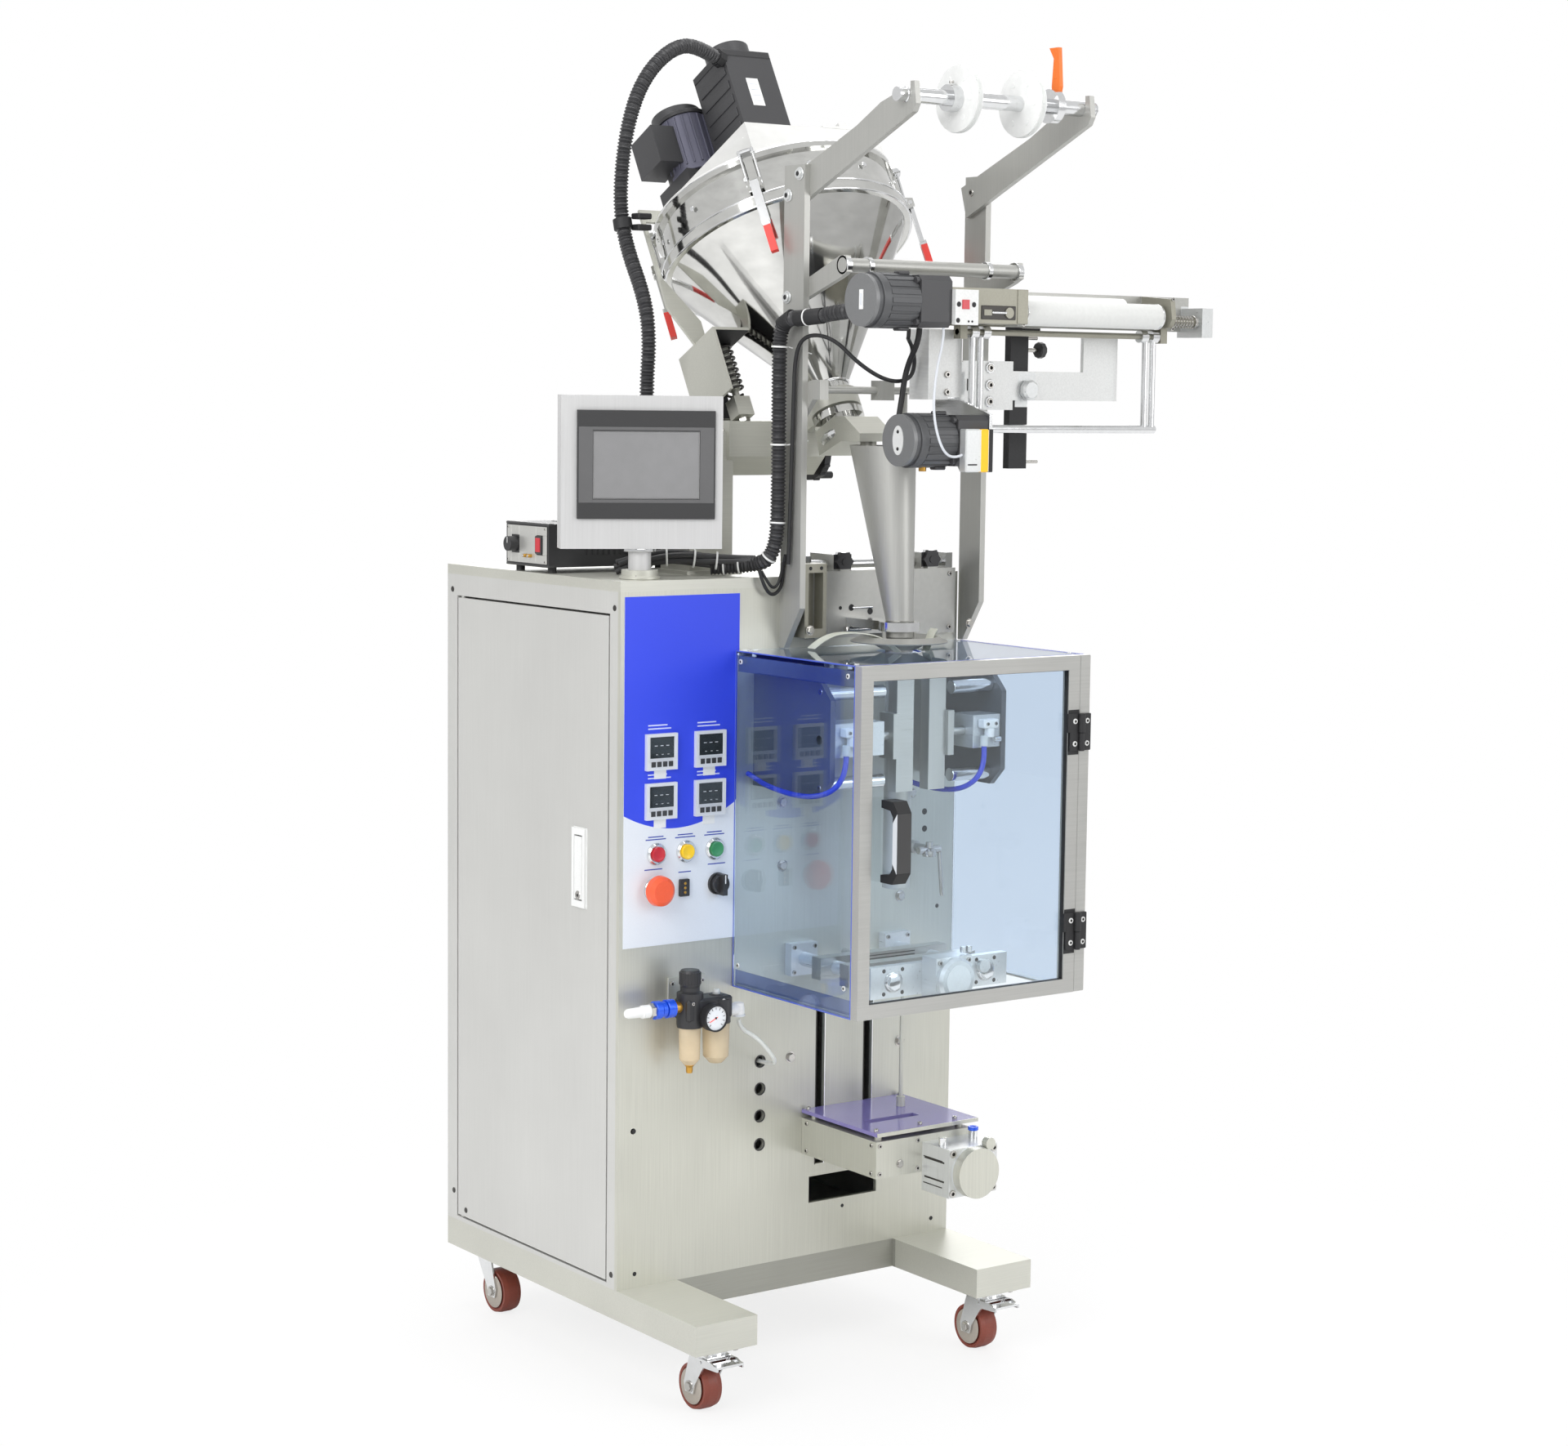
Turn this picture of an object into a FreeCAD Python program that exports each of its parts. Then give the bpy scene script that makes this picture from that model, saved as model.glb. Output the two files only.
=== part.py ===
import FreeCAD, Part
import Sketcher
import math
import os

# Vertical form, fill and seal machine for powder sachets, modelled in millimetres.
# X runs to the operator's right, Y to the back and Z up.  The origin lies on the floor,
# under the middle of the machine's outline.

doc = FreeCAD.newDocument("sachet_machine")
sheet = doc.addObject("Spreadsheet::Sheet", "Dims")

# Driving dimensions, one line each: name, value in mm or degrees, meaning.
dimensions = [
    ("origin_right", 396.9, "reference point, from the cabinet's left side"),
    ("origin_back", 71.5, "reference point, behind the cabinet's front"),
    ("cabinet_wide", 558.0, "cabinet width"),
    ("cabinet_deep", 450.0, "cabinet depth with its front plate"),
    ("cabinet_high", 925.5, "cabinet height without lid and legs"),
    ("sheet_thick", 2.0, "cabinet sheet"),
    ("side_frame_thick", 22.0, "folded frame round the side door"),
    ("front_thick", 6.0, "machined front plate"),
    ("lid_high", 13.5, "height of the folded lid"),
    ("leg_wide", 96.0, "leg tube width"),
    ("leg_high", 40.0, "leg tube height"),
    ("leg_overhang", 187.0, "legs in front of the cabinet"),
    ("leg_wall", 3.0, "leg tube wall"),
    ("beam_deep", 40.0, "cross beams between the legs"),
    ("wheel_radius", 31.5, "castor wheel radius"),
    ("tread_wide", 27.0, "castor tread width"),
    ("castor_high", 91.0, "floor to leg underside"),
    ("castor_plate", 60.0, "castor top plate side"),
    ("castor_plate_thick", 3.0, "castor top plate"),
    ("castor_trail", 22.0, "wheel centre behind the swivel"),
    ("castor_front_inset", 37.0, "front swivels behind the leg ends"),
    ("castor_rear_inset", 50.0, "rear swivels in front of the leg ends"),
    ("fork_thick", 2.5, "castor fork sheet"),
    ("fork_wide", 36.0, "castor fork outside width"),
    ("axle_radius", 4.0, "castor axle radius"),
    ("door_front", 28.0, "door edge from the cabinet front"),
    ("door_long", 392.0, "door width"),
    ("door_low", 9.0, "door edge above the cabinet bottom"),
    ("door_high", 884.0, "door height"),
    ("door_thick", 20.0, "door pan depth"),
    ("door_gap", 3.0, "gap round the door"),
    ("door_rim", 4.0, "door rim thickness"),
    ("door_pin_radius", 4.0, "door pivot pins"),
    ("door_pin_long", 15.0, "door pivot pin length"),
    ("pivot_inset", 6.0, "door pivot behind the face and edge"),
    ("running_fit", 0.09, "radial clearance of pivots"),
    ("lock_wide", 32.0, "flush lock width"),
    ("lock_tall", 106.0, "flush lock height"),
    ("lock_proud", 4.0, "flush lock in front of the door"),
    ("lock_from_front", 79.0, "lock edge from the cabinet front"),
    ("lock_low", 632.0, "lock bottom above the floor"),
    ("lever_wide", 18.0, "lock lever width"),
    ("lever_tall", 84.0, "lock lever length"),
    ("lever_thick", 3.0, "lock lever thickness"),
    ("panel_left", 5.9, "control panel edge"),
    ("panel_wide", 181.0, "control panel width"),
    ("panel_low", 589.0, "control panel bottom above the floor"),
    ("panel_high", 461.0, "control panel height"),
    ("panel_thick", 1.0, "control panel sheet"),
    ("meter_side", 48.0, "temperature controller bezel"),
    ("meter_left", 62.0, "left controllers' centre"),
    ("meter_pitch_across", 77.5, "controllers' pitch across"),
    ("meter_low", 781.0, "lower controllers' centre above the floor"),
    ("meter_pitch_up", 65.0, "controllers' pitch up"),
    ("meter_proud", 6.0, "controller bezel in front of the panel"),
    ("meter_body", 44.0, "controller body side"),
    ("meter_deep", 62.0, "controller body behind the panel"),
    ("button_radius", 10.0, "push button cap radius"),
    ("collar_radius", 14.0, "push button collar radius"),
    ("collar_proud", 3.5, "button collar in front of the panel"),
    ("sleeve_radius", 11.0, "button sleeve through the panel"),
    ("button_proud", 7.0, "button cap in front of the collar foot"),
    ("button_row", 711.0, "push button row above the floor"),
    ("button_left", 57.0, "red button's centre"),
    ("button_pitch", 46.5, "push button pitch"),
    ("stop_left", 53.5, "emergency stop's centre"),
    ("stop_row", 664.0, "emergency stop's height above the floor"),
    ("stop_radius", 20.5, "emergency stop mushroom radius"),
    ("stop_long", 16.0, "emergency stop mushroom depth"),
    ("stop_travel", 5.0, "emergency stop stroke"),
    ("switch_left", 154.0, "selector switch's centre"),
    ("switch_radius", 12.0, "selector knob radius"),
    ("contact_side", 30.0, "contact block side"),
    ("contact_deep", 34.0, "contact block depth"),
    ("button_fit", 0.1, "radial clearance of buttons"),
    ("post_left", 56.0, "screen post's centre from the left"),
    ("post_back", 42.0, "screen post's centre from the front"),
    ("post_radius", 15.0, "screen post radius"),
    ("post_socket_high", 12.0, "screen post socket height"),
    ("screen_low", 1110.0, "screen housing bottom above the floor"),
    ("screen_wide", 213.0, "screen housing width"),
    ("screen_high", 199.0, "screen housing height"),
    ("screen_deep", 34.0, "screen housing depth"),
    ("screen_turn", 24.0, "screen turned towards the left"),
    ("bezel_wide", 181.0, "screen bezel width"),
    ("bezel_high", 140.0, "screen bezel height"),
    ("bezel_thick", 4.0, "screen bezel thickness"),
    ("glass_wide", 139.0, "visible screen width"),
    ("glass_high", 87.0, "visible screen height"),
    ("feeder_left", 3.0, "feeder controller from the left side"),
    ("feeder_front", 183.0, "feeder controller from the front"),
    ("feeder_long", 200.0, "feeder controller length"),
    ("feeder_deep", 110.0, "feeder controller width"),
    ("feeder_high", 58.0, "feeder controller height"),
    ("feeder_feet", 8.0, "feeder controller feet"),
    ("dial_radius", 10.0, "feeder dial radius"),
    ("dial_long", 14.0, "feeder dial length"),
    ("reel_post_left", 253.0, "left reel post from the cabinet's left side"),
    ("reel_post_pitch", 307.0, "distance between the reel posts"),
    ("reel_post_thick", 9.0, "reel post thickness"),
    ("reel_post_deep", 45.0, "reel post depth"),
    ("reel_post_foot", 975.0, "reel post bottom above the floor"),
    ("reel_post_top", 1612.0, "reel post top above the floor"),
    ("arm_thick", 8.0, "reel arm thickness"),
    ("reel_forward", 244.0, "reel shaft in front of the cabinet"),
    ("reel_high", 1688.0, "reel shaft above the floor"),
    ("shaft_radius", 10.0, "reel shaft radius"),
    ("shaft_past", 14.0, "reel shaft beyond its arms"),
    ("shaft_end_radius", 9.0, "stepped end of the reel shaft"),
    ("shaft_end_long", 12.0, "length of the stepped end"),
    ("disc_radius", 42.0, "reel centring disc radius"),
    ("disc_thick", 10.0, "reel centring disc thickness"),
    ("disc_first", 349.0, "left disc from the cabinet's left side"),
    ("disc_pitch", 105.0, "distance between the discs"),
    ("spreader_forward", 117.0, "spreader tube in front of the cabinet"),
    ("spreader_up", 1480.0, "spreader tube above the floor"),
    ("spreader_radius", 9.5, "spreader tube radius"),
    ("hopper_across", 370.0, "hopper axis from the cabinet's left side"),
    ("hopper_back", 155.0, "hopper rim centre behind the front"),
    ("hopper_up", 1510.0, "hopper rim centre above the floor"),
    ("hopper_tilt", 28.5, "hopper lean towards the back"),
    ("rim_radius", 177.0, "hopper rim flange radius"),
    ("bowl_radius", 168.0, "hopper cone radius at the rim"),
    ("band_high", 70.0, "hopper upper band height"),
    ("bowl_wall", 2.0, "hopper sheet"),
    ("cone_long", 212.0, "hopper cone length"),
    ("auger_tube_radius", 26.0, "auger tube outside radius"),
    ("auger_tube_long", 88.0, "auger tube below the cone"),
    ("auger_radius", 20.0, "auger flight radius"),
    ("auger_core", 9.0, "auger shaft radius"),
    ("platform_side", 224.0, "motor platform width"),
    ("platform_deep", 236.0, "motor platform depth"),
    ("platform_high", 47.0, "motor platform height"),
    ("servo_side", 80.0, "servo motor side"),
    ("servo_long", 178.0, "servo motor length"),
    ("mixer_motor_radius", 36.0, "agitator motor radius"),
    ("mixer_motor_long", 150.0, "agitator motor length"),
    ("mixer_back", 84.0, "agitator shaft behind the hopper axis"),
    ("mixer_left", 46.0, "agitator shaft left of the hopper axis"),
    ("tube_across", 372.0, "forming tube's centre from the left"),
    ("tube_forward", 108.0, "forming tube's centre in front of the cabinet"),
    ("tube_radius", 18.5, "forming tube outside radius"),
    ("tube_wall", 1.5, "forming tube wall"),
    ("tube_foot", 655.0, "forming tube bottom above the floor"),
    ("tube_top", 1015.0, "forming tube top above the floor"),
    ("funnel_high", 231.0, "funnel height above the forming tube"),
    ("funnel_half_wide", 38.0, "funnel mouth half width"),
    ("funnel_half_deep", 54.0, "funnel mouth half depth"),
    ("funnel_back", 42.0, "funnel mouth behind the tube's centre"),
    ("funnel_wall", 1.5, "funnel sheet"),
    ("guard_left", 181.0, "guard's left face"),
    ("guard_wide", 382.0, "guard width"),
    ("guard_deep", 264.0, "guard depth"),
    ("guard_low", 522.0, "guard bottom above the floor"),
    ("guard_high", 452.0, "guard height"),
    ("acrylic_thick", 6.0, "guard acrylic thickness"),
    ("door_bar", 19.0, "guard door frame bar"),
    ("door_frame_thick", 14.0, "guard door frame thickness"),
    ("guard_post", 18.0, "guard's right front post"),
    ("pane_thick", 4.0, "guard door pane"),
    ("hinge_side", 50.0, "guard hinge height"),
    ("hinge_leaf", 22.0, "guard hinge leaf width"),
    ("hinge_thick", 3.0, "guard hinge leaf thickness"),
    ("hinge_barrel", 5.0, "guard hinge barrel radius"),
    ("hinge_first", 58.0, "lower hinge above the guard bottom"),
    ("hinge_pitch", 267.0, "distance between the guard hinges"),
    ("handle_tall", 106.0, "guard handle height"),
    ("handle_proud", 34.0, "guard handle depth"),
    ("handle_wide", 22.0, "guard handle width"),
    ("seal_level", 550.0, "cross seal rods above the floor"),
    ("rod_half_pitch", 78.0, "cross seal rods from the tube's centre"),
    ("rod_radius", 9.5, "cross seal rod radius"),
    ("rod_long", 200.0, "cross seal rods in front of the plate"),
    ("jaw_wide", 210.0, "cross seal jaw width"),
    ("jaw_high", 30.0, "cross seal jaw height"),
    ("jaw_deep", 20.0, "cross seal jaw depth"),
    ("jaw_open", 42.0, "cross seal jaws' opening at rest"),
    ("seal_high", 150.0, "lengthwise seal jaw height"),
    ("seal_foot", 792.0, "lengthwise seal jaws' bottom above the floor"),
    ("seal_gap", 26.0, "lengthwise seal jaws' opening at rest"),
    ("seal_plane", 148.0, "lengthwise seal plane in front of the cabinet"),
    ("slot_wide", 14.0, "cutter slots' width"),
    ("slot_reach", 48.5, "left cutter slot's edge, left of the tube's centre"),
    ("slot_pitch", 82.0, "cutter slots' pitch"),
    ("slot_low", 258.0, "cutter slots' bottom above the floor"),
    ("slot_high", 222.0, "cutter slots' height"),
    ("cutter_reach", 72.0, "cutter box's left side, left of the tube's centre"),
    ("left_bracket_reach", 157.0, "left seal bracket, left of the tube's centre"),
    ("right_bracket_reach", 125.0, "right seal bracket, right of the tube's centre"),
    ("cutter_wide", 162.0, "cutter box width"),
    ("cutter_deep", 168.0, "cutter box depth"),
    ("cutter_low", 276.0, "cutter box bottom above the floor"),
    ("cutter_high", 50.0, "cutter box height"),
    ("slit_wide", 84.0, "sachet passage width"),
    ("slit_deep", 16.0, "sachet passage depth"),
    ("blade_thick", 3.0, "cutter blade thickness"),
    ("blade_travel", 22.0, "cutter blade stroke"),
    ("cylinder_side", 62.0, "cutter cylinder side"),
    ("cylinder_long", 58.0, "cutter cylinder length"),
    ("air_across", 86.0, "pressure regulator's centre"),
    ("air_up", 508.0, "pressure regulator's port level"),
    ("air_forward", 40.0, "pressure regulator in front of the cabinet"),
    ("bowl_small_radius", 14.5, "filter bowl radius"),
    ("bowl_large_radius", 17.5, "oiler bowl radius"),
    ("unit_forward", 200.0, "film roller axis in front of the cabinet"),
    ("unit_up", 1423.0, "film roller axis above the floor"),
    ("film_roller_radius", 17.0, "driven film roller radius"),
    ("film_roller_left", 493.0, "film roller's left end"),
    ("film_roller_long", 245.0, "film roller length"),
    ("pinch_radius", 12.0, "pressing roller radius"),
    ("film_motor_radius", 34.0, "film motor radius"),
    ("upper_motor_left", 230.0, "upper film motor's left end"),
    ("lower_motor_left", 294.0, "lower film motor's left end"),
    ("motor_up", 1433.0, "upper film motor's axis above the floor"),
    ("lower_motor_up", 1255.5, "lower film motor's axis above the floor"),
    ("film_motor_long", 72.0, "film motor body length"),
    ("gear_head_long", 50.0, "film motor gear head length"),
    ("gear_head_side", 66.0, "film motor gear head side"),
    ("dancer_forward", 165.0, "dancer pivot in front of the cabinet"),
    ("dancer_up", 1397.0, "dancer pivot above the floor"),
    ("dancer_long", 127.0, "dancer arm length"),
    ("dancer_left", 442.0, "dancer's left arm"),
    ("dancer_wide", 321.0, "dancer width"),
    ("dancer_rod", 4.5, "dancer rod radius"),
    ("touch_gap", 0.3, "gap between pieces that move past each other"),
]

for row, (name, value, meaning) in enumerate(dimensions, start=1):
    sheet.set("A%d" % row, name)
    sheet.set("B%d" % row, str(value))
    sheet.set("C%d" % row, meaning)
    sheet.setAlias("B%d" % row, name)
doc.recompute()


class Size(float):
    """A number that remembers the sheet expression that it is worked out from."""

    def __new__(cls, value, text):
        size = super().__new__(cls, value)
        size.text = text
        return size

    def __add__(self, other):
        return Size(float(self) + float(other), "(%s + %s)" % (self.text, text_of(other)))

    def __radd__(self, other):
        return Size(float(other) + float(self), "(%s + %s)" % (text_of(other), self.text))

    def __sub__(self, other):
        return Size(float(self) - float(other), "(%s - %s)" % (self.text, text_of(other)))

    def __rsub__(self, other):
        return Size(float(other) - float(self), "(%s - %s)" % (text_of(other), self.text))

    def __mul__(self, other):
        return Size(float(self) * float(other), "(%s * %s)" % (self.text, text_of(other)))

    def __rmul__(self, other):
        return Size(float(other) * float(self), "(%s * %s)" % (text_of(other), self.text))

    def __truediv__(self, other):
        return Size(float(self) / float(other), "(%s / %s)" % (self.text, text_of(other)))

    def __neg__(self):
        return Size(-float(self), "(0 - %s)" % self.text)


def text_of(value):
    return value.text if isinstance(value, Size) else repr(float(value))


def sine(angle):
    return Size(math.sin(math.radians(angle)), "sin(%s)" % text_of(angle))


def cosine(angle):
    return Size(math.cos(math.radians(angle)), "cos(%s)" % text_of(angle))


class Dimensions:
    """Gives each sheet value by its alias."""

    def __getattr__(self, name):
        return Size(sheet.get(name), "Dims." + name)


d = Dimensions()


# Helpers: each makes one object whose sizes are bound to the sheet.

TURNS = {
    "x": FreeCAD.Rotation(FreeCAD.Vector(0, 1, 0), 90),
    "y": FreeCAD.Rotation(FreeCAD.Vector(-1, 0, 0), 90),
    "z": FreeCAD.Rotation(),
}
PLANES = {
    "xy": ("XY_Plane", "z"),
    "xz": ("XZ_Plane", "y"),
    "yz": ("YZ_Plane", "x"),
}


def bind(item, prop, value):
    if isinstance(value, Size):
        item.setExpression(prop, value.text)
    else:
        setattr(item, prop, value)


def place(item, x, y, z, turn=None):
    if turn is None:
        turn = FreeCAD.Rotation()
    item.Placement = FreeCAD.Placement(FreeCAD.Vector(float(x), float(y), float(z)), turn)
    for letter, value in zip("xyz", (x, y, z)):
        if isinstance(value, Size):
            item.setExpression(".Placement.Base." + letter, value.text)
    return item


def block(wide, deep, high, x=0, y=0, z=0):
    item = doc.addObject("Part::Box", "block")
    bind(item, "Length", wide)
    bind(item, "Width", deep)
    bind(item, "Height", high)
    return place(item, x, y, z)


def rod(radius, long, x=0, y=0, z=0, along="z"):
    item = doc.addObject("Part::Cylinder", "rod")
    bind(item, "Radius", radius)
    bind(item, "Height", long)
    return place(item, x, y, z, TURNS[along])


def cone(radius, far_radius, long, x=0, y=0, z=0, along="z"):
    item = doc.addObject("Part::Cone", "cone")
    bind(item, "Radius1", radius)
    bind(item, "Radius2", far_radius)
    bind(item, "Height", long)
    return place(item, x, y, z, TURNS[along])


def fuse(*pieces):
    item = doc.addObject("Part::MultiFuse", "fused")
    item.Shapes = list(pieces)
    item.Refine = True
    return item


def cut(base, *tools):
    item = doc.addObject("Part::Cut", "cut")
    item.Base = base
    item.Tool = tools[0] if len(tools) == 1 else fuse(*tools)
    return item


def ring(radius, bore, long, x=0, y=0, z=0, along="z"):
    """A round bush: a cylinder with a hole right through."""
    over = 1.0
    start = {"x": (x - over, y, z), "y": (x, y - over, z), "z": (x, y, z - over)}[along]
    return cut(rod(radius, long, x, y, z, along), rod(bore, long + 2 * over, *start, along))


def sketch_on(body, plane, name):
    role = PLANES[plane][0]
    sketch = body.newObject("Sketcher::SketchObject", name)
    origin_plane = [item for item in body.Origin.OriginFeatures if item.Role == role][0]
    sketch.AttachmentSupport = [(origin_plane, "")]
    sketch.MapMode = "FlatFace"
    return sketch


def pin_point(sketch, element, corner, value, direction):
    """Fixes one coordinate of a sketch point to a size, or to the axis where it is zero."""
    axis = -2 if direction == "DistanceX" else -1
    if float(value) == 0.0 and not isinstance(value, Size):
        sketch.addConstraint(Sketcher.Constraint("PointOnObject", element, corner, axis))
        return
    number = sketch.addConstraint(Sketcher.Constraint(direction, -1, 1, element, corner, float(value)))
    if isinstance(value, Size):
        sketch.setExpression("Constraints[%d]" % number, value.text)


def draw_outline(sketch, points):
    """A closed polygon whose corners sit at the given sizes."""
    corners = [FreeCAD.Vector(float(u), float(v), 0) for u, v in points]
    count = len(corners)
    for index in range(count):
        sketch.addGeometry(Part.LineSegment(corners[index], corners[(index + 1) % count]))
    for index in range(count):
        sketch.addConstraint(Sketcher.Constraint("Coincident", index, 2, (index + 1) % count, 1))
    for index, (u, v) in enumerate(points):
        pin_point(sketch, index, 1, u, "DistanceX")
        pin_point(sketch, index, 1, v, "DistanceY")


def draw_hole(sketch, radius, u, v):
    circle = Part.Circle(FreeCAD.Vector(float(u), float(v), 0), FreeCAD.Vector(0, 0, 1), float(radius))
    element = sketch.addGeometry(circle)
    number = sketch.addConstraint(Sketcher.Constraint("Radius", element, float(radius)))
    if isinstance(radius, Size):
        sketch.setExpression("Constraints[%d]" % number, radius.text)
    pin_point(sketch, element, 3, u, "DistanceX")
    pin_point(sketch, element, 3, v, "DistanceY")


def plate(plane, points, thick, x=0, y=0, z=0, holes=(), rounding=None):
    """A flat plate: an outline with holes, padded along the third axis."""
    body = doc.addObject("PartDesign::Body", "plate")
    sketch = sketch_on(body, plane, "outline")
    draw_outline(sketch, points)
    for radius, u, v in holes:
        draw_hole(sketch, radius, u, v)
    pad = body.newObject("PartDesign::Pad", "pad")
    pad.Profile = sketch
    bind(pad, "Length", thick)
    pad.Reversed = plane == "xz"
    sketch.Visibility = False
    if rounding is not None:
        doc.recompute([sketch, pad])
        normal = {"x": FreeCAD.Vector(1, 0, 0), "y": FreeCAD.Vector(0, 1, 0), "z": FreeCAD.Vector(0, 0, 1)}
        line = normal[PLANES[plane][1]]
        edges = []
        for number, edge in enumerate(pad.Shape.Edges, start=1):
            straight = isinstance(edge.Curve, Part.Line)
            if straight and abs(abs(edge.tangentAt(edge.FirstParameter).dot(line)) - 1) < 0.001:
                edges.append("Edge%d" % number)
        fillet = body.newObject("PartDesign::Fillet", "rounding")
        fillet.Base = (pad, edges)
        bind(fillet, "Radius", rounding)
        body.Tip = fillet
    return place(body, x, y, z)


def turned(points, x=0, y=0, z=0, along="z"):
    """A turned piece: an outline of radius and height, revolved about its own axis."""
    body = doc.addObject("PartDesign::Body", "turned")
    sketch = sketch_on(body, "xz", "profile")
    draw_outline(sketch, points)
    revolution = body.newObject("PartDesign::Revolution", "revolution")
    revolution.Profile = sketch
    revolution.ReferenceAxis = (sketch, ["V_Axis"])
    revolution.Angle = 360.0
    sketch.Visibility = False
    return place(body, x, y, z, TURNS[along])


def path_wire(points):
    """Straight runs joined by tangent arcs that are as large as the runs allow."""
    share = 0.45
    edges = []
    start = points[0]
    for index in range(1, len(points) - 1):
        corner = points[index]
        before = corner - points[index - 1]
        after = points[index + 1] - corner
        turn = before.getAngle(after)
        reach = share * min(before.Length, after.Length)
        radii.append(reach / math.tan(turn / 2))
        into = corner - before.normalize() * reach
        out = corner + after.normalize() * reach
        bisector = (into + out) * 0.5 - corner
        depth = radii[-1] / math.cos(turn / 2) - radii[-1]
        middle = corner + bisector.normalize() * depth
        edges.append(Part.LineSegment(start, into).toShape())
        edges.append(Part.Arc(into, middle, out).toShape())
        start = out
    edges.append(Part.LineSegment(start, points[-1]).toShape())
    return Part.Wire(edges)


radii = []


def section_area(radius, sides):
    return sides * float(radius) ** 2 * math.sin(2 * math.pi / sides) / 2


def tube_along(points, radius, sides):
    """A solid cord whose middle follows the points, with a section of flat sides."""
    sides = round(sides)
    places = [FreeCAD.Vector(*point) for point in points]
    wire = path_wire(places)
    facing = FreeCAD.Rotation(FreeCAD.Vector(0, 0, 1), places[1] - places[0])
    angles = [2 * math.pi * step / sides for step in range(sides + 1)]
    corners = [FreeCAD.Vector(radius * math.cos(angle), radius * math.sin(angle), 0) for angle in angles]
    section = Part.makePolygon([places[0] + facing.multVec(corner) for corner in corners])
    solid = wire.makePipeShell([section], True, False)
    expected = section_area(radius, sides) * wire.Length
    if abs(solid.Volume / expected - 1) > 0.02:
        raise ValueError("a cord's volume is off its section times its length")
    item = doc.addObject("Part::Feature", "cord")
    item.Shape = solid
    return item


def node(label, pieces, x=0, y=0, z=0, turn=None):
    """Joins the pieces of one sub-part and places them from the reference point."""
    item = doc.addObject("Part::Compound", label)
    item.Label = label
    item.Links = list(pieces)
    place(item, x - d.origin_right, y - d.origin_back, z, turn)
    nodes.append(item)
    return item


nodes = []

# Levels and places that several sub-parts share.
leg_top = d.castor_high + d.leg_high
cabinet_top = leg_top + d.cabinet_high
lid_top = cabinet_top + d.lid_high
leg_long = d.leg_overhang + d.cabinet_deep
guard_top = d.guard_low + d.guard_high
guard_right = d.guard_left + d.guard_wide


# Base frame: two closed leg tubes with cross beams and castor plates.
def leg(x):
    outer = block(d.leg_wide, leg_long, d.leg_high, x, -d.leg_overhang, d.castor_high)
    inner = block(
        d.leg_wide - 2 * d.leg_wall,
        leg_long,
        d.leg_high - 2 * d.leg_wall,
        x + d.leg_wall,
        d.leg_wall - d.leg_overhang,
        d.castor_high + d.leg_wall,
    )
    return cut(outer, inner)


def beam(y):
    long = d.cabinet_wide - 2 * d.leg_wide
    outer = block(long, d.beam_deep, d.leg_high, d.leg_wide, y, d.castor_high)
    inner = block(
        long,
        d.beam_deep - 2 * d.leg_wall,
        d.leg_high - 2 * d.leg_wall,
        d.leg_wide,
        y + d.leg_wall,
        d.castor_high + d.leg_wall,
    )
    return cut(outer, inner)


right_leg = d.cabinet_wide - d.leg_wide
castor_front = d.castor_front_inset - d.leg_overhang
castor_rear = d.cabinet_deep - d.castor_rear_inset
castor_left = d.leg_wide / 2
castor_right = d.cabinet_wide - d.leg_wide / 2


def castor_plate(x, y):
    half = d.castor_plate / 2
    low = d.castor_high - d.castor_plate_thick
    return block(d.castor_plate, d.castor_plate, d.castor_plate_thick, x - half, y - half, low)


node("base_frame", [fuse(
    leg(0),
    leg(right_leg),
    beam(0),
    beam(d.cabinet_deep - d.beam_deep),
    castor_plate(castor_left, castor_front),
    castor_plate(castor_right, castor_front),
    castor_plate(castor_left, castor_rear),
    castor_plate(castor_right, castor_rear),
)])


# Castors: a swivelling fork with its raceway, and a wheel on an axle.
fork_top = d.castor_high - d.castor_plate_thick - d.touch_gap
raceway_radius = 22.0
raceway_high = 8.0
fork_bridge = 3.0
hub_gap = 1.0
pedal_pin = 2.0
pedal_back = 8.0
pedal_level = fork_top - 16


def fork(label, x, y, trail):
    low = d.wheel_radius - 2 * d.axle_radius
    high = fork_top - raceway_high
    half = d.fork_wide / 2
    front = 20.0
    cheek = [
        (trail - 9, low),
        (trail + 9, low),
        (trail + 12, low + 12),
        (front, high),
        (-front, high),
        (trail - 12, low + 12),
    ]
    left = plate("yz", cheek, d.fork_thick, -half, 0, 0)
    right = plate("yz", cheek, d.fork_thick, half - d.fork_thick, 0, 0)
    bridge = block(d.fork_wide, 2 * front, fork_bridge, -half, -front, high - fork_bridge)
    race = rod(raceway_radius, raceway_high, 0, 0, high)
    axle = rod(d.axle_radius, d.fork_wide + 4, -half - 2, trail, d.wheel_radius, "x")
    pin = rod(pedal_pin, d.fork_wide + 8, -half - 4, -pedal_back, pedal_level, "x")
    pieces = [left, right, bridge, race, axle] + ([pin] if trail > 0 else [])
    node(label, [fuse(*pieces)], x, y, 0)


def wheel(label, x, y, trail):
    half = d.tread_wide / 2
    bore = d.axle_radius + d.running_fit
    hub_half = d.fork_wide / 2 - d.fork_thick - hub_gap
    profile = [
        (bore, -hub_half),
        (9, -hub_half),
        (10, 2 - half),
        (d.wheel_radius - 7, 2 - half),
        (d.wheel_radius - 5, -half),
        (d.wheel_radius - 1.5, -half),
        (d.wheel_radius, -half / 2),
        (d.wheel_radius, half / 2),
        (d.wheel_radius - 1.5, half),
        (d.wheel_radius - 5, half),
        (d.wheel_radius - 7, half - 2),
        (10, half - 2),
        (9, hub_half),
        (bore, hub_half),
    ]
    node(label, [turned(profile, 0, 0, 0, "x")], x, y + trail, d.wheel_radius)


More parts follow.
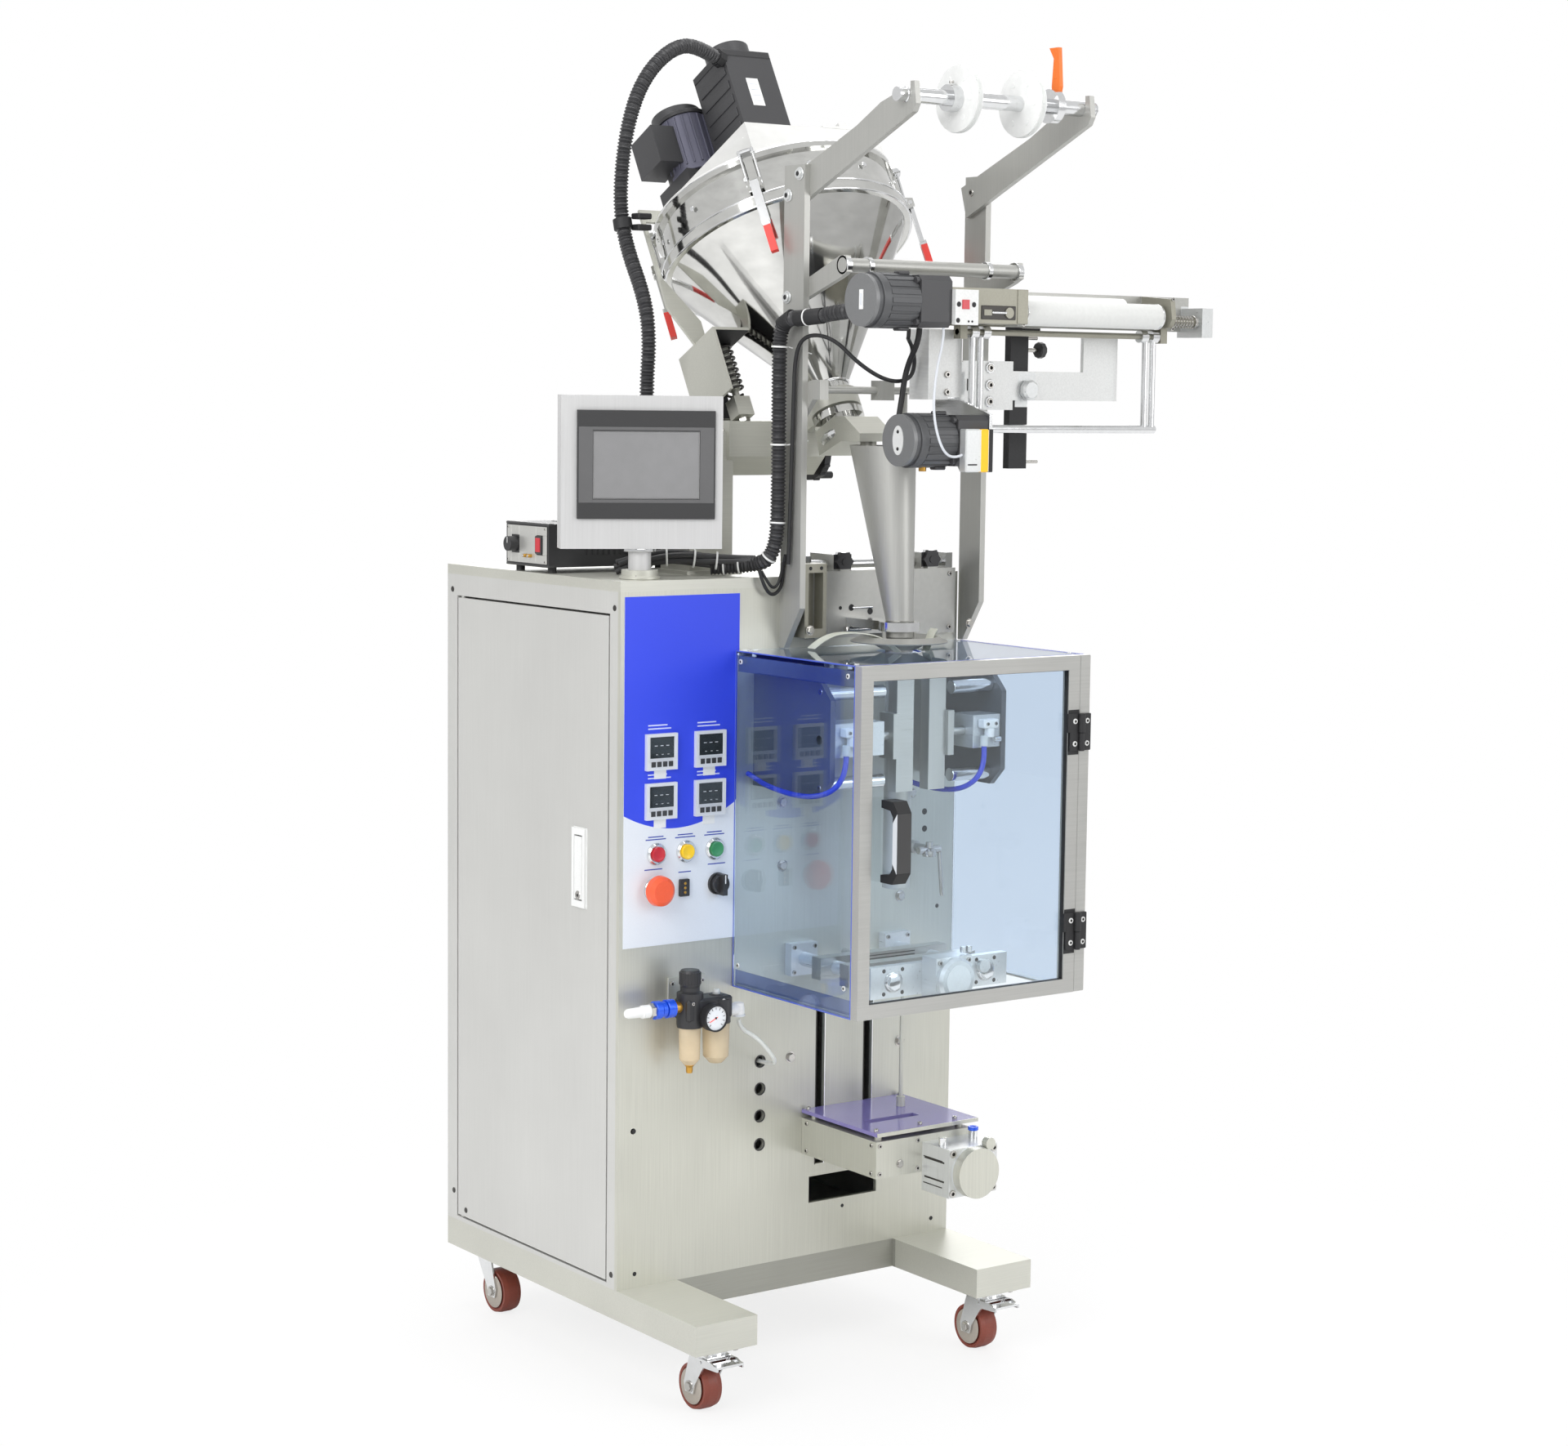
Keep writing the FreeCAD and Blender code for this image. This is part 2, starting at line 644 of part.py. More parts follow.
def pedal(label, x, y):
    """A brake pedal that hangs over the wheel on a pin through the fork."""
    half = d.fork_wide / 2
    bore = pedal_pin + d.running_fit
    ear = [(-pedal_back - 5, -5), (-pedal_back + 5, -5), (-pedal_back + 5, 5), (-30, 6), (-46, 1), (-46, -3)]
    tread = block(d.fork_wide + 6, 18, 3, -half - 3, -46, 0)
    left = plate("yz", ear, 2.5, -half - 3, 0, 0, [(bore, -pedal_back, 0)])
    right = plate("yz", ear, 2.5, half + 0.5, 0, 0, [(bore, -pedal_back, 0)])
    node(label, [fuse(tread, left, right)], x, y, pedal_level)


for side, castor_x in (("left", castor_left), ("right", castor_right)):
    for end, castor_y, trail in (
        ("front", castor_front, d.castor_trail),
        ("rear", castor_rear, -d.castor_trail),
    ):
        fork("castor_fork_%s_%s" % (side, end), castor_x, castor_y, trail)
        wheel("castor_wheel_%s_%s" % (side, end), castor_x, castor_y, trail)
    pedal("brake_pedal_%s" % side, castor_x, castor_front)


# Cabinet: a welded shell, open in front for the plate and on top for the lid.
door_level = leg_top + d.door_low
door_back = d.door_front + d.door_long
pivot_back = door_back - d.pivot_inset
shell = block(d.cabinet_wide, d.cabinet_deep - d.front_thick, d.cabinet_high, 0, d.front_thick, leg_top)
room = block(
    d.cabinet_wide - d.side_frame_thick - d.sheet_thick,
    d.cabinet_deep - d.front_thick,
    d.cabinet_high,
    d.side_frame_thick,
    d.front_thick - d.sheet_thick,
    leg_top + d.sheet_thick,
)
doorway = block(
    d.side_frame_thick + 2,
    d.door_long + 2 * d.door_gap,
    d.door_high + 2 * d.door_gap,
    -1,
    d.door_front - d.door_gap,
    door_level - d.door_gap,
)
upper_pin = rod(
    d.door_pin_radius,
    d.door_pin_long,
    d.pivot_inset,
    pivot_back,
    door_level + d.door_high + d.door_gap - d.door_pin_long,
)
lower_pin = rod(d.door_pin_radius, d.door_pin_long, d.pivot_inset, pivot_back, door_level - d.door_gap)

# Electrical panel inside the cabinet: a mounting plate, rails and their modules.
plate_left = d.cabinet_wide - d.sheet_thick - 8
panel_pieces = [block(8, 340, 640, plate_left, 60, leg_top + 90)]
for line, (rail_up, modules) in enumerate(((820.0, 5), (620.0, 4), (420.0, 4))):
    panel_pieces.append(block(7, 310, 35, plate_left - 7, 75, rail_up))
    for index in range(modules):
        wide = 44 + 8 * ((index + line) % 3)
        panel_pieces.append(block(62, wide, 86, plate_left - 69, 82 + index * 60, rail_up - 24))
node("cabinet_shell", [fuse(cut(shell, room, doorway), upper_pin, lower_pin), *panel_pieces])

lid = block(d.cabinet_wide, d.cabinet_deep, d.lid_high, 0, 0, cabinet_top)
lid_room = block(
    d.cabinet_wide - 2 * d.sheet_thick,
    d.cabinet_deep - 2 * d.sheet_thick,
    d.lid_high,
    d.sheet_thick,
    d.sheet_thick,
    cabinet_top - d.sheet_thick,
)
socket_radius = d.post_radius + 9
post_socket = ring(
    socket_radius, d.post_radius + d.running_fit, d.post_socket_high, d.post_left, d.post_back, lid_top
)
node("top_plate", [cut(lid, lid_room), post_socket])

# Front plate: holes for the controls, cable holes, cutter slots and the screw window.
meter_places = [
    (d.meter_left + column * d.meter_pitch_across, d.meter_low + line * d.meter_pitch_up)
    for line in (0, 1)
    for column in (0, 1)
]
button_places = [(d.button_left + index * d.button_pitch, d.button_row) for index in range(3)]
control_places = button_places + [(d.stop_left, d.stop_row), (d.switch_left, d.stop_row)]
meter_hole = d.meter_body + 1
window_low = 204.0
window_high = 37.0
cable_holes = [298.0, 337.5, 375.0, 413.0]
cable_hole_left = 229.0
cable_hole_radius = 7.5


def through_front(wide, high, x, z):
    return block(wide, d.front_thick + 2, high, x, -1, z)


def hole_in_front(radius, x, z):
    return rod(radius, d.front_thick + 2, x, -1, z, "y")


slot_first = d.tube_across - d.slot_reach
slot_places = [slot_first, slot_first + d.slot_pitch]
front_tools = [through_front(meter_hole, meter_hole, x - meter_hole / 2, z - meter_hole / 2)
               for x, z in meter_places]
front_tools += [hole_in_front(d.sleeve_radius + d.button_fit, x, z) for x, z in control_places]
front_tools += [through_front(d.slot_wide, d.slot_high, x, d.slot_low) for x in slot_places]
front_tools += [hole_in_front(cable_hole_radius, cable_hole_left, z) for z in cable_holes]
window_wide = d.slot_pitch + 35
front_tools.append(through_front(window_wide, window_high, slot_first - 10, window_low))
front_tools.append(hole_in_front(4, 24.3, 343.5))
front_tools.append(hole_in_front(5 + d.running_fit, d.tube_across, d.seal_level))
front_sheet = block(d.cabinet_wide, d.front_thick, d.cabinet_high, 0, 0, leg_top)
node("front_plate", [cut(front_sheet, *front_tools)])

# Side door: a folded pan with the housing of a flush lever lock.
pan = block(d.door_thick, d.door_long, d.door_high, 0, d.door_front, door_level)
pan_room = block(
    d.door_thick,
    d.door_long - 2 * d.door_rim,
    d.door_high - 2 * d.door_rim,
    d.sheet_thick,
    d.door_front + d.door_rim,
    door_level + d.door_rim,
)
lock_deep = 14.0
lever_pocket = 9.0
lever_side = (d.lock_wide - d.lever_wide) / 2 - 1
lever_low = d.lock_low + (d.lock_tall - d.lever_tall) / 2
lock_body = block(lock_deep + d.lock_proud, d.lock_wide, d.lock_tall, -d.lock_proud, d.lock_from_front, d.lock_low)
lock_pocket = block(
    lever_pocket + 1,
    d.lever_wide + 2,
    d.lever_tall + 4,
    -d.lock_proud - 1,
    d.lock_from_front + lever_side,
    lever_low - 2,
)
lever_pin_radius = 1.5
lever_pin_out = 2.2
lever_pin_up = lever_low + d.lever_tall - 5
pin_hole = rod(
    lever_pin_radius + d.running_fit,
    d.lock_wide - 4,
    -lever_pin_out,
    d.lock_from_front + 2,
    lever_pin_up,
    "y",
)
door_bore = d.door_pin_radius + d.running_fit
lower_hole = rod(door_bore, d.door_pin_long, d.pivot_inset, pivot_back, door_level - 1)
upper_hole = rod(
    door_bore, d.door_pin_long, d.pivot_inset, pivot_back, door_level + d.door_high + 1 - d.door_pin_long
)
door_pan = fuse(cut(pan, pan_room), lock_body)
node("cabinet_door", [cut(door_pan, lock_pocket, pin_hole, lower_hole, upper_hole)])

lever_bar = block(
    d.lever_thick, d.lever_wide, d.lever_tall, -d.lock_proud, d.lock_from_front + lever_side + 1, lever_low
)
lever_pin = rod(
    lever_pin_radius, d.lock_wide - 6, -lever_pin_out, d.lock_from_front + 3, lever_pin_up, "y"
)
node("door_lever", [fuse(lever_bar, lever_pin)])

# Control panel: the overlay sheet, temperature controllers and the sleeves of the controls.
overlay = block(d.panel_wide, d.panel_thick, d.panel_high, d.panel_left, -d.panel_thick, d.panel_low)
overlay_tools = [
    block(meter_hole, d.panel_thick + 2, meter_hole, x - meter_hole / 2, -d.panel_thick - 1, z - meter_hole / 2)
    for x, z in meter_places
]
overlay_tools += [
    rod(d.sleeve_radius + d.button_fit, d.panel_thick + 2, x, -d.panel_thick - 1, z, "y")
    for x, z in control_places
]


def meter(x, z):
    half = d.meter_side / 2
    body_half = d.meter_body / 2
    face = -d.panel_thick - d.meter_proud
    bezel = block(d.meter_side, d.meter_proud, d.meter_side, x - half, face, z - half)
    recess = block(d.meter_side - 8, 1, d.meter_side - 14, x - half + 4, face, z - half + 10)
    body = block(
        d.meter_body, d.meter_deep, d.meter_body, x - body_half, -d.panel_thick, z - body_half
    )
    return fuse(cut(bezel, recess), body)


collar_face = -d.panel_thick - d.collar_proud
stem_long = d.front_thick + 14
bore_long = d.front_thick + 20


def control_sleeve(x, z, flange):
    half = d.contact_side / 2
    collar = rod(flange, d.collar_proud, x, collar_face, z, "y")
    sleeve = rod(d.sleeve_radius, d.front_thick + d.panel_thick, x, -d.panel_thick, z, "y")
    contact = block(d.contact_side, d.contact_deep, d.contact_side, x - half, d.front_thick, z - half)
    bore = rod(d.button_radius + d.button_fit, bore_long - collar_face, x, collar_face - 1, z, "y")
    return cut(fuse(collar, sleeve, contact), bore)


socket_box = block(14, 5, 22, 93, -d.panel_thick - 5, d.stop_row - 12)
node("control_panel", [
    cut(overlay, *overlay_tools),
    *[meter(x, z) for x, z in meter_places],
    *[control_sleeve(x, z, d.collar_radius) for x, z in button_places],
    control_sleeve(d.stop_left, d.stop_row, d.collar_radius + 1),
    control_sleeve(d.switch_left, d.stop_row, d.collar_radius),
    socket_box,
])

for color, (x, z) in zip(("red", "yellow", "green"), button_places):
    face = collar_face - d.button_proud + d.collar_proud
    node("%s_button" % color, [rod(d.button_radius, stem_long - face, x, face, z, "y")])

mushroom_back = collar_face - d.stop_travel - d.touch_gap
mushroom = turned([
    (0, 0),
    (d.stop_radius - 6, 0),
    (d.stop_radius - 1, 4),
    (d.stop_radius, d.stop_long - 4),
    (d.stop_radius - 2, d.stop_long),
    (d.button_radius, d.stop_long),
    (d.button_radius, d.stop_long + stem_long - mushroom_back),
    (0, d.stop_long + stem_long - mushroom_back),
], d.stop_left, mushroom_back - d.stop_long, d.stop_row, "y")
node("emergency_stop", [mushroom])

knob_back = collar_face - d.touch_gap
knob_long = 9.0
grip_half = 3.5
selector = fuse(
    rod(d.switch_radius, knob_long, d.switch_left, knob_back - knob_long, d.stop_row, "y"),
    rod(d.button_radius, stem_long - knob_back, d.switch_left, knob_back, d.stop_row, "y"),
    block(
        2 * grip_half,
        knob_long + 8,
        2 * d.switch_radius + 4,
        d.switch_left - grip_half,
        knob_back - knob_long - 8,
        d.stop_row - d.switch_radius - 2,
    ),
)
node("selector_switch", [selector])

# Operator screen: a housing on a post that swivels in its socket.
post_foot = lid_top + d.touch_gap
housing_low = d.screen_low - post_foot
bezel_across = 5.0
bezel_raise = 29.5 + 10
housing = block(d.screen_wide, d.screen_deep, d.screen_high, -d.screen_wide / 2, -d.screen_deep / 2, housing_low)
post = rod(d.post_radius, housing_low + 6)
bezel = block(
    d.bezel_wide,
    d.bezel_thick,
    d.bezel_high,
    bezel_across - d.bezel_wide / 2,
    -d.screen_deep / 2 - d.bezel_thick,
    housing_low + bezel_raise,
)
glass_recess = block(
    d.glass_wide,
    d.bezel_thick / 2 + 1,
    d.glass_high,
    bezel_across - d.glass_wide / 2,
    -d.screen_deep / 2 - d.bezel_thick - 1,
    housing_low + bezel_raise + 26,
)
node(
    "screen_unit",
    [fuse(housing, post), cut(bezel, glass_recess)],
    d.post_left,
    d.post_back,
    post_foot,
    FreeCAD.Rotation(FreeCAD.Vector(0, 0, -1), float(d.screen_turn)),
)
nodes[-1].setExpression(".Placement.Rotation.Angle", d.screen_turn.text)

# Feeder controller on the lid, with its dial on the left face.
feeder_low = lid_top + d.feeder_feet
feeder_case = block(d.feeder_long, d.feeder_deep, d.feeder_high, d.feeder_left, d.feeder_front, feeder_low)
feeder_feet = [
    rod(6, d.feeder_feet, d.feeder_left + x, d.feeder_front + y, lid_top)
    for x in (14, d.feeder_long - 14)
    for y in (14, d.feeder_deep - 14)
]
dial_back = d.feeder_front + 0.77 * d.feeder_deep
dial_level = feeder_low + d.feeder_high / 2
rocker = block(3, 13, 21, d.feeder_left - 3, d.feeder_front + 16, dial_level - 10)
dial_bore = rod(3 + d.running_fit, 12, d.feeder_left - 1, dial_back, dial_level, "x")
node("feeder_controller", [cut(feeder_case, dial_bore), rocker, *feeder_feet])
dial = fuse(
    rod(d.dial_radius, d.dial_long, d.feeder_left - d.touch_gap - d.dial_long, dial_back, dial_level, "x"),
    rod(3, 10, d.feeder_left - d.touch_gap - 1, dial_back, dial_level, "x"),
)
node("controller_knob", [dial])

# Reel posts and arms: flat bars, with a fork at the tip of each arm for the reel shaft.
reel_post_right = d.reel_post_left + d.reel_post_pitch
arm_left = d.reel_post_left + d.reel_post_thick
arm_right = reel_post_right - d.arm_thick


def reel_post(x):
    profile = [
        (0, d.reel_post_foot),
        (0, d.reel_post_top),
        (-d.reel_post_deep, d.reel_post_top),
        (-d.reel_post_deep, lid_top - 40),
        (-10, d.reel_post_foot),
    ]
    return plate("yz", profile, d.reel_post_thick, x, 0, 0)


def reel_arm(x):
    reach = d.reel_forward
    up = d.reel_high
    seat = d.shaft_radius + d.running_fit
    profile = [
        (0, d.reel_post_top - 15),
        (-12, d.reel_post_top - 56),
        (-70, d.reel_post_top - 30),
        (-reach - 16, up - 22),
        (-reach - 22, up - 12),
        (-reach - 18, up + 16),
        (-reach - seat, up + 16),
        (-reach - seat, up),
        (-reach + seat, up),
        (-reach + seat, up + 6),
        (-reach + 50, up - 6),
        (-reach + 100, up - 32),
    ]
    arm = plate("yz", profile, d.arm_thick, x, 0, 0)
    seat_round = rod(seat, d.arm_thick + 2, x - 1, -reach, up, "x")
    return cut(arm, seat_round)


def spreader_link(x):
    y = -d.spreader_forward
    z = d.spreader_up
    profile = [
        (y - 11, z - 9),
        (y + 4, z - 16),
        (-10, z - 52),
        (-4, z - 30),
        (y + 6, z + 12),
        (y - 8, z + 12),
    ]
    return plate("yz", profile, d.arm_thick, x, 0, 0)


spreader = rod(
    d.spreader_radius, arm_right - arm_left, arm_left, -d.spreader_forward, d.spreader_up, "x"
)
node("reel_posts", [
    reel_post(d.reel_post_left),
    reel_post(reel_post_right),
    reel_arm(arm_left),
    reel_arm(arm_right),
    fuse(spreader_link(arm_left), spreader_link(arm_right), spreader),
])

# Film reel shaft with centring discs, collars and a clamp lever.
shaft_left = arm_left - d.shaft_past
shaft_long = arm_right + d.arm_thick + d.shaft_past - shaft_left
shaft_step = d.shaft_radius - d.shaft_end_radius
disc_bore = d.shaft_radius


def centring_disc(x):
    return ring(d.disc_radius, disc_bore, d.disc_thick, x - d.disc_thick / 2, -d.reel_forward, d.reel_high, "x")


def shaft_collar(x):
    return ring(17, disc_bore, 16, x, -d.reel_forward, d.reel_high, "x")


disc_second = d.disc_first + d.disc_pitch
lever_collar = disc_second + d.disc_thick / 2 + 38
lever_pin_high = d.reel_high + 18
lever_gap = d.touch_gap
node("film_reel_shaft", [
    turned([
        (0, 0),
        (d.shaft_end_radius, 0),
        (d.shaft_end_radius, d.shaft_end_long),
        (d.shaft_radius, d.shaft_end_long + shaft_step),
        (d.shaft_radius, shaft_long - d.shaft_end_long - shaft_step),
        (d.shaft_end_radius, shaft_long - d.shaft_end_long),
        (d.shaft_end_radius, shaft_long),
        (0, shaft_long),
    ], shaft_left, -d.reel_forward, d.reel_high, "x"),
    ring(22, disc_bore, 12, lever_collar, -d.reel_forward, d.reel_high, "x"),
    rod(2.5, 10, lever_collar + 12, -d.reel_forward, lever_pin_high, "x"),
    shaft_collar(d.disc_first - d.disc_thick / 2 - 16),
    centring_disc(d.disc_first),
    centring_disc(disc_second),
    shaft_collar(disc_second + d.disc_thick / 2),
])

lever_outline = [(-5, -5), (5, -5), (8, 8), (5, 44), (14, 58), (-4, 58), (-8, 8)]
node("reel_clamp_lever", [plate(
    "yz",
    lever_outline,
    6,
    lever_collar + 12 + lever_gap,
    -d.reel_forward,
    lever_pin_high,
    [(2.5 + d.running_fit, 0, 0)],
)])

# Hopper: everything below is drawn upright on the hopper's own axis and leans as one.
lean = FreeCAD.Rotation(FreeCAD.Vector(-1, 0, 0), float(d.hopper_tilt))


def leaning_node(label, pieces):
    item = node(label, pieces, d.hopper_across, d.hopper_back, d.hopper_up, lean)
    item.setExpression(".Placement.Rotation.Angle", d.hopper_tilt.text)
    return item


rim_thick = 8.0
tube_end = -d.cone_long - d.auger_tube_long
inner_tube = d.auger_tube_radius - d.bowl_wall
cone_shell = turned([
    (inner_tube, tube_end),
    (d.auger_tube_radius, tube_end),
    (d.auger_tube_radius, -d.cone_long - 2),
    (d.bowl_radius, -rim_thick),
    (d.rim_radius, -rim_thick),
    (d.rim_radius, 0),
    (d.bowl_radius - d.bowl_wall, 0),
    (inner_tube, -d.cone_long),
])
band_inner = d.bowl_radius - d.bowl_wall
band_shell = turned([
    (band_inner, 0),
    (d.rim_radius, 0),
    (d.rim_radius, rim_thick),
    (d.bowl_radius, rim_thick),
    (d.bowl_radius - 2, d.band_high - rim_thick),
    (d.bowl_radius + 4, d.band_high - rim_thick),
    (d.bowl_radius + 4, d.band_high),
    (band_inner - 2, d.band_high),
])
outlet_ring = ring(
    d.auger_tube_radius + 9, d.auger_tube_radius, 10, 0, 0, tube_end + 34
)
latch_angles = (("front_left", 225.0), ("rear_left", 145.0), ("front_right", 327.0), ("rear_right", 38.0))
latch_out = d.rim_radius + 6
latch_up = 20.0
latch_half = 6.0
latch_pin = 3.0


def latch_ears(angle):
    """Two ears with the pin's holes, and the strap that hooks over the lid."""
    ear = [
        (d.bowl_radius - 1, latch_up - 10),
        (latch_out + 5, latch_up - 6),
        (latch_out + 5, latch_up + 6),
        (d.bowl_radius - 1, latch_up + 12),
    ]
    hole = [(latch_pin + d.running_fit, latch_out, latch_up)]
    strap_low = latch_up + 12
    ears = fuse(
        plate("xz", ear, 4, 0, latch_half + d.touch_gap, 0, hole),
        plate("xz", ear, 4, 0, -latch_half - d.touch_gap - 4, 0, hole),
        block(3, 2 * latch_half, d.band_high + 5 - strap_low, d.bowl_radius + 4, -latch_half, strap_low),
        block(11, 2 * latch_half, 2, d.bowl_radius - 4, -latch_half, d.band_high + 3),
        block(6, 2 * latch_half + 8, 6, d.bowl_radius - 1, -latch_half - 4, strap_low - 3),
    )
    ears.Placement = FreeCAD.Placement(FreeCAD.Vector(0, 0, 0), FreeCAD.Rotation(angle, 0, 0))
    return ears


leaning_node("hopper_bowl", [
    cone_shell,
    band_shell,
    outlet_ring,
    *[latch_ears(angle) for name, angle in latch_angles],
])

lid_thick = 3.0
platform_foot = d.band_high + lid_thick
platform_top = platform_foot + d.platform_high
half_platform = d.platform_side / 2
lid_radius = d.bowl_radius + 4
hatch_wide = 92.0
hatch_deep = 66.0
hatch_left = half_platform - hatch_wide
hatch_front = -d.platform_deep / 2 - 8
hatch_pin = 1.5
hatch_pin_back = hatch_front + hatch_deep + 4
hatch_pin_up = platform_top + 4
shaft_hole = d.auger_core + 0.5
lid_disc = rod(lid_radius, lid_thick, 0, 0, d.band_high)
platform = block(
    d.platform_side, d.platform_deep, d.platform_high, -half_platform, -d.platform_deep / 2 - 8, platform_foot
)
platform_room = block(
    d.platform_side - 6,
    d.platform_deep - 6,
    d.platform_high,
    3 - half_platform,
    3 - d.platform_deep / 2 - 8,
    platform_foot - 3,
)
lid_shaft_hole = rod(shaft_hole, platform_top, 0, 0, 1)
mixer_shaft_hole = rod(8.5, platform_top, -d.mixer_left, d.mixer_back, 1)
hatch_hole = block(
    hatch_wide - 14,
    hatch_deep - 12,
    lid_thick + d.platform_high + 2,
    hatch_left + 5,
    hatch_front + 6,
    d.band_high - 1,
)
hatch_lug = 8.0
hatch_barrel = 40.0
hatch_lugs = [
    block(hatch_lug, 6, 7, hatch_left + x, hatch_pin_back - 3, platform_top)
    for x in (20 - hatch_lug - d.touch_gap, 20 + hatch_barrel + d.touch_gap)
]
hatch_rod = rod(hatch_pin, hatch_barrel + 2 * hatch_lug, hatch_left + 20 - hatch_lug, hatch_pin_back, hatch_pin_up, "x")
leaning_node("hopper_lid", [fuse(
    cut(fuse(lid_disc, cut(platform, platform_room)), lid_shaft_hole, mixer_shaft_hole, hatch_hole),
    hatch_rod,
    *hatch_lugs,
)])

hatch_up = platform_top + d.touch_gap
hatch_ear = rod(3.5, hatch_barrel, hatch_left + 20, hatch_pin_back, hatch_pin_up, "x")
hatch_web = block(hatch_barrel, 8, 3, hatch_left + 20, hatch_pin_back - 7, hatch_pin_up - 1)
hatch_bore = rod(hatch_pin + d.running_fit, hatch_barrel + 2, hatch_left + 19, hatch_pin_back, hatch_pin_up, "x")
leaning_node("lid_hatch", [cut(
    fuse(
        block(hatch_wide + 6, hatch_deep - 0.5, 4, hatch_left, hatch_front, hatch_up),
        block(14, 8, 12, hatch_left + 36, hatch_front + 8, hatch_up + 3),
        hatch_ear,
        hatch_web,
    ),
    hatch_bore,
)])

# Drives on the platform: a servo for the auger and a geared motor for the agitator.
servo_half = d.servo_side / 2
servo = fuse(
    block(d.servo_side + 20, d.servo_side + 20, 12, -servo_half - 10, -servo_half - 10, platform_top),
    block(d.servo_side, d.servo_side, d.servo_long - 12, -servo_half, -servo_half, platform_top + 12),
    rod(servo_half - 8, 22, 0, 0, platform_top + d.servo_long),
)
servo_bore = rod(shaft_hole, 30, 0, 0, platform_top - 1)
gear_side = 76.0
gear_high = 42.0
mixer = fuse(
    block(gear_side, gear_side, gear_high, -d.mixer_left - gear_side / 2, d.mixer_back - gear_side / 2 + 10,
          platform_top),
    rod(d.mixer_motor_radius, d.mixer_motor_long - gear_high, -d.mixer_left, d.mixer_back + 10,
        platform_top + gear_high),
    block(40, 56, 58, -d.mixer_left - d.mixer_motor_radius - 34, d.mixer_back - 18,
          platform_top + gear_high + 16),
)
mixer_bore = rod(8.5, 30, -d.mixer_left, d.mixer_back, platform_top - 1)
leaning_node("hopper_motors", [cut(servo, servo_bore), cut(mixer, mixer_bore)])

# Auger: a shaft with a screw flight, and a bent agitator rod that sweeps the bowl.
flight_pitch = 26.0
flight_turns = 9
flight_low = tube_end + 4
auger_shaft = rod(d.auger_core, platform_top + 20 - flight_low, 0, 0, flight_low)
flight_disc_high = 3.0
flight_discs = [
    rod(d.auger_radius, flight_disc_high, 0, 0, flight_low + flight_pitch * index)
    for index in range(flight_turns)
]
leaning_node("auger_screw", [fuse(auger_shaft, *flight_discs)])

mixer_low = -60.0
mixer_shaft = rod(8, platform_top + 20 - mixer_low, -d.mixer_left, d.mixer_back, mixer_low)
mixer_reach = 24.0
mixer_arm = block(
    2 * mixer_reach, 8, 8, -d.mixer_left - mixer_reach, d.mixer_back - 4, mixer_low - 6
)
mixer_blades = [
    block(5, 14, 40, -d.mixer_left + x, d.mixer_back - 7, mixer_low - 6)
    for x in (-mixer_reach, mixer_reach - 5)
]
leaning_node("agitator", [fuse(mixer_shaft, mixer_arm, *mixer_blades)])

# Toggle latches round the rim: a hook plate on the band and a lever with a red grip.
def latch(label, angle):
    """The lever hangs beside the cone from a pin between two ears on the band."""
    lever = fuse(
        block(5, 2 * latch_half, 66, latch_out - 2, -latch_half, -40),
        block(9, 2 * latch_half - 2, 44, latch_out - 3, 1 - latch_half, -82),
        rod(latch_pin, 22, latch_out, -11, latch_up, "y"),
    )
    lever.Placement = FreeCAD.Placement(FreeCAD.Vector(0, 0, 0), FreeCAD.Rotation(angle, 0, 0))
    leaning_node(label, [lever])


for latch_name, latch_angle in latch_angles:
    latch("latch_lever_" + latch_name, latch_angle)

# Hopper stand: a box column and beam, a leaning spring bracket and the saddle of the auger tube.
column_left = 167.0
column_front = 90.0
column_side = 70.0
beam_left = column_left + column_side - 10
beam_right = 388.0
beam_low = 1202.0
beam_high = 74.0
beam_front = column_front - 5
stand_wall = 3.0
column = block(column_side, column_side, 192, column_left, column_front, lid_top)
column_room = block(
    column_side - 2 * stand_wall,
    column_side - 2 * stand_wall,
    194,
    column_left + stand_wall,
    column_front + stand_wall,
    lid_top - 1,
)
beam_outline = [(0, 26), (26, 0), (80, 0), (80, beam_high), (0, beam_high)]
beam_room = [(3, 27), (27, 3), (77, 3), (77, beam_high - 3), (3, beam_high - 3)]
stand_beam = cut(
    plate("yz", beam_outline, beam_right - beam_left, beam_left, beam_front, beam_low),
    plate("yz", beam_room, beam_right - beam_left - 6, beam_left + 3, beam_front, beam_low),
)
wheel_level = beam_low + 28
wheel_back = beam_front + 42
stand_stub = rod(7, 22, beam_right - 2, wheel_back, wheel_level, "x")
stand_foot = block(column_side + 20, column_side + 20, 5, column_left - 10, column_front - 10, lid_top)

spring_left = -110.0
spring_back = 62.0
hood_high = -118.0
spring_bracket = fuse(
    rod(5, 112, spring_left, spring_back, -230),
    rod(8, 66, spring_left, spring_back, -186),
    block(60, 92, 4, -152, 16, hood_high),
    block(4, 92, 90, -152, 16, hood_high - 90),
    block(60, 4, 90, -152, 104, hood_high - 90),
    block(26, 22, 28, spring_left - 13, spring_back - 11, -228),
)
saddle = cut(
    fuse(rod(d.auger_tube_radius + 9, 24, 0, 0, -252), block(30, 62, 24, -15, 0, -252)),
    rod(d.auger_tube_radius, 26, 0, 0, -253),
)
side_bracket = [
    (-d.rim_radius - 4, -60),
    (-d.rim_radius - 4, platform_foot + 20),
    (-half_platform, platform_foot + 20),
    (-half_platform, platform_foot),
    (-d.rim_radius + 2, platform_foot + 1),
    (-d.rim_radius + 2, -14),
    (-132, -80),
    (-132, hood_high),
    (-152, hood_high),
]
chute_outline = [(36, 1230), (-13, 1251), (-54, 1251), (-54, 1262), (-20, 1284), (4, 1284), (46, 1262)]
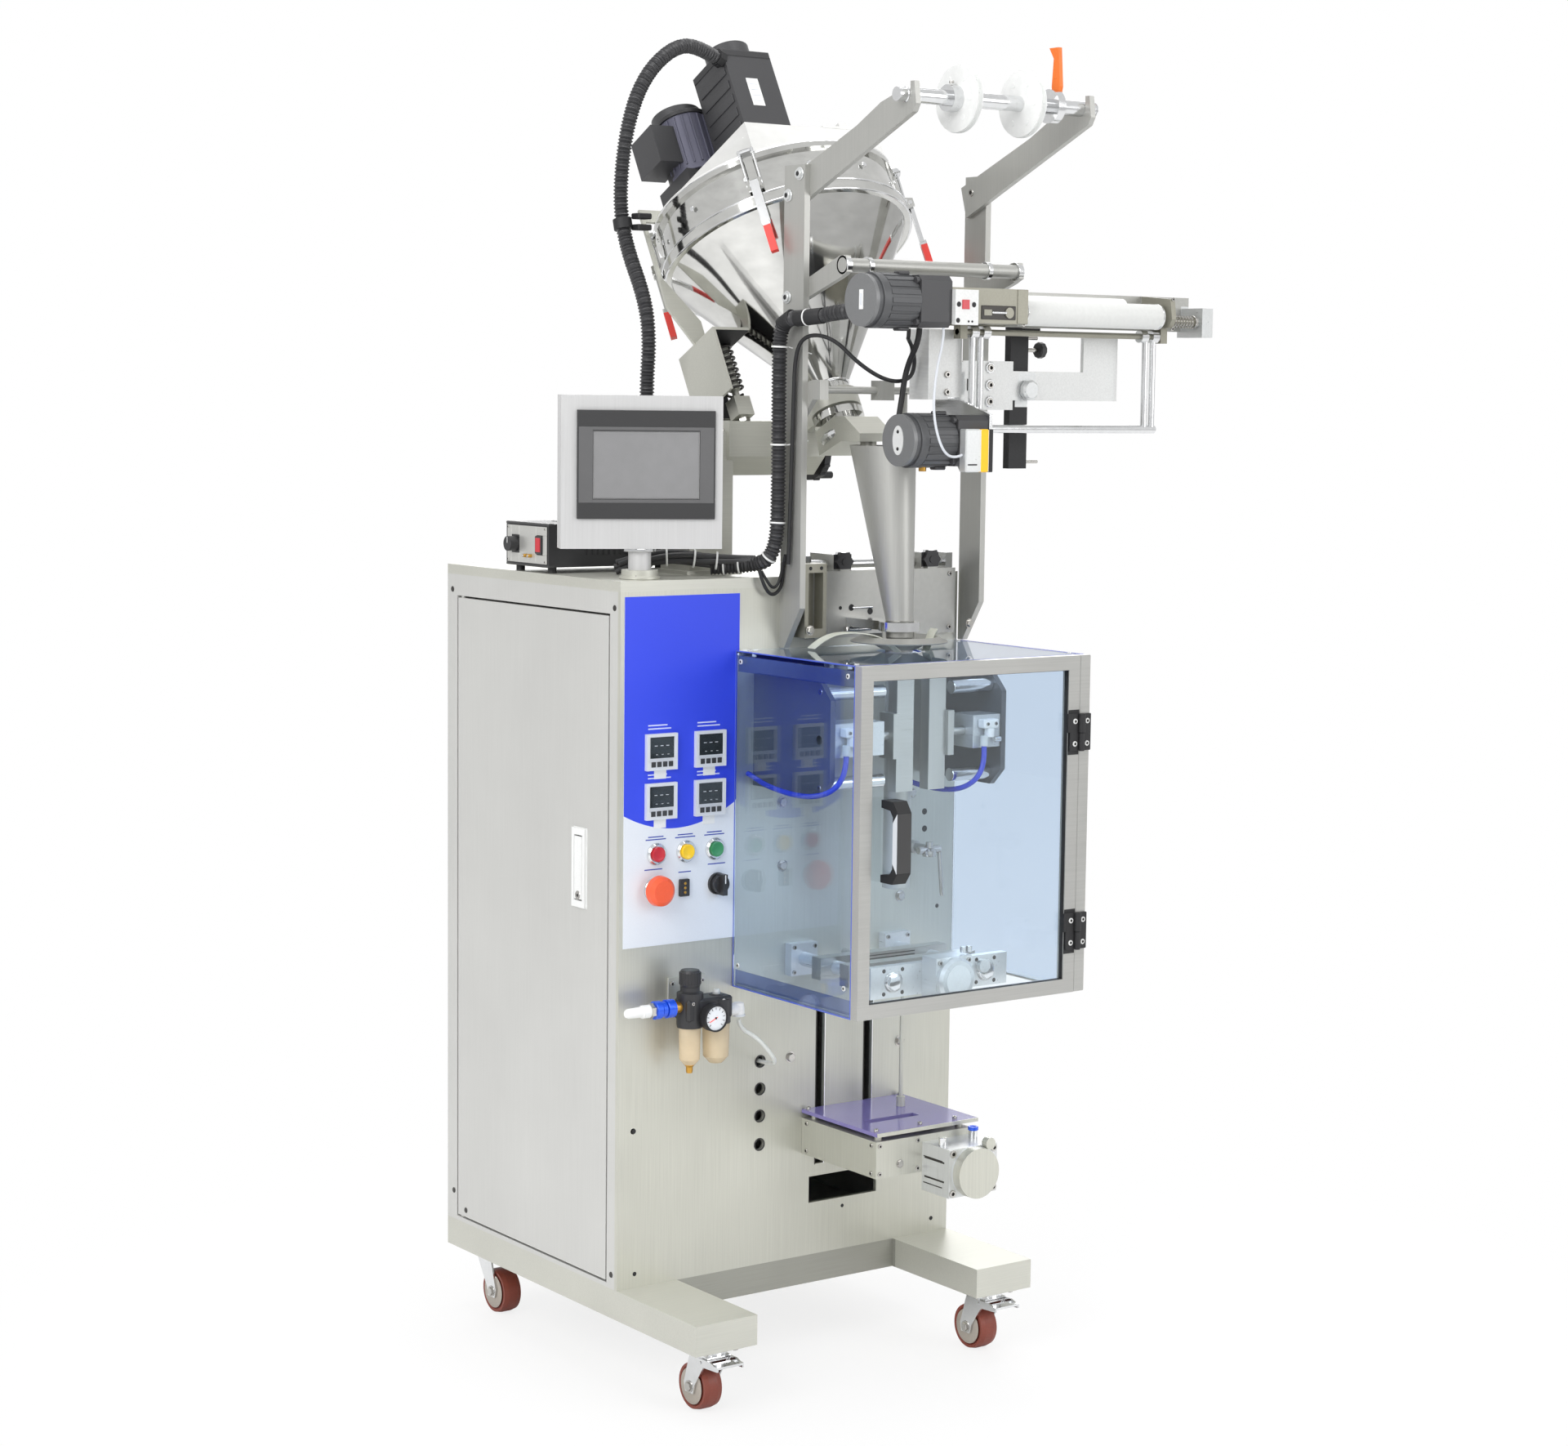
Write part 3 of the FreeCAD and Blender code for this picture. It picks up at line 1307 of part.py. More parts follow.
chute_room = [(30, 1236), (-14, 1254), (-51, 1254), (-51, 1260), (-19, 1281), (2, 1281)]
chute_wide = 2 * d.auger_tube_radius + 4
spout_back = -37.0
spout_low = 1238.0
spout_bore = 9.0
tube_in_chute = rod(d.auger_tube_radius, d.auger_tube_long)
tube_foot_back = d.hopper_back + tube_end * sine(d.hopper_tilt)
tube_foot_up = d.hopper_up + tube_end * cosine(d.hopper_tilt)
place(tube_in_chute, d.hopper_across, tube_foot_back, tube_foot_up, lean)
chute = cut(
    plate("yz", chute_outline, chute_wide, d.hopper_across - chute_wide / 2, 0, 0),
    plate("yz", chute_room, chute_wide - 6, d.hopper_across - chute_wide / 2 + 3, 0, 0),
    tube_in_chute,
    rod(spout_bore, 10, d.hopper_across, spout_back, 1246),
)
spout = ring(spout_bore + 2, spout_bore, 1251 - spout_low, d.hopper_across, spout_back, spout_low)
leaning_stand = doc.addObject("Part::Compound", "leaning_stand")
leaning_stand.Links = [spring_bracket, saddle, plate("xz", side_bracket, 4, 0, spring_back, 0)]
place(leaning_stand, d.hopper_across, d.hopper_back, d.hopper_up, lean)
node("hopper_stand", [fuse(cut(column, column_room), stand_foot), stand_beam, stand_stub, leaning_stand, chute, spout])

wheel_x = beam_right + 4
wheel_outer = 35.0
wheel_profile = [
    (7 + d.running_fit, 0),
    (11, 0),
    (11, 5),
    (wheel_outer - 8, 5),
    (wheel_outer - 6, 2),
    (wheel_outer, 2),
    (wheel_outer, 12),
    (wheel_outer - 6, 12),
    (wheel_outer - 8, 9),
    (11, 9),
    (11, 14),
    (7 + d.running_fit, 14),
]
wheel_holes = [
    rod(6, 20, wheel_x - 4, wheel_back + 19 * math.cos(angle), wheel_level + 19 * math.sin(angle), "x")
    for angle in (0.5, 2.6, 4.7)
]
node("handwheel", [fuse(
    cut(turned(wheel_profile, wheel_x, wheel_back, wheel_level, "x"), *wheel_holes),
    rod(5, 28, wheel_x + 10, wheel_back, wheel_level - wheel_outer + 6, "x"),
)])

# Powder funnel: an open sheet hopper that narrows to the forming tube.
def lofted(radius, long_radius, foot_radius, low, high, shift):
    foot = doc.addObject("Part::Circle", "foot")
    bind(foot, "Radius", foot_radius)
    place(foot, 0, 0, low)
    mouth = doc.addObject("Part::Ellipse", "mouth")
    bind(mouth, "MajorRadius", long_radius)
    bind(mouth, "MinorRadius", radius)
    place(mouth, 0, shift, high, FreeCAD.Rotation(FreeCAD.Vector(0, 0, 1), 90))
    item = doc.addObject("Part::Loft", "loft")
    item.Sections = [foot, mouth]
    item.Solid = True
    item.Ruled = True
    return item


funnel_outer = lofted(d.funnel_half_wide, d.funnel_half_deep, d.tube_radius, 0, d.funnel_high, d.funnel_back)
funnel_inner = lofted(
    d.funnel_half_wide - d.funnel_wall,
    d.funnel_half_deep - d.funnel_wall,
    d.tube_radius - d.funnel_wall,
    0,
    d.funnel_high,
    d.funnel_back,
)
funnel = place(cut(funnel_outer, funnel_inner), d.tube_across, -d.tube_forward, d.tube_top)

# The funnel hangs by a strap from a rod that the left reel post carries.
hanger_up = 1319.0
hanger_forward = 64.0
strap_low = d.tube_top + d.funnel_high - 40
hanger = fuse(
    rod(5, 166, arm_left, -hanger_forward, hanger_up, "x"),
    block(24, 20, 26, d.tube_across - 12, -hanger_forward - 10, hanger_up - 13),
    block(14, 16, 26, arm_left, -hanger_forward - 8, hanger_up - 13),
    plate("yz", [(-hanger_forward + 8, -13), (-hanger_forward + 8, 13), (0, 0), (0, -60), (-12, -60)],
          8, arm_left, 0, hanger_up),
)
strap = block(3, 9, hanger_up - strap_low, d.tube_across + d.funnel_half_wide - 2, -hanger_forward - 4, strap_low)
strap_arm = block(d.funnel_half_wide, 9, 5, d.tube_across, -hanger_forward - 4, hanger_up - 5)

# Forming tube with its shoulder collar.
collar_low = guard_top + 2
grip_high = 12.0
grip_low = d.tube_top - grip_high - 2
tube_shell = ring(
    d.tube_radius,
    d.tube_radius - d.tube_wall,
    d.tube_top - d.tube_foot,
    d.tube_across,
    -d.tube_forward,
    d.tube_foot,
)
collar_bore = d.tube_radius + 2
shoulder = turned([
    (collar_bore, 0),
    (collar_bore + 1.5, 0),
    (collar_bore + 32, 16),
    (collar_bore + 44, 10),
    (collar_bore + 45, 11.5),
    (collar_bore + 32, 18),
    (collar_bore, 2),
], d.tube_across, -d.tube_forward, collar_low)
shoulder_posts = [rod(3, grip_low - collar_low - 3, x, -d.tube_forward, collar_low + 3)
                  for x in (d.tube_across - 25, d.tube_across + 25)]
node("forming_tube", [funnel, hanger, strap, strap_arm, tube_shell, shoulder, *shoulder_posts])

# Guard: two sides and a top of acrylic, with a steel corner post for the hinges.
side_pane_high = d.guard_high - d.acrylic_thick
left_pane = block(
    d.acrylic_thick,
    d.guard_deep - d.panel_thick,
    side_pane_high,
    d.guard_left,
    -d.guard_deep,
    d.guard_low,
)
right_pane = block(
    d.acrylic_thick,
    d.guard_deep,
    side_pane_high,
    guard_right - d.acrylic_thick,
    -d.guard_deep,
    d.guard_low,
)
top_pane = block(
    d.guard_wide,
    d.guard_deep - d.panel_thick,
    d.acrylic_thick,
    d.guard_left,
    -d.guard_deep,
    guard_top - d.acrylic_thick,
)
tube_opening = rod(d.tube_radius + 12, d.acrylic_thick + 2, d.tube_across, -d.tube_forward,
                   guard_top - d.acrylic_thick - 1)
corner_post = block(
    d.guard_post,
    d.door_frame_thick,
    d.guard_high,
    guard_right - d.guard_post,
    -d.guard_deep - d.door_frame_thick,
    d.guard_low,
)
hinge_axis = guard_right - d.guard_post - 0.5
hinge_out = -d.guard_deep - d.door_frame_thick - d.hinge_barrel - d.touch_gap
hinge_pin = 2.5
hinge_half = d.hinge_side / 2 - d.touch_gap / 2
leaf_back = -d.guard_deep - d.door_frame_thick - d.hinge_thick
hinge_levels = [d.guard_low + d.hinge_first, d.guard_low + d.hinge_first + d.hinge_pitch]


def fixed_hinge(z):
    return fuse(
        rod(d.hinge_barrel, hinge_half, hinge_axis, hinge_out, z),
        rod(hinge_pin, d.hinge_side, hinge_axis, hinge_out, z),
        block(d.hinge_leaf, d.hinge_thick, hinge_half, hinge_axis, leaf_back, z),
    )


def door_hinge(z):
    return cut(
        fuse(
            rod(d.hinge_barrel, hinge_half, hinge_axis, hinge_out, z),
            block(d.hinge_leaf, d.hinge_thick, hinge_half, hinge_axis - d.hinge_leaf, leaf_back, z),
        ),
        rod(hinge_pin + d.running_fit, d.hinge_side, hinge_axis, hinge_out, z - 1),
    )


node("guard_panels", [
    left_pane,
    right_pane,
    cut(top_pane, tube_opening),
    corner_post,
    *[fixed_hinge(z) for z in hinge_levels],
])

# Guard door: a steel frame with a pane and a handle, on two hinges at the right.
guard_door_wide = d.guard_wide - d.guard_post - 1
guard_door_front = -d.guard_deep - d.door_frame_thick
frame_outer = block(
    guard_door_wide, d.door_frame_thick - d.touch_gap, d.guard_high, d.guard_left, guard_door_front, d.guard_low
)
pane_wide = guard_door_wide - 2 * d.door_bar
pane_high = d.guard_high - 2 * d.door_bar
frame_inner = block(
    pane_wide,
    d.door_frame_thick + 2,
    pane_high,
    d.guard_left + d.door_bar,
    guard_door_front - 1,
    d.guard_low + d.door_bar,
)
node("guard_door", [
    cut(frame_outer, frame_inner),
    *[door_hinge(z + d.hinge_side / 2 + d.touch_gap / 2) for z in hinge_levels],
])

pane_front = guard_door_front + 5
pane = block(
    pane_wide, d.pane_thick, pane_high, d.guard_left + d.door_bar, pane_front, d.guard_low + d.door_bar
)
handle_left = d.guard_left + 38
handle_low = d.guard_low + 175
handle_back = pane_front
handle_outline = [
    (handle_back, 0),
    (handle_back - d.handle_proud + 10, 0),
    (handle_back - d.handle_proud, 14),
    (handle_back - d.handle_proud, d.handle_tall - 14),
    (handle_back - d.handle_proud + 10, d.handle_tall),
    (handle_back, d.handle_tall),
    (handle_back, d.handle_tall - 10),
    (handle_back - d.handle_proud + 16, d.handle_tall - 12),
    (handle_back - d.handle_proud + 10, d.handle_tall - 20),
    (handle_back - d.handle_proud + 10, 20),
    (handle_back - d.handle_proud + 16, 12),
    (handle_back, 10),
]
handle = plate("yz", handle_outline, d.handle_wide, handle_left, 0, handle_low)
node("guard_window", [pane, handle])

# Tube carriage: two rods on the lid with clamps, and the bracket that holds the forming tube.
carriage_left = 296.0
carriage_long = 256.0
slide_up = 1084.0
slide_backs = (15.0, 40.0)
carriage_plate_low = 986.0
clamp_places = (354.0, 505.0)
tube_grip = d.tube_radius + 9
carriage_rods = [rod(6, carriage_long, carriage_left, y, slide_up, "x") for y in slide_backs]
carriage_feet = [
    block(12, 45, slide_up + 12 - lid_top, x, 5, lid_top)
    for x in (carriage_left, carriage_left + carriage_long - 12)
]
carriage_clamps = [block(30, 54, 26, x - 15, -4, slide_up - 12) for x in clamp_places]
star_outline = []
for index in range(12):
    reach = 15.0 if index % 2 == 0 else 12.0
    angle = math.pi * index / 6
    star_outline.append((20 + reach * math.cos(angle), 20 + reach * math.sin(angle)))


def star_knob(x, front, z):
    return fuse(plate("xz", star_outline, 12, x - 20, front - 6, z - 20), rod(5, 8, x, front - 7, z, "y"))


carriage_knobs = [star_knob(x, -4, slide_up + 4) for x in clamp_places]
carriage_plate = block(242, 8, 90, 302, -12, carriage_plate_low)
grip = cut(
    fuse(
        rod(tube_grip, grip_high, d.tube_across, -d.tube_forward, grip_low),
        block(34, d.tube_forward - 12, grip_high, d.tube_across - 17, -d.tube_forward, grip_low),
    ),
    rod(d.tube_radius, grip_high + 2, d.tube_across, -d.tube_forward, grip_low - 1),
)
olive_block = cut(block(36, 32, 99, 271, -32, 989), block(24, 22, 75, 277, -33, 1001))
node("tube_carriage", [*carriage_rods, *carriage_feet, *carriage_clamps, *carriage_knobs,
                       carriage_plate, grip, olive_block])

# Film feed unit: its frame hangs on the right reel post.
cheek_left = d.film_roller_left - 13
box_left = d.upper_motor_left + d.film_motor_long + d.gear_head_long
cheek_right = 745.0
cheek_thick = 8.0
pinch_forward = d.unit_forward - 27
pinch_up = d.unit_up + 12
roller_end = d.film_roller_left + d.film_roller_long
bearing_radius = 6.0
back_bar_low = 1405.0
back_bar_high = 47.0
back_bar_front = -158.0


def bearing_cheek(x, thick):
    low = 1400.0
    profile = [
        (-215, low + 8),
        (-222, low + 20),
        (-218, low + 47),
        (back_bar_front, low + 52),
        (back_bar_front, low + 8),
    ]
    bore = bearing_radius + d.running_fit
    return plate("yz", profile, thick, x, 0, 0, [(bore, -d.unit_forward, d.unit_up), (4.05, -pinch_forward, pinch_up)])


post_clamp = cut(
    block(27, 109, 45, 551, -114, 1300),
    block(d.reel_post_thick, d.reel_post_deep, 47, reel_post_right, -d.reel_post_deep, 1299),
)
clamp_knob = fuse(
    rod(14, 10, 564, -134, 1322, "y"),
    rod(5, 24, 564, -128, 1322, "y"),
)
drive_box = cut(
    block(cheek_left - box_left, 74, 45, box_left, -232, 1407),
    rod(14.5, cheek_left - box_left + 2, box_left - 1, -d.unit_forward, d.unit_up, "x"),
)
lower_plate = [
    (-235, 1221),
    (-225, 1215),
    (-175, 1215),
    (-120, 1290),
    (-120, 1310),
    (-165, 1310),
    (-235, 1290),
]
angle_plate = [(541, 1308), (728, 1308), (728, 1400), (666, 1400), (666, 1347), (541, 1347)]
wing_plate = [(443, 1295), (541, 1295), (541, 1360), (456, 1360), (443, 1350)]
dancer_hangers = [
    block(12, 14, 30, x, -172, 1388)
    for x in (d.dancer_left - 26, d.dancer_left + d.dancer_wide + 8)
]
dancer_pin = 4.0
lower_end = d.lower_motor_left + d.film_motor_long + d.gear_head_long
film_pieces = [
    post_clamp,
    clamp_knob,
    block(31, 12, 184, 541, -126, 1216),
    plate("xz", angle_plate, 6, 0, -132, 0),
    plate("xz", wing_plate, 12, 0, -132, 0),
    block(56, 40, 92, 381, -150, 1308),
    block(12, 24, 30, 436, -144, 1315),
    block(31, 36, 40, 541, -150, 1400),
    block(483, 8, back_bar_high, box_left, back_bar_front, back_bar_low),
    drive_box,
    block(38, 8, 45, box_left, -240, 1404),
    bearing_cheek(cheek_left, cheek_thick),
    bearing_cheek(cheek_right, cheek_thick),
    rod(6, 822 - cheek_right - cheek_thick, cheek_right + cheek_thick, -188, 1418, "x"),
    block(20, 50, 40, 822, -200, 1397),
    plate("yz", lower_plate, 5, lower_end, 0, 0),
    rod(7, 12, lower_end + 5, -d.unit_forward, d.lower_motor_up, "x"),
    block(44, 13, 54, lower_end - 48, -247, 1216),
    *dancer_hangers,
    rod(dancer_pin, d.dancer_wide + 46, d.dancer_left - 26, -d.dancer_forward, d.dancer_up, "x"),
]
node("film_frame", film_pieces)


def film_motor(x, z):
    """A round motor with a stepped end cap and a square gear head."""
    radius = d.film_motor_radius
    long = d.film_motor_long
    half = d.gear_head_side / 2
    body = turned([
        (0, 0),
        (radius - 6, 0),
        (radius - 1, 5),
        (radius - 1, 22),
        (radius, 24),
        (radius, long),
        (0, long),
    ], x, -d.unit_forward, z, "x")
    outline = [
        (-half, -half + 7),
        (-half + 7, -half),
        (half - 7, -half),
        (half, -half + 7),
        (half, half - 7),
        (half - 7, half),
        (-half + 7, half),
        (-half, half - 7),
    ]
    return fuse(body, plate("yz", outline, d.gear_head_long, x + long, -d.unit_forward, z))


node("film_motors", [film_motor(d.upper_motor_left, d.motor_up), film_motor(d.lower_motor_left, d.lower_motor_up)])

drive_shaft_left = box_left + 12
drive_shaft_long = roller_end + 26 - drive_shaft_left
node("drive_roller", [fuse(
    rod(d.film_roller_radius, d.film_roller_long, d.film_roller_left, -d.unit_forward, d.unit_up, "x"),
    rod(bearing_radius, drive_shaft_long, drive_shaft_left, -d.unit_forward, d.unit_up, "x"),
    rod(12, 60, drive_shaft_left + 10, -d.unit_forward, d.unit_up, "x"),
)])
pinch_left = d.film_roller_left + 4
node("pinch_roller", [fuse(
    rod(d.pinch_radius, d.film_roller_long - 45, pinch_left, -pinch_forward, pinch_up, "x"),
    rod(4, cheek_right + cheek_thick + 4 - cheek_left, cheek_left + 1, -pinch_forward, pinch_up, "x"),
)])

dancer_right = d.dancer_left + d.dancer_wide
dancer_bore = dancer_pin + d.running_fit


def dancer_hub(x):
    return ring(8.5, dancer_bore, 12, x - 6, -d.dancer_forward, d.dancer_up, "x")


dancer_foot = d.dancer_up - d.dancer_long
dancer_rods = [
    rod(d.dancer_rod, d.dancer_long - 7, x, -d.dancer_forward, dancer_foot)
    for x in (d.dancer_left, d.dancer_left + 14, dancer_right - 14, dancer_right)
]
node("dancer_arm", [fuse(
    dancer_hub(d.dancer_left),
    dancer_hub(d.dancer_left + 20),
    dancer_hub(dancer_right - 20),
    dancer_hub(dancer_right),
    *dancer_rods,
    rod(5.5, d.dancer_wide + 10, d.dancer_left - 5, -d.dancer_forward, dancer_foot, "x"),
)])

# Sealing jaws: the cross seal rides on two rods, the lengthwise jaws hang from side brackets.
rod_places = [d.tube_across - d.rod_half_pitch, d.tube_across + d.rod_half_pitch]
seal_rods = [rod(d.rod_radius, d.rod_long, x, -d.rod_long, d.seal_level, "y") for x in rod_places]
seal_flanges = [block(44, 14, 44, x - 22, -14, d.seal_level - 22) for x in rod_places]
end_plate = block(230, 12, 42, d.tube_across - 115, -d.rod_long - 5, d.seal_level - 21)
piston_radius = 5.0
piston_bore = rod(piston_radius + d.running_fit, 60, d.tube_across, -d.rod_long - 50, d.seal_level, "y")
cylinder_deep = 40.0
seal_cylinder = turned([
    (0, 0),
    (26, 0),
    (30, 4),
    (30, cylinder_deep),
    (0, cylinder_deep),
], d.tube_across, -d.rod_long - 5 - cylinder_deep, d.seal_level, "y")
seal_cylinder_box = block(60, 30, 60, d.tube_across - 30, -d.rod_long - 35, d.seal_level - 30)
seal_nut = rod(9, 8, d.tube_across + 71, -d.rod_long - 13, d.seal_level + 7, "y")
seal_head = cut(fuse(end_plate, seal_cylinder, seal_cylinder_box, seal_nut, *seal_rods, *seal_flanges), piston_bore)
side_left = d.tube_across - d.left_bracket_reach
side_right = d.tube_across + d.right_bracket_reach
side_thick = 8.0
seal_middle = d.seal_foot + d.seal_high / 2
cylinder_half = 22.0
left_jaw_thick = 28.0
side_bore_radius = 6.0


def side_bracket_plate(x):
    profile = [
        (0, d.seal_foot),
        (-150, d.seal_foot),
        (-172, d.seal_foot + 22),
        (-172, d.seal_foot + d.seal_high - 22),
        (-150, d.seal_foot + d.seal_high),
        (0, d.seal_foot + d.seal_high),
    ]
    return plate("yz", profile, side_thick, x, 0, 0)


side_cylinders = fuse(
    block(77, 2 * cylinder_half, 2 * cylinder_half, side_left + side_thick,
          -d.seal_plane - cylinder_half, seal_middle - cylinder_half),
    block(47, 2 * cylinder_half, 2 * cylinder_half, side_right - 47,
          -d.seal_plane - cylinder_half, seal_middle - cylinder_half),
    side_bracket_plate(side_left),
    side_bracket_plate(side_right),
)
side_bore = rod(side_bore_radius + d.running_fit, side_right - side_left + 2 * side_thick, side_left - 1,
                -d.seal_plane, seal_middle, "x")
node("seal_frame", [seal_head, cut(side_cylinders, side_bore)])

jaw_left = d.tube_across - d.jaw_wide / 2
jaw_foot = d.seal_level - d.jaw_high / 2
jaw_middle = -d.tube_forward - 1
front_jaw_back = jaw_middle - d.jaw_open / 2
rear_jaw_front = jaw_middle + d.jaw_open / 2
jaw_bore = d.rod_radius + d.running_fit


def jaw_bores(y):
    return [rod(jaw_bore, d.jaw_deep + 2, x, y - 1, d.seal_level, "y") for x in rod_places]


def jaw_grooves(y):
    """Shallow grooves along the sealing face."""
    return [block(d.jaw_wide + 2, 1.6, 3, jaw_left - 1, y, d.seal_level + z) for z in (-10, -3, 4)]


front_jaw_front = front_jaw_back - d.jaw_deep
front_piston_long = 86.0
node("front_jaw", [fuse(
    cut(
        block(d.jaw_wide, d.jaw_deep, d.jaw_high, jaw_left, front_jaw_front, jaw_foot),
        *jaw_bores(front_jaw_front),
        *jaw_grooves(front_jaw_back - 0.8),
    ),
    rod(piston_radius, front_piston_long, d.tube_across, front_jaw_front - front_piston_long, d.seal_level, "y"),
)])
push_long = 100.0
node("rear_jaw", [fuse(
    cut(
        block(d.jaw_wide, d.jaw_deep, d.jaw_high, jaw_left, rear_jaw_front, jaw_foot),
        *jaw_bores(rear_jaw_front),
        *jaw_grooves(rear_jaw_front - 0.8),
    ),
    rod(piston_radius, push_long, d.tube_across, rear_jaw_front + d.jaw_deep, d.seal_level, "y"),
)])


def side_jaw(label, face, direction):
    """A heated bar with its piston; direction points from the sealing face to the bracket."""
    low = d.seal_foot
    far = face + direction * left_jaw_thick
    left = min(face, far)
    stem = 70.0
    stem_left = far - stem if direction < 0 else far
    node(label, [fuse(
        block(left_jaw_thick, 18, d.seal_high, left, -d.seal_plane - 9, low),
        block(10, 30, 60, far if direction > 0 else far - 10, -d.seal_plane - 15, seal_middle - 30),
        rod(side_bore_radius, stem, stem_left, -d.seal_plane, seal_middle, "x"),
    )])


side_jaw("vertical_jaw_left", d.tube_across - d.seal_gap / 2, -1)
side_jaw("vertical_jaw_right", d.tube_across + d.seal_gap / 2, 1)

# Sachet cutter: a box that slides in the two slots, with a blade driven from its front.
cutter_back = -d.touch_gap
cutter_front = cutter_back - d.cutter_deep
slit_front = -d.tube_forward - d.slit_deep / 2
slit_left = d.tube_across - d.slit_wide / 2
blade_level = d.cutter_low + 24
blade_wide = 108.0
blade_rest = slit_front - 2
blade_deep = 40.0
blade_gap = d.touch_gap
stem_radius = 4.0
cutter_left = d.tube_across - d.cutter_reach
stem_across = d.tube_across + 45
stem_level = blade_level + d.blade_thick / 2
cover_low = d.cutter_low + d.cutter_high + 7
cover_thick = 5.0
slit = block(d.slit_wide, d.slit_deep, d.cutter_high + 30, slit_left, slit_front, d.cutter_low - 10)
blade_room = block(
    blade_wide + 2 * blade_gap,
    blade_deep + d.blade_travel + 2 * blade_gap,
    d.blade_thick + 2 * blade_gap,
    d.tube_across - blade_wide / 2 - blade_gap,
    blade_rest - blade_deep - blade_gap,
    blade_level - blade_gap,
)
stem_room = rod(stem_radius + blade_gap, 110, stem_across, -d.cutter_deep - 60, stem_level, "y")
cutter_body = block(d.cutter_wide, d.cutter_deep, d.cutter_high, cutter_left, cutter_front, d.cutter_low)
cutter_head = block(
    d.cylinder_side + 20,
    d.cylinder_long,
    d.cylinder_side + 4,
    d.tube_across + 6,
    cutter_front - d.cylinder_long,
    d.cutter_low - 25,
)
head_rounding = fuse(
    rod(34, 16, stem_across, cutter_front - d.cylinder_long - 16, stem_level - 18, "y"),
    rod(8, 10, stem_across + 24, cutter_front - d.cylinder_long - 10, stem_level + 18, "y"),
)
arm_wide = d.slot_wide - 2 * d.touch_gap
cutter_arms = [block(arm_wide, 40, 44, x + d.touch_gap, cutter_back - 1, d.cutter_low + 3) for x in slot_places]
cover = block(d.cutter_wide + 10, d.cutter_deep + 3, cover_thick, cutter_left, cutter_front - 3, cover_low)
cover_posts = [
    rod(5, cover_low - d.cutter_low - d.cutter_high, cutter_left + x, cutter_front + y,
        d.cutter_low + d.cutter_high)
    for x in (12, d.cutter_wide - 12)
    for y in (12, d.cutter_deep - 14)
]
ear_plate = block(8, 52, 60, cutter_left + d.cutter_wide, -80, d.cutter_low - 4)
tube_fitting = rod(6, 14, d.tube_across + 53, -60, cover_low + cover_thick)
air_pipe = rod(3, 160, d.tube_across + 53, -60, cover_low + cover_thick + 12)
node("cutter_box", [cut(
    fuse(cutter_body, cutter_head, head_rounding, *cutter_arms, cover, *cover_posts, ear_plate),
    slit,
    blade_room,
    stem_room,
), fuse(tube_fitting, air_pipe)])
blade_outline = [
    (0, 0),
    (blade_wide, 0),
    (blade_wide, blade_deep),
    (blade_wide / 2, blade_deep - 5),
    (0, blade_deep),
]
node("cutter_blade", [fuse(
    plate("xy", blade_outline, d.blade_thick, d.tube_across - blade_wide / 2, blade_rest - blade_deep, blade_level),
    rod(stem_radius, 52, stem_across, blade_rest - blade_deep - 52, stem_level, "y"),
)])

# Air unit: filter regulator with a gauge, an oiler and their fittings, on a bracket.
air_y = -d.air_forward
second_across = d.air_across + 42
regulator = turned([
    (0, -74),
    (8, -74),
    (d.bowl_small_radius, -66),
    (d.bowl_small_radius, -22),
    (17, -20),
    (17, 24),
    (13, 26),
    (13, 30),
    (0, 30),
], d.air_across, air_y, d.air_up)
oiler = turned([
    (0, -76),
    (9, -76),
    (d.bowl_large_radius, -66),
    (d.bowl_large_radius, -22),
    (19, -20),
    (19, 10),
    (8, 16),
    (0, 16),
], second_across, air_y, d.air_up)
air_body = block(72, 34, 30, d.air_across - 14, air_y - 17, d.air_up - 15)
gauge = fuse(
    rod(17, 12, 108, air_y - 29, d.air_up - 10, "y"),
    rod(5, 14, 108, air_y - 18, d.air_up - 10, "y"),
)
inlet = fuse(
    rod(7, 34, 38, air_y, d.air_up + 4, "x"),
    rod(12, 30, 32, air_y, d.air_up + 4, "x"),
    rod(8, 20, 16, air_y, d.air_up + 4, "x"),
    rod(5, 34, -14, air_y, d.air_up + 4, "x"),
)
outlet = fuse(
    rod(8, 18, second_across + 16, air_y, d.air_up - 8, "x"),
    rod(7, 18, second_across + 36, air_y, d.air_up - 18),
)
air_bracket = fuse(
    block(60, 3, 46, d.air_across - 10, -3, d.air_up - 10),
    block(60, d.air_forward - 17, 4, d.air_across - 10, air_y + 17, d.air_up),
)
stem_hole = rod(4 + d.running_fit, 20, d.air_across, air_y, d.air_up + 14)
node("air_unit", [cut(fuse(regulator, oiler, air_body, air_bracket), stem_hole), gauge, inlet, outlet])
knob_outline = [
    (0, 0),
    (13, 0),
    (14, 3),
    (14, 18),
    (12, 22),
    (0, 22),
]
knob_foot = d.air_up + 30 + d.touch_gap
node("regulator_knob", [fuse(
    turned(knob_outline, d.air_across, air_y, knob_foot),
    rod(4, 14, d.air_across, air_y, knob_foot - 13),
)])

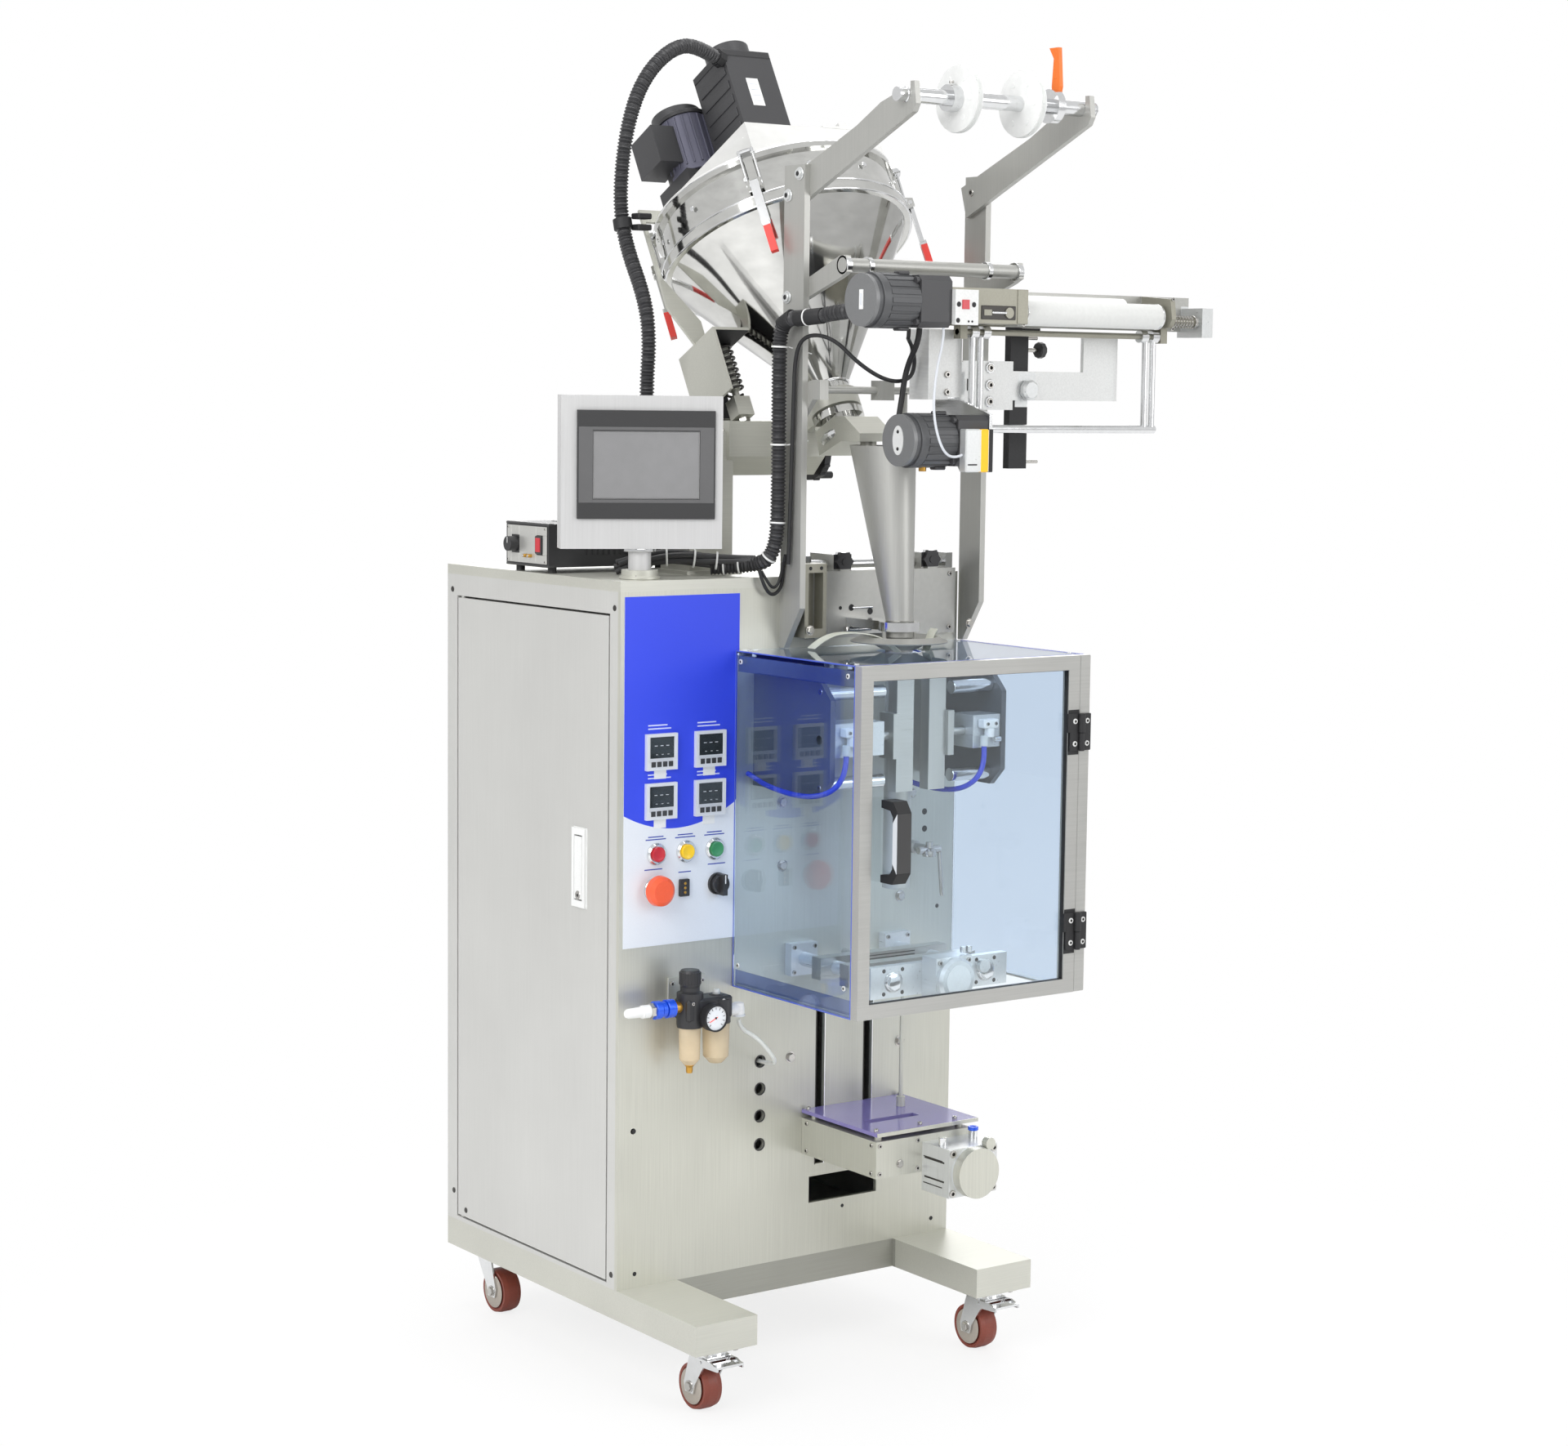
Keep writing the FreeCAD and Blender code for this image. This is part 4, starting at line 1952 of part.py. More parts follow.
# Cable hoses and air tubes that the machine holds from end to end.
hose_radius = 10.5
servo_hose = [
    (325, 262, 1775),
    (283, 254, 1792),
    (236, 246, 1784),
    (186, 240, 1740),
    (154, 232, 1672),
    (148, 240, 1580),
    (150, 228, 1515),
    (150, 178, 1440),
    (150, 165, 1385),
    (150, 172, 1320),
    (147, 165, 1200),
    (145, 165, 1070.3),
]
motor_hose = [
    (262, -165.8, 1422),
    (262, -130, 1421),
    (240, -75, 1412),
    (238, -16, 1412),
    (237, -14, 1350),
    (240, -12, 1200),
    (238, -12, 1096),
    (220, 30, 1082.8),
    (180, 60, 1080.8),
]
motor_cable = [
    (345, -175, 1399.7),
    (345, -175, 1384),
    (352, -140, 1350),
    (346, -138, 1305),
    (335, -142, 1262),
    (335, -165.9, 1262),
]
loop_cable = [
    (246.5, -27, 1088),
    (247, -30, 1180),
    (247.5, -33, 1300),
    (246, -38, 1372),
    (249, -62, 1392),
    (263, -100, 1386),
    (290, -120, 1352),
    (330, -130, 1330),
    (366, -130, 1333),
    (373, -132, 1354),
    (360, -142, 1376),
    (341, -156, 1387),
    (330, -172, 1388),
    (330, -172, 1399.7),
]
sensor_cable = [
    (345, -225, 1399.7),
    (345, -226, 1385),
    (322, -240, 1345),
    (312, -247, 1290),
    (326, -248, 1245),
    (350, -243, 1232),
    (367.2, -241, 1238),
]
seal_tube = [
    (229, 30, 413),
    (229, -20, 413),
    (215, -60, 425),
    (188, -52, 460),
    (164, -40, 474),
    (164, -40, 489.7),
]
cords = [
    ("servo hose", servo_hose, hose_radius, 12),
    ("motor hose", motor_hose, hose_radius, 12),
    ("motor cable", motor_cable, 4.0, 8),
    ("loop cable", loop_cable, 2.8, 6),
    ("sensor cable", sensor_cable, 1.8, 6),
    ("air tube", seal_tube, 3.0, 8),
]
cord_shapes = []
for title, points, radius, sides in cords:
    radii.clear()
    cord_shapes.append(tube_along(points, radius, sides))
    length = cord_shapes[-1].Shape.Volume / section_area(radius, sides)
    print("%s: %.0f mm long, turns at radii %s" % (title, length, ", ".join("%.0f" % value for value in radii)))
node("hoses", cord_shapes)

# Every object is worked out, checked and written.
doc.recompute()
for item in doc.Objects:
    if "Invalid" in item.State or "Error" in item.State:
        raise ValueError("%s (%s) did not compute: %s" % (item.Name, item.Label, item.State))
for item in nodes:
    if item.Shape.isNull() or not item.Shape.isValid():
        raise ValueError("%s has no valid shape" % item.Label)
os.makedirs("parts", exist_ok=True)
for item in nodes:
    item.Shape.exportStep("parts/%s.step" % item.Label)
print("%d sub-parts written" % len(nodes))
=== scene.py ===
import math

import bpy
from mathutils import Matrix, Vector


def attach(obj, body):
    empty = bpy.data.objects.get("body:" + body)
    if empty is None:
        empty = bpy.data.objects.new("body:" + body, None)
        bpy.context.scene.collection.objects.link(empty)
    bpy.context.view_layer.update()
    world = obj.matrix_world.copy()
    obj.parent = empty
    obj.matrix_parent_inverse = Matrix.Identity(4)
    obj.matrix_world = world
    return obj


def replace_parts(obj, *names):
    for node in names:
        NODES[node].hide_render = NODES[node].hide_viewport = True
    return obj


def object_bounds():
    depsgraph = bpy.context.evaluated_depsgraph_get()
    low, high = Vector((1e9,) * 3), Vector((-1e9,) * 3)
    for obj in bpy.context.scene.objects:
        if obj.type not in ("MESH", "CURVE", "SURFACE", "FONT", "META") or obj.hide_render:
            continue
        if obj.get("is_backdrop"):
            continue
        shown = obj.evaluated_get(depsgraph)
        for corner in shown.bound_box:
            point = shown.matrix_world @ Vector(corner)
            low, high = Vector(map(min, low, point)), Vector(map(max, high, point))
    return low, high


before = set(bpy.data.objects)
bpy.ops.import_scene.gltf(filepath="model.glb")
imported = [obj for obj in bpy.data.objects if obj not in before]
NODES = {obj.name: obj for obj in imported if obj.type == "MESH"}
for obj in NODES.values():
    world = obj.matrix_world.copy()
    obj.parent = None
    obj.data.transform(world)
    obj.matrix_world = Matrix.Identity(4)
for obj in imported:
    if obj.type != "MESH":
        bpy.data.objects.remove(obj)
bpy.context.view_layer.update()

# Measures below are millimetres from the cabinet's left front corner on the floor.
ORIGIN = Vector((396.9, 71.5, 0.0))
AXES = {"x": Vector((1, 0, 0)), "y": Vector((0, 1, 0)), "z": Vector((0, 0, 1))}


def at(x, y, z):
    return (Vector((x, y, z)) - ORIGIN) / 1000


# Camera at the photograph's angle.
YAW, PITCH, ROLL = math.radians(35.84), math.radians(6.197), math.radians(0.675)
forward = Vector((math.sin(YAW) * math.cos(PITCH), math.cos(YAW) * math.cos(PITCH), -math.sin(PITCH)))
level = Vector((math.cos(YAW), -math.sin(YAW), 0))
upward = level.cross(forward)
cam_right = level * math.cos(ROLL) + upward * math.sin(ROLL)
cam_up = upward * math.cos(ROLL) - level * math.sin(ROLL)
cam_data = bpy.data.cameras.new("camera")
cam_data.lens = 70.11
cam_data.sensor_width = 36
cam_data.sensor_fit = "HORIZONTAL"
cam_data.clip_end = 100
camera = bpy.data.objects.new("camera", cam_data)
bpy.context.scene.collection.objects.link(camera)
turn = Matrix((cam_right, cam_up, -forward)).transposed().to_4x4()
camera.matrix_world = Matrix.Translation((-2.5278, -3.3847, 1.3165)) @ turn
bpy.context.scene.camera = camera


# Materials: every look is a colour, roughness and metal value with grain, cloud and bump.
class Look:
    """Grain is one scale for all directions or three; cloud is how far the colour drifts."""

    def __init__(self, color, rough, metal, grain, bump, cloud, clear=0.0, coat=0.0, emit=0.0):
        self.color, self.rough, self.metal, self.bump, self.cloud = color, rough, metal, bump, cloud
        self.grain = grain if isinstance(grain, tuple) else (grain, grain, grain)
        self.clear, self.coat, self.emit = clear, coat, emit


def rgb(r, g, b):
    """Linear colour of the 0 to 255 screen values."""
    return tuple(
        v / 12.92 if v <= 0.04045 else ((v + 0.055) / 1.055) ** 2.4 for v in (r / 255, g / 255, b / 255)
    )


UP_BRUSH = (700, 700, 9)
ALONG_BRUSH = (9, 700, 700)
LOOKS = {
    "cabinet_steel": Look(rgb(203, 203, 200), 0.42, 0.35, UP_BRUSH, 0.03, 0.03),
    "front_steel": Look(rgb(196, 196, 186), 0.36, 0.55, UP_BRUSH, 0.03, 0.06),
    "frame_steel": Look(rgb(199, 199, 190), 0.38, 0.45, ALONG_BRUSH, 0.03, 0.05),
    "post_steel": Look(rgb(176, 176, 172), 0.38, 0.5, UP_BRUSH, 0.04, 0.05),
    "brushed_steel": Look(rgb(190, 190, 186), 0.3, 0.9, ALONG_BRUSH, 0.04, 0.05),
    "bright_steel": Look(rgb(222, 223, 224), 0.14, 1.0, 120, 0.015, 0.04),
    "mirror_steel": Look(rgb(205, 205, 202), 0.09, 1.0, (30, 30, 60), 0.03, 0.1),
    "screw_steel": Look(rgb(190, 188, 184), 0.22, 1.0, 500, 0.03, 0.08),
    "dark_steel": Look(rgb(70, 68, 66), 0.35, 0.8, 400, 0.04, 0.08),
    "aluminium": Look(rgb(178, 178, 175), 0.34, 0.6, (9, 500, 500), 0.04, 0.05),
    "anodised": Look(rgb(212, 214, 214), 0.3, 0.55, (300, 12, 300), 0.03, 0.04),
    "olive": Look(rgb(150, 148, 136), 0.4, 0.5, (400, 60, 400), 0.04, 0.06),
    "white_plate": Look(rgb(222, 223, 222), 0.35, 0.15, 260, 0.02, 0.03),
    "hopper_white": Look(rgb(232, 232, 230), 0.25, 0.25, (40, 40, 90), 0.03, 0.04),
    "panel_blue": Look(rgb(46, 70, 226), 0.4, 0.0, 900, 0.03, 0.02),
    "panel_white": Look(rgb(226, 231, 238), 0.42, 0.0, 900, 0.03, 0.02),
    "meter_grey": Look(rgb(214, 218, 224), 0.45, 0.0, 1100, 0.06, 0.03),
    "window_black": Look(rgb(34, 40, 42), 0.12, 0.0, 200, 0.0, 0.05, coat=0.6),
    "motor_grey": Look(rgb(84, 85, 87), 0.45, 0.25, 700, 0.12, 0.06),
    "motor_cap": Look(rgb(122, 123, 124), 0.4, 0.3, 600, 0.1, 0.05),
    "motor_black": Look(rgb(66, 66, 68), 0.4, 0.2, 700, 0.1, 0.06),
    "mixer_blue": Look(rgb(96, 96, 112), 0.4, 0.3, 700, 0.1, 0.06),
    "black_plastic": Look(rgb(44, 44, 46), 0.42, 0.0, 900, 0.12, 0.06),
    "soft_black": Look(rgb(30, 30, 32), 0.6, 0.0, 900, 0.15, 0.08),
    "hose_black": Look(rgb(58, 58, 60), 0.42, 0.0, 600, 0.06, 0.08),
    "grey_screen": Look(rgb(134, 134, 135), 0.25, 0.0, 60, 0.0, 0.03, coat=0.5),
    "screen_edge": Look(rgb(94, 94, 95), 0.3, 0.0, 60, 0.0, 0.03, coat=0.4),
    "bezel_black": Look(rgb(52, 52, 53), 0.35, 0.0, 700, 0.04, 0.04, coat=0.2),
    "housing_grey": Look(rgb(200, 200, 200), 0.42, 0.2, UP_BRUSH, 0.04, 0.04),
    "silver_face": Look(rgb(206, 206, 202), 0.32, 0.6, (12, 600, 600), 0.03, 0.04),
    "white_plastic": Look(rgb(236, 237, 236), 0.38, 0.0, 600, 0.05, 0.03),
    "clear_white": Look(rgb(238, 240, 238), 0.3, 0.0, 300, 0.03, 0.03, clear=0.35),
    "milky_film": Look(rgb(226, 228, 214), 0.35, 0.0, 60, 0.05, 0.06, clear=0.2),
    "red": Look(rgb(196, 22, 42), 0.3, 0.0, 900, 0.04, 0.04, coat=0.4),
    "red_grip": Look(rgb(232, 62, 54), 0.35, 0.0, 900, 0.05, 0.05, coat=0.2),
    "yellow": Look(rgb(250, 205, 16), 0.3, 0.0, 900, 0.04, 0.04, coat=0.4),
    "sensor_yellow": Look(rgb(252, 196, 20), 0.35, 0.0, 900, 0.05, 0.05),
    "green": Look(rgb(46, 138, 84), 0.3, 0.0, 900, 0.04, 0.04, coat=0.4),
    "stop_orange": Look(rgb(238, 92, 52), 0.34, 0.0, 900, 0.05, 0.05, coat=0.2),
    "orange": Look(rgb(240, 120, 40), 0.35, 0.0, 900, 0.05, 0.05),
    "label_blue": Look(rgb(52, 70, 170), 0.45, 0.0, 900, 0.02, 0.03),
    "label_pale": Look(rgb(214, 220, 250), 0.45, 0.0, 900, 0.02, 0.03),
    "tube_blue": Look(rgb(66, 84, 214), 0.25, 0.0, 200, 0.02, 0.05, clear=0.25),
    "coupler_blue": Look(rgb(30, 88, 226), 0.25, 0.3, 500, 0.04, 0.05, coat=0.4),
    "roller_white": Look(rgb(216, 217, 215), 0.4, 0.0, 200, 0.03, 0.03),
    "violet": Look(rgb(128, 120, 176), 0.12, 0.0, 40, 0.0, 0.02, clear=0.6),
    "amber": Look(rgb(238, 220, 188), 0.18, 0.0, 60, 0.02, 0.05, clear=0.45),
    # Side and top panes are tinted darker than the door pane, standing in for the shade inside the guard: painted
    # shade.
    "shade_tinted_acrylic": Look((0.65, 0.74, 0.87), 0.015, 0.0, 30, 0.0, 0.0, clear=1.0),
    "door_acrylic": Look((0.89, 0.955, 1.0), 0.015, 0.0, 30, 0.0, 0.0, clear=1.0),
    # Blue bands on the left pane: a painted reflection of the blue panel.
    "blue_reflection_band": Look((0.36, 0.42, 0.72), 0.05, 0.0, 30, 0.0, 0.0, clear=1.0),
    "bracket_grey": Look(rgb(112, 114, 116), 0.4, 0.5, UP_BRUSH, 0.03, 0.05),
    # Darker copy of frame_steel for the base beam under the cabinet: painted shade.
    "shaded_beam_steel": Look(rgb(158, 158, 150), 0.4, 0.4, ALONG_BRUSH, 0.03, 0.05),
    "shade_tinted_acrylic_edge": Look(rgb(96, 120, 226), 0.12, 0.0, 60, 0.0, 0.03, clear=0.3, coat=0.4),
    "wheel": Look(rgb(128, 60, 46), 0.42, 0.0, 500, 0.08, 0.1),
    "hub": Look(rgb(178, 170, 160), 0.4, 0.4, 500, 0.08, 0.08),
    "brass": Look(rgb(196, 150, 70), 0.3, 0.9, 500, 0.03, 0.06),
    # The gauge needle glows a little: painted light, though it is no lamp.
    "glowing_needle_red": Look(rgb(255, 70, 50), 0.3, 0.0, 500, 0.0, 0.02, emit=0.5),
    "gauge_face": Look(rgb(240, 242, 244), 0.3, 0.0, 500, 0.0, 0.02, coat=0.5),
}
made = {}


def feed(tree, socket, value):
    """Links a socket to another one, or sets its plain value."""
    if isinstance(value, bpy.types.NodeSocket):
        tree.links.new(value, socket)
    else:
        socket.default_value = value


def nd(tree, kind, inputs=None, **settings):
    """A new node with its settings, and its inputs linked or set."""
    item = tree.nodes.new(kind)
    for key, value in settings.items():
        setattr(item, key, value)
    for key, value in (inputs or {}).items():
        feed(tree, item.inputs[key], value)
    return item


def zone_mask(tree, place, low, high):
    """1 inside the box between low and high, in the row frame, and 0 outside."""
    shift = nd(tree, "ShaderNodeVectorMath", {0: place, 1: (low + high) / 2}, operation="SUBTRACT")
    size = nd(tree, "ShaderNodeVectorMath", {0: shift.outputs[0]}, operation="ABSOLUTE")
    rest = nd(tree, "ShaderNodeVectorMath", {0: size.outputs[0], 1: (high - low) / 2}, operation="SUBTRACT")
    parts = nd(tree, "ShaderNodeSeparateXYZ", {0: rest.outputs[0]}).outputs
    first = nd(tree, "ShaderNodeMath", {0: parts[0], 1: parts[1]}, operation="MAXIMUM")
    second = nd(tree, "ShaderNodeMath", {0: first.outputs[0], 1: parts[2]}, operation="MAXIMUM")
    return nd(tree, "ShaderNodeMath", {0: second.outputs[0], 1: 0}, operation="LESS_THAN").outputs[0]


def ball_mask(tree, place, centre, radius):
    """1 within the radius of the centre, in the row frame, and 0 outside."""
    far = nd(tree, "ShaderNodeVectorMath", {0: place, 1: centre}, operation="DISTANCE")
    return nd(tree, "ShaderNodeMath", {0: far.outputs["Value"], 1: radius}, operation="LESS_THAN").outputs[0]


def material(look_name, zones=(), tag=""):
    """The procedural material of a look, with (low, high, look) box or (centre, radius, look) ball zones."""
    key = look_name + tag
    if key in made:
        return made[key]
    look = LOOKS[look_name]
    mat = bpy.data.materials.new(key)
    made[key] = mat
    mat.use_nodes = True
    tree = mat.node_tree
    shader = tree.nodes["Principled BSDF"]
    place = nd(tree, "ShaderNodeTexCoord").outputs["Object"]
    scaled = nd(tree, "ShaderNodeMapping", {"Vector": place, "Scale": look.grain}).outputs[0]
    grain = nd(tree, "ShaderNodeTexNoise", {"Vector": scaled, "Scale": 1.0, "Detail": 3.0}).outputs["Fac"]
    cloud = nd(tree, "ShaderNodeTexNoise", {"Vector": place, "Scale": 5.0, "Detail": 2.0}).outputs["Fac"]
    shades = {}
    for index, (source, least, most) in enumerate(((cloud, 0.3, 0.7), (grain, 0.25, 0.75))):
        shades[index] = nd(tree, "ShaderNodeMapRange", {
            "Value": source, "From Min": least, "From Max": most,
            "To Min": 1 - look.cloud, "To Max": 1 + look.cloud,
        }).outputs[0]
    shade = nd(tree, "ShaderNodeMath", shades, operation="MULTIPLY").outputs[0]
    base = nd(tree, "ShaderNodeRGB").outputs[0]
    base.default_value = (*look.color, 1)
    finish = {"rough": look.rough, "metal": look.metal}
    for low, high, other in zones:
        spot = LOOKS[other]
        if isinstance(high, (int, float)):
            mask = ball_mask(tree, place, at(*low), high / 1000)
        else:
            mask = zone_mask(tree, place, at(*low), at(*high))
        base = nd(tree, "ShaderNodeMix", {0: mask, 6: base, 7: (*spot.color, 1)}, data_type="RGBA").outputs[2]
        for kind in finish:
            inputs = {0: mask, 2: finish[kind], 3: getattr(spot, kind)}
            finish[kind] = nd(tree, "ShaderNodeMix", inputs).outputs[0]
    tint = nd(tree, "ShaderNodeVectorMath", {0: base, "Scale": shade}, operation="SCALE")
    spread = nd(tree, "ShaderNodeMapRange", {"Value": grain, "To Min": 0.8, "To Max": 1.2})
    wear = nd(tree, "ShaderNodeMath", {0: spread.outputs[0], 1: finish["rough"]}, operation="MULTIPLY")
    feed(tree, shader.inputs["Base Color"], tint.outputs[0])
    feed(tree, shader.inputs["Metallic"], finish["metal"])
    feed(tree, shader.inputs["Roughness"], wear.outputs[0])
    if look.bump:
        bump = nd(tree, "ShaderNodeBump", {"Strength": look.bump, "Distance": 0.0006, "Height": grain})
        feed(tree, shader.inputs["Normal"], bump.outputs[0])
    shader.inputs["Coat Weight"].default_value = look.coat
    if look.emit:
        shader.inputs["Emission Color"].default_value = (*look.color, 1)
        shader.inputs["Emission Strength"].default_value = look.emit
    if look.clear:
        shader.inputs["Transmission Weight"].default_value = look.clear
        shader.inputs["IOR"].default_value = 1.45
        see = nd(tree, "ShaderNodeBsdfTransparent", {"Color": (*look.color, 1)})
        shadow = nd(tree, "ShaderNodeLightPath").outputs["Is Shadow Ray"]
        part = nd(tree, "ShaderNodeMath", {0: shadow, 1: look.clear}, operation="MULTIPLY")
        mixed = nd(tree, "ShaderNodeMixShader", {0: part.outputs[0], 1: shader.outputs[0], 2: see.outputs[0]})
        feed(tree, tree.nodes["Material Output"].inputs["Surface"], mixed.outputs[0])
    return mat


def dress(node, look_name, zones=()):
    """Gives a CAD node its material, with other looks in zones."""
    item = NODES[node]
    mat = material(look_name, zones, "_" + node if zones else "")
    item.data.materials.clear()
    item.data.materials.append(mat)


# Pieces: closed forms gathered into one mesh, in millimetres, then placed in the row frame.
class Piece:
    def __init__(self, name, body, look, slot, frame_matrix=None):
        self.name, self.body, self.slot = name, body, slot
        self.palette = [look]
        self.verts, self.faces, self.marks = [], [], []
        self.frame = frame_matrix

    def add(self, verts, faces, look=None):
        look = look or self.palette[0]
        if look not in self.palette:
            self.palette.append(look)
        base = len(self.verts)
        self.verts += [self.frame @ Vector(v) if self.frame else Vector(v) for v in verts]
        self.faces += [tuple(base + i for i in face) for face in faces]
        self.marks += [self.palette.index(look)] * len(faces)

    def box(self, low, high, look=None, chamfer=0.6, turned=None):
        low, high = Vector(low), Vector(high)
        size = high - low
        c = min(chamfer, 0.45 * min(size))
        middle = (low + high) / 2
        verts, index = [], {}
        signs = [(i, j, k) for i in (0, 1) for j in (0, 1) for k in (0, 1)]
        for s in signs:
            for axis in range(3):
                v = [high[n] if s[n] else low[n] for n in range(3)]
                for n in range(3):
                    if n != axis:
                        v[n] += -c if s[n] else c
                index[s, axis] = len(verts)
                verts.append(Vector(v))
        faces = []
        for axis in range(3):
            b, e = (axis + 1) % 3, (axis + 2) % 3
            for side in (0, 1):
                loop = []
                for p, q in ((0, 0), (1, 0), (1, 1), (0, 1)):
                    s = [0, 0, 0]
                    s[axis], s[b], s[e] = side, p, q
                    loop.append(index[tuple(s), axis])
                faces.append(loop)
            for p in (0, 1):
                for q in (0, 1):
                    one, two = [0, 0, 0], [0, 0, 0]
                    one[b] = two[b] = p
                    one[e] = two[e] = q
                    two[axis] = 1
                    one, two = tuple(one), tuple(two)
                    faces.append([index[one, b], index[two, b], index[two, e], index[one, e]])
        faces += [[index[s, 0], index[s, 1], index[s, 2]] for s in signs]
        for face in faces:
            a, b, d = verts[face[0]], verts[face[1]], verts[face[2]]
            if (b - a).cross(d - a).dot((a + d) / 2 - middle) < 0:
                face.reverse()
        if turned:
            verts = [turned @ v for v in verts]
        self.add(verts, faces, look)

    def spun(self, outline, place, axis="z", look=None, sides=32, loop=False, phase=0.0):
        """Turns an outline of (radius, height) points round an axis through place."""
        way = AXES[axis] if isinstance(axis, str) else Vector(axis).normalized()
        turn = AXES["z"].rotation_difference(way).to_matrix()
        verts, rings = [], []
        for radius, height in outline:
            if radius <= 1e-6:
                rings.append([len(verts)])
                verts.append(Vector(place) + turn @ Vector((0, 0, height)))
                continue
            ring = []
            for i in range(sides):
                a = 2 * math.pi * i / sides + phase
                ring.append(len(verts))
                spot = Vector((radius * math.cos(a), radius * math.sin(a), height))
                verts.append(Vector(place) + turn @ spot)
            rings.append(ring)
        faces = []
        pairs = list(zip(rings, rings[1:]))
        if loop:
            pairs.append((rings[-1], rings[0]))
        for one, two in pairs:
            for i in range(sides):
                j = (i + 1) % sides
                if len(one) == 1 and len(two) == 1:
                    continue
                if len(one) == 1:
                    faces.append((one[0], two[j], two[i]))
                elif len(two) == 1:
                    faces.append((one[i], one[j], two[0]))
                else:
                    faces.append((one[i], one[j], two[j], two[i]))
        self.add(verts, faces, look)

    def rod(self, place, axis, radius, long, look=None, sides=28, edge=0.5):
        c = min(edge, 0.4 * radius, 0.4 * long)
        self.spun([(0, 0), (radius - c, 0), (radius, c), (radius, long - c), (radius - c, long), (0, long)],
                  place, axis, look, sides)

    def ring(self, place, axis, radius, bore, long, look=None, sides=32):
        c = min(0.5, 0.3 * (radius - bore), 0.3 * long)
        self.spun([(bore, 0), (radius - c, 0), (radius, c), (radius, long - c), (radius - c, long), (bore, long)],
                  place, axis, look, sides, loop=True)

    def screw(self, place, axis, radius=4.0, high=2.5, look="screw_steel"):
        """A socket head with a round recess."""
        way = AXES[axis.strip("-")] * (-1 if axis.startswith("-") else 1)
        self.spun([(0, 0), (radius, 0), (radius, high - 0.4), (radius - 0.5, high), (radius * 0.52, high)],
                  place, way, look, 20)
        self.spun([(radius * 0.52, high), (radius * 0.45, high * 0.35), (0, high * 0.35)], place, way,
                  "dark_steel", 6 if radius > 2.4 else 12)

    def bolt(self, place, axis, radius=6.0, high=4.0, look="screw_steel", washer=True):
        """A hexagon head on a washer."""
        way = AXES[axis.strip("-")] * (-1 if axis.startswith("-") else 1)
        if washer:
            self.spun([(0, 0), (radius * 1.35, 0), (radius * 1.35, 0.9), (0, 0.9)], place, way, look, 24)
        self.spun([(0, 0), (radius, 0), (radius, high - 0.6), (radius * 0.86, high), (0, high)], place, way,
                  look, 6, phase=0.3)

    def prism(self, outline, plane, start, thick, look=None):
        """A flat plate: outline points in plane xy, xz or yz, from start, thick along the third axis."""
        order = {"xy": (0, 1, 2), "xz": (0, 2, 1), "yz": (1, 2, 0)}[plane]
        verts = []
        for level_at in (start, start + thick):
            for p in outline:
                v = [0, 0, 0]
                v[order[0]], v[order[1]], v[order[2]] = p[0], p[1], level_at
                verts.append(v)
        count = len(outline)
        area = sum(
            outline[i][0] * outline[(i + 1) % count][1] - outline[(i + 1) % count][0] * outline[i][1]
            for i in range(count)
        )
        flip = (area < 0) != (plane == "xz")
        faces = [list(range(count))[::-1], list(range(count, 2 * count))]
        faces += [[i, (i + 1) % count, count + (i + 1) % count, count + i] for i in range(count)]
        if flip:
            faces = [face[::-1] for face in faces]
        self.add(verts, faces, look)

    def tube(self, points, radius, look=None, sides=12, swell=None):
        """A round tube along smooth points; swell gives the radius at a distance along it."""
        points = [Vector(p) for p in points]
        verts, faces, rings = [], [], []
        normal = None
        distance = 0.0
        for i, p in enumerate(points):
            before, after = points[max(i - 1, 0)], points[min(i + 1, len(points) - 1)]
            way = (after - before).normalized()
            if i:
                distance += (p - points[i - 1]).length
            if normal is None:
                normal = way.orthogonal().normalized()
            normal = (normal - way * normal.dot(way)).normalized()
            side = way.cross(normal)
            r = swell(distance) if swell else radius
            ring = []
            for n in range(sides):
                a = 2 * math.pi * n / sides
                ring.append(len(verts))
                verts.append(p + (normal * math.cos(a) + side * math.sin(a)) * r)
            rings.append(ring)
        for one, two in zip(rings, rings[1:]):
            for n in range(sides):
                m = (n + 1) % sides
                faces.append((one[n], one[m], two[m], two[n]))
        faces.append(rings[0][::-1])
        faces.append(rings[-1])
        self.add(verts, faces, look)

    def done(self, sharp=32):
        mesh = bpy.data.meshes.new(self.name)
        mesh.from_pydata([at(*v) for v in self.verts], [], self.faces)
        for look in self.palette:
            mesh.materials.append(material(look))
        mesh.polygons.foreach_set("material_index", self.marks)
        mesh.polygons.foreach_set("use_smooth", [True] * len(self.faces))
        mesh.set_sharp_from_angle(angle=math.radians(sharp))
        mesh.update()
        item = bpy.data.objects.new(self.name, mesh)
        bpy.context.scene.collection.objects.link(item)
        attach(item, self.body)
        return item


def around(count):
    """Equal angles once round."""
    return [2 * math.pi * k / count for k in range(count)]


def route(points, steps=16):
    """Points along the smooth spline that a route's points control."""
    curve = bpy.data.curves.new("route", "CURVE")
    curve.dimensions = "3D"
    curve.resolution_u = steps
    spline = curve.splines.new("NURBS")
    spline.points.add(len(points) - 1)
    for spot, p in zip(spline.points, points):
        spot.co = (*p, 1)
    spline.order_u = 3
    spline.use_endpoint_u = True
    holder = bpy.data.objects.new("route", curve)
    mesh = bpy.data.meshes.new_from_object(holder)
    line = [v.co.copy() for v in mesh.vertices]
    bpy.data.objects.remove(holder)
    bpy.data.curves.remove(curve)
    bpy.data.meshes.remove(mesh)
    return line


def even(line, step):
    """The same line with points a step apart."""
    out, left = [line[0]], step
    for a, b in zip(line, line[1:]):
        long = (b - a).length
        gone = 0.0
        while long - gone >= left:
            gone += left
            out.append(a.lerp(b, gone / long))
            left = step
        left -= long - gone
    return out


